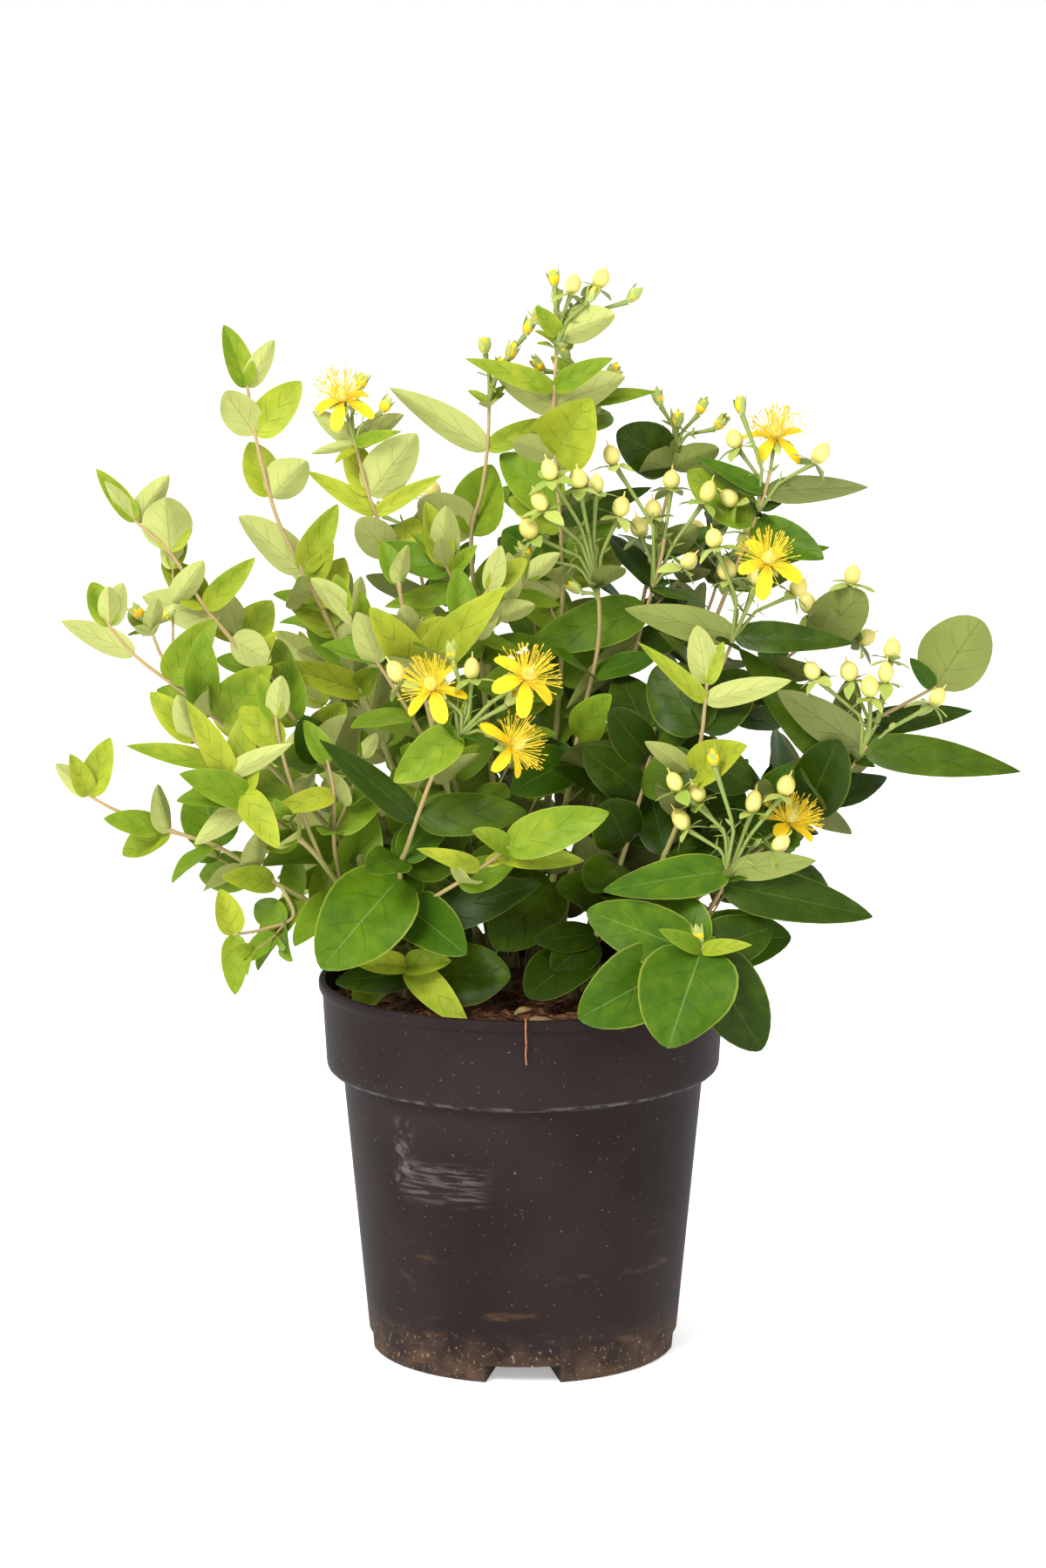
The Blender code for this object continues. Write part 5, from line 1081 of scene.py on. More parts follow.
def grow_sprig(grown, space, line, distance, turn, length, size, width, tone, rng):
    """A short twig out of a leaf axil, with crossed pairs of small leaves. tone is how young
    its leaves look."""
    probe = place_leaf(line, distance, turn, rng.uniform(*SPRIG_ANGLE), length, 0.2, 0)
    end = probe.root + probe.out * length + UP * length * SPRIG_RISE
    twig = Line(smooth([probe.root, probe.root + probe.out * length * 0.5, end]))
    free = limb_solid(twig, lambda at: SPRIG_RADIUS, 5.0, twig.length, 8.0, 4, 1.0, 0.2)
    if not (space.clear(free, grown.name) and space.clear(free, grown.name, own=True)):
        return None
    leaves = []
    pairs = max(2, round(length / SPRIG_PAIR_STEP))
    for i in range(pairs):
        at = twig.length * (SPRIG_BARE + (1 - SPRIG_BARE) * i / (pairs - 1))
        last = i == pairs - 1
        for half in (0, 180):
            turn = 45 + 90 * i + half + rng.uniform(-PAIR_TURN, PAIR_TURN)
            leaf = try_leaf(grown, space, twig, at - SPRIG_INSET, turn,
                            SPRIG_END_ANGLE if last else rng.uniform(*SPRIG_OPEN),
                            size * (SPRIG_END_SIZE if last else 1.0) * rng.uniform(*SPRIG_SIZES),
                            width * rng.uniform(*SPRIG_WIDTHS), rng.uniform(-ROLL, ROLL), SMALL_WAY)
            if leaf:
                leaves.append((leaf, grown.shoots[0][0].tint, tone))
    if not leaves:
        return None
    space.add(grown.name, free)
    return twig, leaves


def grow_inner(extra, grown, space, rng):
    """Old leaves and short leafy twigs on the bare foot of a stem, inside the plant."""
    shoot, line, lead, _ = grown.shoots[0]
    count = int((lead * (1 - INNER_START)) / INNER_STEP)
    for i in range(count):
        distance = lead - INNER_FIRST - INNER_STEP * (i + 0.4)
        for half in (0, 180):
            turn = shoot.turn + 90 * i + half + rng.uniform(-INNER_TURN, INNER_TURN)
            if rng.random() < INNER_SHOOT_CHANCE:
                extra.keep(grow_sprig(
                    grown, space, line, distance, turn + INNER_TURN, rng.uniform(*INNER_SHOOT),
                    rng.uniform(*INNER_LEAF), rng.uniform(*INNER_LEAF_WIDTH), 0.1, rng))
            if rng.random() < INNER_CHANCE:
                leaf = try_leaf(grown, space, line, distance, turn, rng.uniform(*INNER_OPEN),
                                shoot.leaf[0] * rng.uniform(*INNER_SIZE),
                                rng.uniform(*INNER_WIDTH), rng.uniform(-ROLL, ROLL), SMALL_WAY)
                if leaf:
                    extra.leaves.append((leaf, shoot.tint, 0.0))


def grow_axils(extra, grown, space, rng):
    """Side sprigs at the leaf pairs, fewer towards the tips, and bracts under the heads."""
    for shoot, line, start, _ in grown.shoots:
        chance, top, lengths, sizes = SPRIGS if shoot.placed else FREE_SPRIGS
        for i, (distance, share) in enumerate(pair_marks(shoot, line, start)):
            for half in (0, 180):
                turn = shoot.turn + 90 * i + half + rng.uniform(-SPRIG_TURN, SPRIG_TURN)
                if rng.random() < chance * (1 - share / top):
                    extra.keep(grow_sprig(
                        grown, space, line, distance, turn,
                        rng.uniform(*lengths) * (1 - SPRIG_SHORTER * share),
                        rng.uniform(*sizes), rng.uniform(*SPRIG_WIDTH),
                        min(1.0, share + SPRIG_YOUTH), rng))
        if shoot.head or any(shoot.cluster):
            for i in range(BRACTS_UNDER_HEAD):
                at = line.length * shoot.end - 1.0 - BRACT_STEP * (i // 2)
                turn = 60 * i + rng.uniform(-BRACT_TURN, BRACT_TURN)
                leaf = try_leaf(grown, space, line, at, turn,
                                rng.uniform(*BRACT_OPEN), rng.uniform(*BRACT_LEAF),
                                rng.uniform(*BRACT_WIDTH), rng.uniform(-ROLL, ROLL), SMALL_WAY)
                if leaf:
                    extra.leaves.append((leaf, shoot.tint, 0.9))


def grow_extra(grown, space):
    """All that a stem carries beyond its solid."""
    extra = Extra([], [])
    grow_axils(extra, grown, space, random.Random(grown.name + " sprig"))
    if grown.lead > INNER_STEP * 2:
        grow_inner(extra, grown, space, random.Random(grown.name + " inner"))
    return extra


# Solids on grids

def unit(vectors):
    """Vectors made one long."""
    return vectors / np.maximum(np.linalg.norm(vectors, axis=-1, keepdims=True), 1e-12)


def square_part(vectors, axis):
    """The part of vectors that stands square to an axis, made one long."""
    return unit(vectors - axis * (vectors * axis).sum(axis=-1, keepdims=True))


def round_angles(count):
    """Even angles round a circle."""
    return np.linspace(0, 2 * np.pi, count, endpoint=False)


def square_to(axis, lead=None):
    """Two directions square to each axis and to each other. The first keeps to the world axis
    from which lead, or the axis itself, leans away most."""
    level = np.eye(3)[np.abs(axis if lead is None else lead).argmin(axis=-1)]
    side = square_part(level, axis)
    return side, np.cross(axis, side)


def spokes(axis, sides, lead=None):
    """Directions all round each axis, square to it."""
    side, other = square_to(axis, lead)
    angle = round_angles(sides)[:, None]
    return side[:, :, None] * np.cos(angle) + other[:, :, None] * np.sin(angle)


def fanned(first, middle, last):
    """The values at the corners of the first fan, the quads and the last fan, in a row."""
    return np.concatenate([np.stack(first, axis=-1).ravel(), middle.ravel(),
                           np.stack(last, axis=-1).ravel()])


def link(name, data):
    """A new object in the scene."""
    made = bpy.data.objects.new(name, data)
    bpy.context.scene.collection.objects.link(made)
    return made


class Skin:
    """Solids collected into one mesh. Each is a grid: rows of points that run round it, where
    the first row and the last are drawn to one point each."""

    def __init__(self):
        self.points, self.corners, self.sizes, self.maps, self.tones = [], [], [], [], []
        self.count = 0

    def add(self, grid, tone=0.0, sides=None, swap=0):
        """Adds solids, a grid of solids x rows x columns x 3 in millimetres. sides gives the U
        of each column of faces at its two sides; V runs evenly along the rows. The first swap
        columns are cut along their other diagonal, so that both sides of a thin blade match."""
        solids, rows, cols = grid.shape[:3]
        if solids == 0:
            return
        inner = rows - 2
        here = 1 + np.arange(inner)[:, None] * cols + np.arange(cols)
        after = np.roll(here, -1, axis=1)
        end = np.full(cols, 1 + inner * cols)
        left, right = sides or (np.arange(cols) / cols, (np.arange(cols) + 1) / cols)
        even = np.zeros(cols)
        along = np.linspace(0, 1, rows)[:, None] + even
        quads = np.stack([here[:-1], after[:-1], after[1:], here[1:]], axis=-1)
        quad_u = np.broadcast_to(np.stack([left, right, right, left], axis=-1),
                                 quads.shape).copy()
        quad_v = np.stack([along[1:-2], along[1:-2], along[2:-1], along[2:-1]], axis=-1)
        for values in (quads, quad_u, quad_v):
            values[:, :swap] = np.roll(values[:, :swap], -1, axis=-1)

        pattern = fanned([0 * end, after[0], here[0]], quads, [here[-1], after[-1], end])
        u = fanned([(left + right) / 2, right, left], quad_u, [left, right, (left + right) / 2])
        v = fanned([along[0], along[1], along[1]], quad_v, [along[-2], along[-2], along[-1]])
        points = np.concatenate([grid[:, 0, :1], grid[:, 1:-1].reshape(solids, -1, 3),
                                 grid[:, -1, :1]], axis=1)
        tone = np.asarray(tone, float)
        tones = np.broadcast_to(tone.reshape(tone.shape + (1,) * (3 - tone.ndim)),
                                (solids, rows, cols))
        tones = np.concatenate([tones[:, 0, :1], tones[:, 1:-1].reshape(solids, -1),
                                tones[:, -1, :1]], axis=1)
        each = points.shape[1]
        starts = self.count + each * np.arange(solids)
        self.points.append(points.reshape(-1, 3))
        self.corners.append((pattern + starts[:, None]).ravel())
        self.sizes.append(np.tile(np.r_[np.full(cols, 3), np.full(cols * (inner - 1), 4),
                                        np.full(cols, 3)], solids))
        self.maps.append(np.tile(np.stack([u, v], axis=-1).ravel(), solids))
        self.tones.append(tones.ravel())
        self.count += each * solids

    def build(self, name, look, nodes, sharp=50):
        """The collected mesh as a piece that stands for CAD nodes."""
        points = np.concatenate(self.points) * MM
        corners, sizes = np.concatenate(self.corners), np.concatenate(self.sizes)
        mesh = bpy.data.meshes.new(name)
        mesh.vertices.add(len(points))
        mesh.vertices.foreach_set("co", points.ravel())
        mesh.loops.add(len(corners))
        mesh.loops.foreach_set("vertex_index", corners.astype(np.int32))
        mesh.polygons.add(len(sizes))
        mesh.polygons.foreach_set("loop_start", np.r_[0, np.cumsum(sizes)[:-1]].astype(np.int32))
        mesh.polygons.foreach_set("loop_total", sizes.astype(np.int32))
        mesh.update(calc_edges=True)
        mesh.uv_layers.new(name="skin").data.foreach_set("uv", np.concatenate(self.maps))
        tone = mesh.attributes.new("tone", "FLOAT", "POINT")
        tone.data.foreach_set("value", np.concatenate(self.tones))
        mesh.shade_smooth()
        mesh.set_sharp_from_angle(angle=math.radians(sharp))
        mesh.materials.append(look)
        piece = link(name, mesh)
        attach(piece, "root")
        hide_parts(*nodes)
        return piece


def blades(leaves, rows, across, base, tip, thick):
    """Leaves, petals or sepals as closed blades. With t from root to tip and s from edge to
    edge, the half width is t**base * (1-t)**tip, scaled to the leaf's width. A point lies at
    root + out*t + side*s*half, raised by the fold (|s|), lowered by the recurve (s**4), waved
    along the edge by a sine, and let down by the droop (t squared). leaves holds one row each:
    root, out, face, then length, width, droop, fold, recurve, wave, phase, twist."""
    root, out, face = leaves[:, 0:3], leaves[:, 3:6], leaves[:, 6:9]
    length, width, droop, fold, recurve, wave, phase, twist = leaves[:, 9:17].T[..., None]
    t = (1 - np.cos(np.linspace(0, np.pi, rows))) / 2
    half = half_width(t, base, tip) * width * length / 2
    lower = np.linspace(1, -1, across)
    s = np.r_[lower, lower[-2:0:-1]]
    under = np.r_[np.ones(across), -np.ones(across - 2)]
    body = thick / 2 * (1 - s ** 2) * np.minimum(1, half[..., None] * 2)
    turn = (twist * (t - TWIST_START))[..., None]
    side = np.cross(out, face)[:, None]
    face = face[:, None]
    sideways = side * np.cos(turn) + face * np.sin(turn)
    upward = face * np.cos(turn) - side * np.sin(turn)
    ripple = wave * np.sin(2 * np.pi * (BLADE_WAVES * t + phase))
    raised = fold[..., None] * np.abs(s) ** BLADE_FOLD_POWER - recurve[..., None] * s ** 4
    lift = half[..., None] * (raised + ripple[..., None] * s * np.abs(s)) - under * body
    fallen = out[:, None] * t[:, None] - face * (droop * t ** 2)[..., None]
    middle = root[:, None] + fallen * length[..., None]
    return (middle[:, :, None] + sideways[:, :, None] * (half[..., None] * s)[..., None]
            + upward[:, :, None] * lift[..., None])


def add_blades(skin, rows, tone, along, across, base, tip, thick=0.35):
    """Adds blades to a skin. U runs from 0 to 1 on the upper side and from 2 to 3 on the
    lower, and V from the root to the tip."""
    lower, upper = np.linspace(1, 0, across) + 2, np.linspace(0, 1, across)
    sides = (np.r_[lower[:-1], upper[:-1]], np.r_[lower[1:], upper[1:]])
    skin.add(blades(rows, along, across, base, tip, thick), tone, sides, across - 1)


def tubes(paths, radii, sides):
    """Round limbs: circles of the given radii round each point of each path, square to it."""
    along = unit(np.gradient(paths, axis=1))
    if np.ndim(radii) < 3:
        radii = np.broadcast_to(radii, paths.shape[:2])[..., None]
    around = spokes(along, sides, along.mean(axis=1, keepdims=True))
    rings = paths[:, :, None] + around * radii[..., None]
    ends = np.broadcast_to(paths[:, :, None], rings.shape)
    return np.concatenate([ends[:, :1], rings, ends[:, -1:]], axis=1)


def turned(foot, axis, radii, heights, sides):
    """Solids turned round an axis from a row of radii and heights each."""
    axis = unit(axis)[:, None]
    paths = foot[:, None] + axis * heights[..., None]
    return paths[:, :, None] + spokes(axis, sides) * radii[..., None, None]


def lumps(x, y, size, seed, waves=40):
    """Smooth unevenness of about -1 to 1: many cosine waves of random directions, each about
    size millimetres long."""
    rng = np.random.default_rng(seed)
    angle, phase = rng.uniform(0, np.pi, waves), rng.uniform(0, 2 * np.pi, waves)
    pace = 2 * np.pi / size * rng.uniform(0.6, 1.6, waves)
    total = np.cos(x[..., None] * pace * np.cos(angle) + y[..., None] * pace * np.sin(angle)
                   + phase).sum(axis=-1)
    return total / math.sqrt(waves)


# Pieces of the plant

def leaf_rows(entries, rng):
    """One row of numbers for each leaf, as blades takes them, and its tone."""
    rows, tones = [], []
    for leaf, tint, share in entries:
        fold = rng.uniform(*FOLDS[tint])
        recurve = rng.uniform(*RECURVE)
        wave = rng.uniform(0.2, 1.0) * WAVES[tint]
        rows.append([*leaf.root, *leaf.out, *leaf.face, leaf.length, leaf.width, leaf.droop, fold,
                     recurve, wave, rng.random(), rng.uniform(-LEAF_TWIST, LEAF_TWIST)])
        tones.append(min(1.0, max(0.0, share * YOUTH[tint] + rng.uniform(*TONE_SPREAD))))
    return np.array(rows), np.array(tones)


def build_leaves(grown, extras, looks):
    """All leaves, one piece for each tint of foliage. Narrow leaves end in finer points."""
    for tint, look in looks.items():
        entries, nodes = [], []
        for each, extra in zip(grown, extras):
            found = [leaf for leaf in each.leaves + extra.leaves if leaf[1] == tint]
            entries += found
            if found:
                nodes.append(each.name + "_mass")
        rows, tones = leaf_rows(entries, random.Random(tint))
        width = rows[:, 10:11]
        tips = np.clip(BLUNTNESS[0] - BLUNTNESS[1] * width, BLUNTEST[tint], SHARPEST)
        skin = Skin()
        add_blades(skin, rows, tones, *LEAF_GRID, BROAD_BASE, tips)
        skin.build("leaves_" + tint, look, nodes, LEAF_CREASE)


def path_of(line, count):
    """Evenly spaced points of a line, as an array."""
    return np.array([line.at(line.length * i / (count - 1)) for i in range(count)])


def build_stems(grown, look):
    """The stems from their flared feet to their tips, ribbed like bark low down and swollen a
    little where each pair of leaves stands."""
    skin = Skin()
    count, sides = STEM_GRID
    rng = np.random.default_rng(7)
    angle = round_angles(sides)
    for each in grown:
        shoot, line, start, radius = each.shoots[0]
        marks = np.linspace(0, line.length, count)
        radii = np.array([radius(mark) for mark in marks]) * STEM_SLIMNESS
        for node, _ in pair_marks(shoot, line, start):
            radii = radii + NODE_SWELL * np.exp(-((marks - node) / NODE_LENGTH) ** 2)
        bark = np.clip(1.2 - marks / BARK_HEIGHT, 0.15, 1.0)
        phase = rng.uniform(0, 2 * np.pi, 3)
        ribs = (np.sin(3 * angle + phase[0] + marks[:, None] * 0.05)
                + 0.7 * np.sin(5 * angle + phase[1] - marks[:, None] * 0.09)
                + 0.6 * np.sin(2 * angle + marks[:, None] * 0.33 + phase[2]))
        relief = 1 + BARK_RELIEF * ribs * bark[:, None]
        tone = np.r_[0, marks / line.length, 1]
        skin.add(tubes(path_of(line, count)[None], (radii[:, None] * relief)[None], sides),
                 tone[None, :])
    skin.build("stems", look, [each.name + "_stem" for each in grown], LIMB_CREASE)


def build_twigs(grown, extras, look):
    """Side shoots, sprigs and the stalks of the heads."""
    skin = Skin()
    sides, sprigs, stalks = [], [], []
    for each, extra in zip(grown, extras):
        sides += [path_of(line, SIDE_STEPS) for _, line, _, _ in each.shoots[1:]]
        sprigs += [path_of(line, SPRIG_STEPS) for line in extra.sprigs]
        stalks += [path_of(ray[1], len(STALK_RADII)) for ray in each.rays]
    skin.add(tubes(np.array(sides), np.linspace(*SIDE_ENDS, SIDE_STEPS), 8),
             np.linspace(0.45, 1, SIDE_STEPS + 2)[None, :])
    skin.add(tubes(np.array(sprigs), np.linspace(*SPRIG_ENDS, SPRIG_STEPS), 6), SPRIG_TONE)
    skin.add(tubes(np.array(stalks), np.array(STALK_RADII), 7), STALK_TONE)
    skin.build("twigs", look, [each.name + "_mass" for each in grown], LIMB_CREASE)


def rays_of(grown, kind):
    """The foot, axis and turn of each berry, bud or flower, as arrays."""
    found = [ray[1:] for each in grown for ray in each.rays if ray[0] == kind]
    return (np.array([tuple(line.points[-1]) for line, _, _ in found]),
            unit(np.array([tuple(axis) for _, axis, _ in found])),
            np.array([turn for _, _, turn in found]))


def around(axis, angle):
    """Directions square to each axis, at angles round it."""
    side, other = square_to(axis)
    return side * np.cos(angle)[:, None] + other * np.sin(angle)[:, None]


def whorl(foot, axis, turn, rng, count, lift, length, width, droop, fold, spread, offset):
    """Rows for blades that stand in a ring round each axis. lift is how far they lean up, and
    spread how far that varies."""
    rows = []
    n = len(foot)
    for i in range(count):
        angle = turn + 2 * np.pi * i / count + rng.uniform(-0.14, 0.14, n)
        outward = around(axis, angle)
        tilt = lift + rng.uniform(-1, 1, n)[:, None] * spread
        out = unit(outward * np.cos(tilt) + axis * np.sin(tilt))
        face = unit(axis * np.cos(tilt) - outward * np.sin(tilt))
        rest = np.stack([length * rng.uniform(0.82, 1.12, n), width * rng.uniform(0.85, 1.1, n),
                         droop * rng.uniform(0.5, 1.4, n), fold * rng.uniform(0.6, 1.3, n),
                         rng.uniform(0.0, 0.15, n), rng.uniform(0.0, 0.12, n), rng.random(n),
                         rng.uniform(-0.25, 0.25, n)], axis=-1)
        rows.append(np.concatenate([foot + outward * offset, out, face, rest], axis=1))
    return np.concatenate(rows)


def head_nodes(grown, *kinds):
    """The masses that carry any of these kinds."""
    return [each.name + "_mass" for each in grown if any(ray[0] in kinds for ray in each.rays)]


def build_berries(grown, look, rng):
    """Egg-shaped berries that end in three styles grown into one beak."""
    foot, axis, _ = rays_of(grown, BERRY)
    n = len(foot)
    radius, height = rng.uniform(*BERRY_RADIUS, n), rng.uniform(*BERRY_HEIGHT, n)
    t = (1 - np.cos(np.linspace(0, np.pi, BERRY_GRID[0]))) / 2
    body = 2 * np.sqrt(t * (1 - t)) * (1.06 - 0.12 * t)
    wide = np.r_[body[:-1], [0.13, 0.09, 0.07, 0.0]]
    tall = np.r_[t[:-1], [1.0, 1.10, 1.26, 1.27]]
    grid = turned(foot, axis, radius[:, None] * wide, height[:, None] * tall, BERRY_GRID[1])
    skin = Skin()
    tone = np.clip(tall, 0, 1.3)[None, :] * 0.5 + rng.uniform(0, 0.4, n)[:, None]
    skin.add(grid, tone)
    skin.build("berries", look, head_nodes(grown, BERRY), FRUIT_CREASE)


def build_sepals(grown, look, rng):
    """Open sepals under the berries and flowers, closed ones round the buds, and a pair of
    tiny leaves half way up each longer stalk."""
    skin = Skin()

    def add(rows):
        """Adds a ring of sepals or bracts to each head or stalk."""
        add_blades(skin, rows, rng.uniform(0, 1, len(rows)), *SEPAL_SHAPE)

    add(whorl(*rays_of(grown, BERRY), rng, *SEPALS))
    add(whorl(*rays_of(grown, BUD), rng, *BUD_SEPALS))
    foot, axis, turn = rays_of(grown, FLOWER)
    add(whorl(foot - axis * 0.8, axis, turn + 0.6, rng, *FLOWER_SEPALS))
    add(bract_rows(grown, rng))
    skin.build("sepals", look, head_nodes(grown, BERRY, BUD, FLOWER),
               LEAF_CREASE)


def bract_rows(grown, rng):
    """A pair of tiny leaves half way up each longer stalk."""
    found = [ray[1] for each in grown for ray in each.rays if ray[1].length > BRACT_STALK]
    foot = np.array([tuple(ray.at(ray.length * BRACT_PLACE)) for ray in found])
    axis = np.array([tuple(ray.along(ray.length * BRACT_PLACE)) for ray in found])
    turn = rng.uniform(0, 6.28, len(found))
    return whorl(foot, axis, turn, rng, *STALK_BRACTS)


def build_petals(grown, look, rng):
    """Five reflexed petals on each flower, and the yellow eggs inside the buds."""
    foot, axis, turn = rays_of(grown, FLOWER)
    skin = Skin()
    rows = whorl(foot + axis * 0.6, axis, turn, rng, *OPEN_PETALS)
    add_blades(skin, rows, rng.uniform(0.2, 0.8, len(rows)), *PETAL_SHAPE)
    foot, axis, _ = rays_of(grown, BUD)
    n = len(foot)
    t = np.linspace(0, 1, 9)
    wide = np.sin(np.pi * t ** 0.85) ** 0.7
    height = rng.uniform(*BUD_HEIGHT, n)
    grid = turned(foot, axis, rng.uniform(*BUD_RADIUS, n)[:, None] * wide, height[:, None] * t, 8)
    skin.add(grid, rng.uniform(0, 1, n))
    skin.build("petals", look, head_nodes(grown, FLOWER, BUD), LEAF_CREASE)


def build_stamens(grown, look, rng):
    """A pale ovary in each flower and a brush of fine stamens tipped with anthers."""
    skin = Skin()
    foot, axis, _ = rays_of(grown, FLOWER)
    n = len(foot)
    spin = rng.uniform(0, 2 * np.pi, (n, STAMENS)).ravel()
    lean = np.radians(rng.uniform(*STAMEN_TILT, (n, STAMENS))).reshape(-1, 1)
    reach = rng.uniform(*STAMEN_LENGTH, (n, STAMENS)).reshape(-1, 1)
    middle = np.repeat(axis, STAMENS, axis=0)
    outward = around(middle, spin)
    start = np.repeat(foot + axis * 1.2, STAMENS, axis=0) + outward * 1.7
    first = unit(outward * np.sin(lean) + middle * np.cos(lean))
    bend = unit(first + middle * 0.35 - outward * rng.uniform(-0.15, 0.25, (n * STAMENS, 1)))
    t = np.array(STAMEN_MARKS)[:, None, None]
    paths = start + first * reach * t * 0.62 + bend * reach * t ** 2 * 0.38
    tone = np.array([0, 0, 0, 0, 0.2, 1, 1, 1, 1])[None, :]
    skin.add(tubes(paths.transpose(1, 0, 2), np.array(STAMEN_RADII), 4), tone)
    t = np.linspace(0, 1, 9)
    wide = np.r_[np.sin(np.pi * t[:-1] ** 0.9) ** 0.7, [0.14, 0.1, 0.0]]
    tall = np.r_[t[:-1], [1.0, 1.4, 1.42]]
    each = np.ones((n, 1))
    skin.add(turned(foot + axis * 0.8, axis, OVARY_SIZE[0] * wide * each,
                    OVARY_SIZE[1] * tall * each, 10), -0.8)
    skin.build("stamens", look, head_nodes(grown, FLOWER), FRUIT_CREASE)


# Pot and soil

def pot_profile():
    """Radius and height along the pot's skin, from under its middle, up its outside and down
    its inside to the middle of its floor, with each bend rounded."""
    lip = POT_HEIGHT - LIP_DEPTH
    mouth = inner_radius(POT_HEIGHT)
    under = [(0.0, 0.0), (15.0, 0.0), (NOTCH_INNER, 0.0), (NOTCH_INNER, 0.001), (50.0, 0.0),
             (62.0, 0.0), (BASE_RADIUS - 2.2, 0.0), (BASE_RADIUS - 1.0, 0.3),
             (BASE_RADIUS - 0.2, 1.1), (wall_radius(2.2), 2.2)]
    wall = [(wall_radius(z), z) for z in (5, NOTCH_HEIGHT, 9.6, 12, 20, 32, 48, 66, 84, 102, 118,
                                          130, BAND_START - 2.2)]
    step = [(wall_radius(BAND_START) + 0.25, BAND_START - 1.0),
            (wall_radius(BAND_START) + 1.2, BAND_START - 0.35),
            (BAND_FOOT_RADIUS - 3.0, BAND_START - 0.2), (BAND_FOOT_RADIUS - 1.5, BAND_START + 0.3),
            (BAND_FOOT_RADIUS - 0.45, BAND_START + 1.4),
            (band_radius(BAND_START + 3), BAND_START + 3)]
    band = [(band_radius(z), z) for z in (147, 155, 163, 171, lip - 2.0)]
    rim = [(band_radius(lip - 1.2) + 0.15, lip - 1.2), (RIM_RADIUS - 0.5, lip - 0.4),
           (RIM_RADIUS - 0.1, lip + 0.6), (RIM_RADIUS, lip + 2.2), (RIM_RADIUS, POT_HEIGHT - 1.4),
           (RIM_RADIUS - 0.3, POT_HEIGHT - 0.5), (RIM_RADIUS - 1.0, POT_HEIGHT),
           (mouth + 0.9, POT_HEIGHT), (mouth + 0.2, POT_HEIGHT - 0.5)]
    inside = [(inner_radius(z), z) for z in (183, 176, 160, BAND_START + 1.5, BAND_START - 2, 100,
                                             60, FLOOR + 2)]
    floor = [(inner_radius(FLOOR) - 1.5, FLOOR), (40.0, FLOOR), (0.0, FLOOR)]
    return np.array(under + wall + step + band + rim + inside + floor)


def notch_angles(radius):
    """How far round the pot a notch reaches to each side at each radius. It draws together
    inwards, and its sides are found by a few rounds of trial."""
    angle = np.full_like(radius, 0.2)
    for _ in range(4):
        deep = np.clip(radius * np.cos(angle), NOTCH_INNER, NOTCH_OUTER)
        half = NOTCH_BACK_WIDTH / 2 + (NOTCH_WIDTH - NOTCH_BACK_WIDTH) / 2 * (
            deep - NOTCH_INNER) / (NOTCH_OUTER - NOTCH_INNER)
        angle = np.arcsin(half / np.maximum(deep, NOTCH_INNER))
        angle = np.where(radius > BASE_RADIUS, angle[LAST_FLAT_ROW], angle)
    return angle


def build_pot(look):
    """The pot: its profile turned round the axis, with four notches let into its foot. Within
    a notch the skin is lifted to the notch's height, and the columns of the grid gather at the
    notch's two sides."""
    profile = pot_profile()
    radius, height = profile[:, 0][:, None], profile[:, 1][:, None]
    angle = notch_angles(radius)
    sector = 2 * np.pi / NOTCHES
    within = np.linspace(-1, 1, NOTCH_STEPS) * angle
    beyond = angle + np.linspace(0, 1, WALL_STEPS) * (sector - 2 * angle)
    row = np.arange(len(profile))[:, None]
    on_foot = (row > 2) & (row < OUTSIDE_ROWS) & (radius >= NOTCH_INNER - 0.01)
    lifted = on_foot & (height < NOTCH_HEIGHT) & (np.arange(NOTCH_STEPS + WALL_STEPS) < NOTCH_STEPS)
    tall = np.tile(np.where(lifted, NOTCH_HEIGHT, height), (1, NOTCHES))
    notch = np.concatenate([within, beyond], axis=1)
    turns = np.concatenate([notch + sector * i for i in range(NOTCHES)], axis=1) - np.pi / 2
    skin = Skin()
    skin.add(np.stack([radius * np.cos(turns), radius * np.sin(turns), tall], axis=-1)[None])
    pot = skin.build("pot_shell", look, ["pot"], POT_CREASE)
    shape = bmesh.new()
    shape.from_mesh(pot.data)
    bmesh.ops.remove_doubles(shape, verts=shape.verts, dist=POT_MERGE)
    bmesh.ops.dissolve_degenerate(shape, edges=shape.edges, dist=POT_MERGE)
    shape.to_mesh(pot.data)
    shape.free()
    pot.data.set_sharp_from_angle(angle=math.radians(POT_CREASE))


def soil_top(x, y):
    """The height of the crumbly soil over a point: the solid's level with three sizes of lumps."""
    level = soil_height(x, y) - CRUMB_DROP
    for tall, size, seed in CRUMB_LUMPS:
        level = level + tall * lumps(x, y, size, seed)
    return level


def build_soil(look):
    """The soil: a disc of crumbs whose edge turns down inside the pot's wall."""
    edge = inner_radius(SOIL_TOP - SOIL_EDGE_DROP) - GAP
    radii = np.r_[0.0, np.linspace(2, edge, SOIL_GRID[0])][:, None]
    angle = round_angles(SOIL_GRID[1])[None, :]
    x, y = radii * np.cos(angle), radii * np.sin(angle)
    top = np.stack([x, y, soil_top(x, y)], axis=-1)[::-1]
    side = top[:1].copy()
    middle = np.zeros_like(side)
    side[..., 2] = middle[..., 2] = SOIL_BOTTOM
    skin = Skin()
    skin.add(np.concatenate([middle, side, top])[None])
    skin.build("soil_crumbs", look, ["soil"], 180)


def strewn(count, reach, rng):
    """Places spread evenly over a disc."""
    radius, turn = reach * np.sqrt(rng.random(count)), rng.uniform(0, 2 * np.pi, count)
    return radius, radius * np.cos(turn), radius * np.sin(turn)


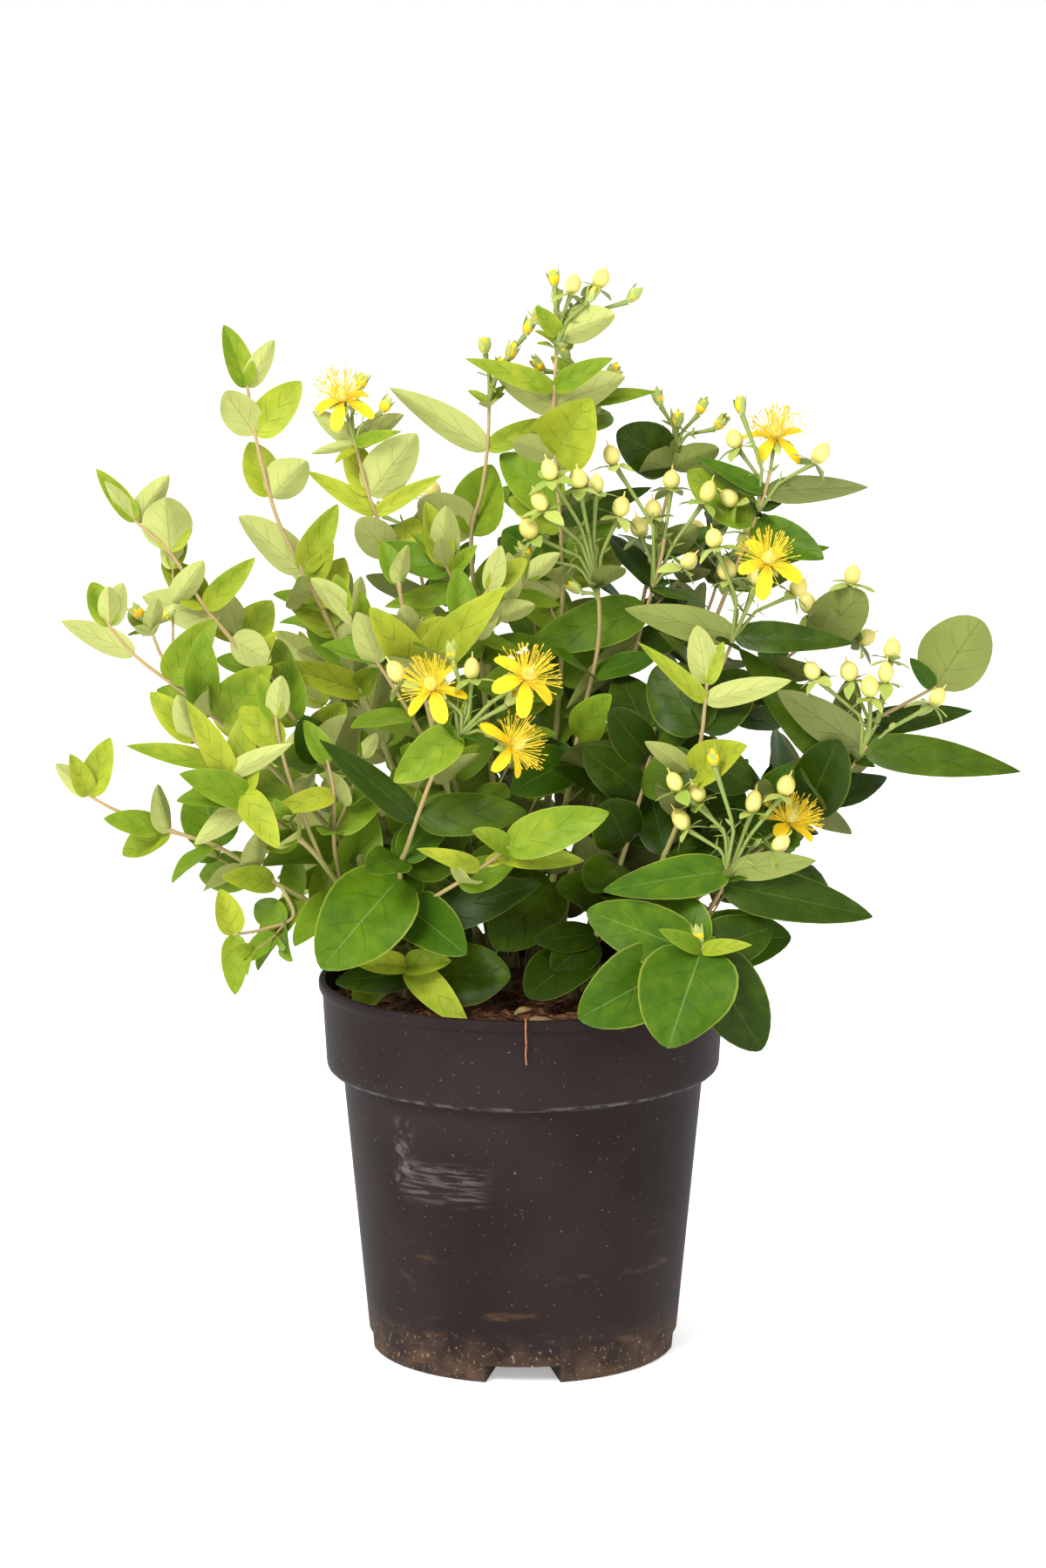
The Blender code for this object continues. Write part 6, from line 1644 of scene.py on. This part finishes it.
def chip_rows(rng):
    """Rows for the blades of coir chips that lie on the soil inside the pot."""
    n = CHIPS
    radius, x, y = strewn(n, 94, rng)
    spin, tilt = rng.uniform(0, 2 * np.pi, n), rng.uniform(-0.25, 0.35, n)
    out = np.stack([np.cos(spin) * np.cos(tilt), np.sin(spin) * np.cos(tilt), np.sin(tilt)],
                   axis=-1)
    lean = unit(np.stack([rng.normal(0, 0.35, n), rng.normal(0, 0.35, n), np.ones(n)], axis=-1))
    face = square_part(lean, out)
    length = rng.uniform(2.5, 9.0, n)
    foot = np.stack([x, y, soil_top(x, y) + 0.5], axis=-1)
    rest = np.stack([length, rng.uniform(0.2, 0.5, n), rng.uniform(-0.1, 0.35, n),
                     rng.uniform(-0.3, 0.5, n), 0 * x, rng.uniform(0, 0.2, n), rng.random(n),
                     rng.uniform(-0.8, 0.8, n)], axis=-1)
    return np.concatenate([foot, out, face, rest], axis=1)[radius + length < CHIP_REACH]


def fibre_paths(rng):
    """Bent fibres that lie on the soil, each a little arched."""
    m = FIBRES
    _, x, y = strewn(m, 90, rng)
    spin, t = rng.uniform(0, 2 * np.pi, m)[:, None], np.linspace(0, 1, 9)[None, :]
    length = rng.uniform(8, 20, m)[:, None]
    bend = spin + rng.uniform(-1.6, 1.6, (m, 1)) * t
    x, y = x[:, None] + length * t * np.cos(bend), y[:, None] + length * t * np.sin(bend)
    held = np.minimum(1, FIBRE_REACH / np.hypot(x, y))
    x, y = x * held, y * held
    z = soil_top(x, y) + 0.4 + 1.6 * np.sin(np.pi * t) * rng.random((m, 1))
    return np.stack([x, y, z], axis=-1)


def build_chips(look):
    """Coir chips and fibres on the soil, and one thread that hangs over the rim."""
    rng = np.random.default_rng(31)
    rows = chip_rows(rng)
    skin = Skin()
    add_blades(skin, rows, rng.random(len(rows)), 6, 3, 0.25, 0.35, 0.9)
    skin.add(tubes(fibre_paths(rng), 0.22, 4), rng.random(FIBRES))
    skin.add(tubes(np.array(STRAND)[None], 0.35, 6), 0.9)
    skin.build("soil_chips", look, ["soil"], 60)


def build_flakes(look):
    """Two curled straw-coloured flakes on the soil at the front."""
    root = np.array([(-4.0, -66.0, 180.0), (3.0, -73.0, 179.0)])
    out = unit(np.array([(0.93, 0.30, 0.2), (0.97, -0.2, 0.1)]))
    face = square_part(np.array([(-0.1, -0.3, 0.95), (0.0, -0.45, 0.9)]), out)
    rest = np.array([(16, 0.34, 0.3, 0.9, 0, 0.2, 0.3, 0.9),
                     (13, 0.32, 0.25, 0.7, 0, 0.2, 0.7, -0.8)])
    skin = Skin()
    add_blades(skin, np.concatenate([root, out, face, rest], axis=1), 0.5, 10, 5, 0.4, 0.5, 0.6)
    skin.build("soil_flakes", look, ["soil"], 60)


# Materials

class Wire:
    """A socket that a material reads, with arithmetic that adds the nodes it needs."""

    def __init__(self, look, socket):
        self.look, self.socket = look, socket

    def combine(self, operation, first, second=0.0):
        """The result of a sum on two values or sockets."""
        return self.look.node("ShaderNodeMath", {"operation": operation},
                              {0: first, 1: second})

    def __add__(self, other):
        return self.combine("ADD", self, other)

    def __sub__(self, other):
        return self.combine("SUBTRACT", self, other)

    def __rsub__(self, other):
        return self.combine("SUBTRACT", other, self)

    def __mul__(self, other):
        return self.combine("MULTIPLY", self, other)

    __radd__, __rmul__ = __add__, __mul__

    def __abs__(self):
        return self.combine("ABSOLUTE", self)

    def __gt__(self, other):
        return self.combine("GREATER_THAN", self, other)

    def __mod__(self, other):
        return self.combine("FLOORED_MODULO", self, other)


class Look:
    """A material that is written as expressions."""

    def __init__(self, name, roughness=0.5, **settings):
        self.material = bpy.data.materials.new(name)
        self.material.use_nodes = True
        self.tree = self.material.node_tree
        self.shader = self.tree.nodes["Principled BSDF"]
        self.shader.inputs["Roughness"].default_value = roughness
        for socket, value in settings.items():
            self.shader.inputs[socket.replace("_", " ")].default_value = value

    def node(self, kind, settings=None, inputs=None, output=0):
        """A node with its settings, then the values or links of its sockets. Gives an output."""
        made = self.tree.nodes.new(kind)
        for name, value in (settings or {}).items():
            setattr(made, name, value)
        for socket, value in (inputs or {}).items():
            if isinstance(value, Wire):
                self.tree.links.new(value.socket, made.inputs[socket])
            else:
                made.inputs[socket].default_value = value
        return Wire(self, made.outputs[output])

    def place(self):
        """Object coordinates, in metres."""
        return self.node("ShaderNodeTexCoord", output="Object")

    def axes(self, vector):
        """The three numbers of a vector."""
        split = self.node("ShaderNodeSeparateXYZ", inputs={0: vector})
        return [Wire(self, output) for output in split.socket.node.outputs]

    def skin(self):
        """U and V of the piece's own map."""
        return self.axes(self.node("ShaderNodeUVMap", {"uv_map": "skin"}))[:2]

    def tone(self):
        """The tone that each leaf, stalk or berry has been dealt."""
        return self.node("ShaderNodeAttribute", {"attribute_name": "tone"}, output="Fac")

    def noise(self, scale, detail=2.0, vector=None, rough=0.5, stretch=None):
        """Even noise between 0 and 1 over Object coordinates, in cells per metre."""
        vector = vector or self.place()
        if stretch:
            vector = self.node("ShaderNodeVectorMath", {"operation": "MULTIPLY"},
                               {0: vector, 1: stretch})
        return self.node("ShaderNodeTexNoise", {}, {"Vector": vector, "Scale": scale,
                                                    "Detail": detail, "Roughness": rough})

    def ease(self, value, low, high, first=0.0, last=1.0):
        """A smooth step from first to last as the value goes from low to high."""
        return self.node("ShaderNodeMapRange", {"interpolation_type": "SMOOTHSTEP"},
                         {"Value": value, "From Min": low, "From Max": high, "To Min": first,
                          "To Max": last})

    def mix(self, share, first, second):
        """A colour between two."""
        first = first if isinstance(first, Wire) else (*first, 1.0)
        second = second if isinstance(second, Wire) else (*second, 1.0)
        return self.node("ShaderNodeMix", {"data_type": "RGBA"},
                         {0: share, 6: first, 7: second}, 2)

    def finish(self, color, roughness=None, height=None, depth=0.0004, strength=0.5):
        """Links the colour, the roughness and the relief, and gives the material."""
        self.tree.links.new(color.socket, self.shader.inputs["Base Color"])
        if roughness:
            self.tree.links.new(roughness.socket, self.shader.inputs["Roughness"])
        if height:
            bump = self.node("ShaderNodeBump", {}, {"Strength": strength, "Distance": depth,
                                                    "Height": height})
            self.tree.links.new(bump.socket, self.shader.inputs["Normal"])
        return self.material


def leaf_look(name, old, young, under, margin, rib, gloss):
    """A leaf: its upper side from old to young by its tone, a pale lower side, a fine midrib,
    arching side veins and a thin pale margin."""
    look = Look(name, Specular_IOR_Level=LEAF_SHINE)
    u, v = look.skin()
    tone = look.tone()
    below = u > 1.5
    off = abs(u - below * 2 - 0.5) * 2
    patchy = look.noise(55, 3)
    fine = look.noise(420, 2)
    midrib = look.ease(off, 0.008, 0.036, 1.0, 0.0)
    cell = abs((v * 5.5 - off * 1.25 + patchy * 0.5) % 1.0 - 0.5) * 2
    vein = look.ease(cell, 0.88, 0.99) * look.ease(off, 0.92, 0.35)
    edge = look.ease(off, 0.93, 0.99)
    mottled = look.noise(150, 3)
    age = look.ease(tone + (patchy - 0.5) * 0.7 + (mottled - 0.5) * 0.7, 0.0, 1.0)
    top = look.mix(age, old, young)
    top = look.mix(vein * 0.30, top, tuple(c * 0.60 for c in old))
    top = look.mix(midrib * 0.26, top, rib)
    top = look.mix(edge * 0.35, top, margin)
    low = look.mix(look.ease(patchy, 0.3, 0.7) * 0.5, under, tuple(c * 0.86 for c in under))
    low = look.mix(vein * 0.28 + midrib * 0.5, low, tuple(c * 0.60 for c in under))
    color = look.mix(below, top, low)
    rough = below * 0.16 + gloss + (fine - 0.5) * 0.1
    relief = fine * 0.10 + mottled * 0.6 + (vein + midrib) * (below * 1.6 - 0.8)
    return look.finish(color, rough, relief, 0.0004, 0.6)


def stem_look():
    """Stems: brown at the foot, pale green-beige above, pinkish brown towards the tips, and
    fresh green on the stalks of the heads."""
    look = Look("stem bark", Specular_IOR_Level=0.3)
    tone = look.tone()
    streak = look.noise(180, 3, stretch=(1.0, 1.0, 0.12))
    speck = look.noise(900, 2)
    color = look.mix(look.ease(tone, 0.0, 0.28), (0.18, 0.145, 0.055), (0.30, 0.30, 0.085))
    color = look.mix(look.ease(tone, 0.35, 0.85), color, (0.36, 0.26, 0.11))
    color = look.mix(look.ease(tone, 1.05, 1.2), color, (0.20, 0.26, 0.055))
    dark = look.mix(look.ease(streak, 0.4, 0.8) * 0.3, color, (0.20, 0.16, 0.06))
    return look.finish(dark, 0.62 + (speck - 0.5) * 0.2, streak * 0.6 + speck * 0.4, 0.0005, 0.7)


def berry_look():
    """Berries: cream at the shoulders, yellower towards the beak, with a soft gloss."""
    look = Look("berry skin", Specular_IOR_Level=0.45, Coat_Weight=0.15, Coat_Roughness=0.3)
    tone = look.tone()
    cloud = look.noise(300, 2)
    color = look.mix(look.ease(tone, 0.1, 0.8), (0.67, 0.59, 0.17), (0.60, 0.49, 0.11))
    color = look.mix(look.ease(cloud, 0.45, 0.75) * 0.35, color, (0.50, 0.50, 0.16))
    color = look.mix(look.ease(tone, 0.62, 0.95) * 0.25, color, (0.40, 0.32, 0.07))
    return look.finish(color, 0.36 + cloud * 0.12, cloud, 0.0002, 0.3)


def sepal_look():
    """Sepals and bracts: soft green with paler edges."""
    look = Look("sepal green", Specular_IOR_Level=0.35)
    u, _ = look.skin()
    below = u > 1.5
    off = abs(u - below * 2 - 0.5) * 2
    tone = look.tone()
    fine = look.noise(500, 2)
    color = look.mix(look.ease(tone + (fine - 0.5) * 0.5, 0.0, 1.0), (0.22, 0.31, 0.04),
                     (0.38, 0.43, 0.09))
    color = look.mix(look.ease(off, 0.75, 1.0) * 0.4, color, (0.44, 0.46, 0.14))
    color = look.mix(below * 0.5, color, (0.34, 0.39, 0.12))
    return look.finish(color, 0.52 + (fine - 0.5) * 0.1, fine, 0.0002, 0.4)


def petal_look():
    """Petals: clear golden yellow with fine veins, deeper towards the foot."""
    look = Look("petal yellow", Specular_IOR_Level=0.3)
    u, v = look.skin()
    vein = look.noise(1.0, 2, look.node("ShaderNodeCombineXYZ", {}, {0: u * 26, 1: v * 1.6}))
    color = look.mix(look.ease(v, 0.0, 0.6), (0.66, 0.34, 0.004), (0.78, 0.54, 0.007))
    color = look.mix(look.ease(vein, 0.45, 0.75) * 0.35, color, (0.76, 0.42, 0.004))
    return look.finish(color, 0.55 + vein * 0.1, vein, 0.0002, 0.5)


def stamen_look():
    """Stamens: yellow threads with golden brown anthers, round a pale green ovary."""
    look = Look("stamen gold", Specular_IOR_Level=0.3)
    tone = look.tone()
    fine = look.noise(600, 1)
    color = look.mix(look.ease(tone, 0.3, 0.9), (0.80, 0.62, 0.030), (0.68, 0.42, 0.014))
    color = look.mix(look.ease(tone, -0.5, -0.7), color, (0.62, 0.56, 0.17))
    color = look.mix(fine * 0.2, color, (0.85, 0.70, 0.08))
    return look.finish(color, 0.55 + fine * 0.1)


def soil_look():
    """Damp coir soil: dark red-brown crumbs with lighter fibres among them."""
    look = Look("coir soil", Specular_IOR_Level=0.2)
    coarse, fine = look.noise(160, 4), look.noise(900, 3)
    color = look.mix(look.ease(coarse, 0.3, 0.7), (0.035, 0.014, 0.007), (0.15, 0.06, 0.025))
    color = look.mix(look.ease(fine, 0.55, 0.72) * 0.6, color, (0.30, 0.14, 0.06))
    return look.finish(color, 0.88 + (fine - 0.5) * 0.15, coarse + fine * 0.6, 0.0015, 0.9)


def chip_look():
    """Coir chips: from dark brown to bright orange-brown by tone, grained along their length."""
    look = Look("coir chips", Specular_IOR_Level=0.25)
    tone = look.tone()
    grain = look.noise(700, 3)
    color = look.mix(look.ease(tone, 0.35, 1.0), (0.075, 0.03, 0.014), (0.42, 0.17, 0.06))
    color = look.mix(look.ease(grain, 0.4, 0.7) * 0.5, color, (0.05, 0.02, 0.01))
    return look.finish(color, 0.8 + (grain - 0.5) * 0.2, grain, 0.0006, 0.7)


def straw_look():
    """Dry straw-coloured flakes."""
    look = Look("dry flake", Specular_IOR_Level=0.3)
    grain = look.noise(400, 3, stretch=(0.3, 1.0, 1.0))
    color = look.mix(look.ease(grain, 0.3, 0.7), (0.26, 0.17, 0.07), (0.14, 0.085, 0.035))
    return look.finish(color, 0.6 + grain * 0.1, grain, 0.0006, 0.6)


def pot_look():
    """Charcoal plastic with a dull skin: dusty specks, a pale line under the band that is partly
    dusty and partly a painted highlight, a dragged pale scuff on the left of the front, faint
    rust-coloured stains and dried dirt at the foot."""
    look = Look("pot plastic", Specular_IOR_Level=0.06)
    x, y, z = look.axes(look.place())
    broad, fine = look.noise(14, 3), look.noise(1500, 2)
    streaky = look.noise(60, 4, stretch=(1.0, 1.0, 9.0))
    color = look.mix(look.ease(broad, 0.3, 0.7), (0.0118, 0.0072, 0.0068),
                     (0.0195, 0.0130, 0.0124))
    front = look.ease(y, -0.02, -0.05)
    box = (look.ease(x, -0.062, -0.052) * look.ease(x, -0.012, -0.028)
           * look.ease(z, 0.086, 0.094) * look.ease(z, 0.112, 0.106))
    smear = box * look.ease(streaky, 0.42, 0.62)
    tail = (look.ease(x, -0.063, -0.060) * look.ease(x, -0.050, -0.057)
            * look.ease(z, 0.094, 0.098) * look.ease(z, 0.134, 0.120))
    tail = tail * look.ease(look.noise(220, 3), 0.42, 0.62)
    color = look.mix((smear * 0.36 + tail * 0.36) * front, color, (0.15, 0.135, 0.135))
    rust = look.noise(30, 4, stretch=(1.0, 1.0, 4.0))
    low = look.ease(z, 0.085, 0.055) * look.ease(rust, 0.60, 0.74)
    color = look.mix(low * 0.30, color, (0.16, 0.08, 0.035))
    speck = look.noise(640, 2, rough=0.3)
    color = look.mix(look.ease(speck, 0.73, 0.78) * 0.45, color, (0.18, 0.15, 0.14))
    # A pale line round the band's lower edge: partly dusty, partly a painted highlight.
    line = look.ease(z, 0.1375, 0.1395) * look.ease(z, 0.1425, 0.1405)
    dust_and_highlight = line * look.ease(look.noise(120, 3), 0.40, 0.62)
    color = look.mix(dust_and_highlight * 0.42, color, (0.20, 0.185, 0.18))
    foot = look.ease(z, 0.030, 0.002)
    dirt = foot * look.ease(look.noise(90, 4), 0.22, 0.80)
    color = look.mix(dirt * 0.55, color, (0.13, 0.078, 0.046))
    crumbs = foot * look.ease(look.noise(520, 3), 0.60, 0.72)
    color = look.mix(crumbs * 0.7, color, (0.34, 0.25, 0.16))
    rough = 0.50 + broad * 0.12 + (smear + dirt + dust_and_highlight) * 0.2
    return look.finish(color, rough, fine * 0.35 + broad * 0.5 + crumbs * 1.5, 0.0003, 0.5)


# Studio

def build_floor():
    """A plain white floor that glows a little, so that the shadow on it stays faint."""
    mesh = bpy.data.meshes.new("floor")
    far = FLOOR_REACH
    mesh.from_pydata([(-far, -far, 0), (far, -far, 0), (far, far, 0), (-far, far, 0)], [],
                     [(0, 1, 2, 3)])
    look = Look("studio floor", 0.9)
    look.shader.inputs["Base Color"].default_value = (1, 1, 1, 1)
    look.shader.inputs["Emission Color"].default_value = (1, 1, 1, 1)
    look.shader.inputs["Emission Strength"].default_value = FLOOR_GLOW
    mesh.materials.append(look.material)
    floor = link("floor", mesh)


def build_light():
    """A white world, a soft key light from the left and above, and a weak fill light."""
    world = bpy.data.worlds.new("studio")
    world.use_nodes = True
    world.node_tree.nodes["Background"].inputs["Color"].default_value = (1, 1, 1, 1)
    world.node_tree.nodes["Background"].inputs["Strength"].default_value = 1.0
    bpy.context.scene.world = world
    for name, place, size, power in LIGHTS:
        lamp = bpy.data.lights.new(name, "AREA")
        lamp.size, lamp.energy = size, power
        light = link(name, lamp)
        light.location = place
        aim = LIGHT_AIM - Vector(place)
        light.rotation_euler = aim.to_track_quat("-Z", "Y").to_euler()


def build_camera():
    """The photograph's camera: a little above the plant, looking down on it."""
    lens = bpy.data.cameras.new("camera")
    lens.sensor_fit = "VERTICAL"
    lens.sensor_height = CAMERA_SENSOR
    lens.lens = CAMERA_LENS
    camera = link("camera", lens)
    camera.location = EYE * MM
    camera.rotation_euler = (math.pi / 2 - CAMERA_TILT, 0, 0)
    bpy.context.scene.camera = camera
    bpy.context.scene.view_settings.view_transform = "Standard"


def foliage_looks():
    """The three kinds of foliage."""
    margin = (0.40, 0.42, 0.06)
    return {
        "fresh": leaf_look("fresh foliage", (0.110, 0.190, 0.009), (0.30, 0.33, 0.024),
                           (0.36, 0.39, 0.115), margin, (0.33, 0.42, 0.10), 0.46),
        "mid": leaf_look("green foliage", (0.032, 0.080, 0.003), (0.100, 0.180, 0.006),
                         (0.185, 0.215, 0.05), margin, (0.25, 0.36, 0.10), 0.42),
        "deep": leaf_look("deep foliage", (0.018, 0.038, 0.0015), (0.060, 0.105, 0.004),
                          (0.14, 0.16, 0.045), (0.18, 0.24, 0.03), (0.12, 0.19, 0.04), 0.38),
    }


def build_plant():
    """The plant as its rule grows it, and then what grows beyond the solids."""
    space = Space()
    grown = grow_all(space)
    extras = [grow_extra(each, space) for each in grown]
    bark = stem_look()
    build_leaves(grown, extras, foliage_looks())
    build_stems(grown, bark)
    build_twigs(grown, extras, bark)
    rng = np.random.default_rng(11)
    build_berries(grown, berry_look(), rng)
    build_sepals(grown, sepal_look(), rng)
    rng = np.random.default_rng(23)
    build_petals(grown, petal_look(), rng)
    build_stamens(grown, stamen_look(), rng)


def main():
    """Builds the studio, the pot, the soil and the plant."""
    build_floor()
    build_light()
    build_camera()
    build_pot(pot_look())
    build_soil(soil_look())
    build_chips(chip_look())
    build_flakes(straw_look())
    build_plant()
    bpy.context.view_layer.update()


main()
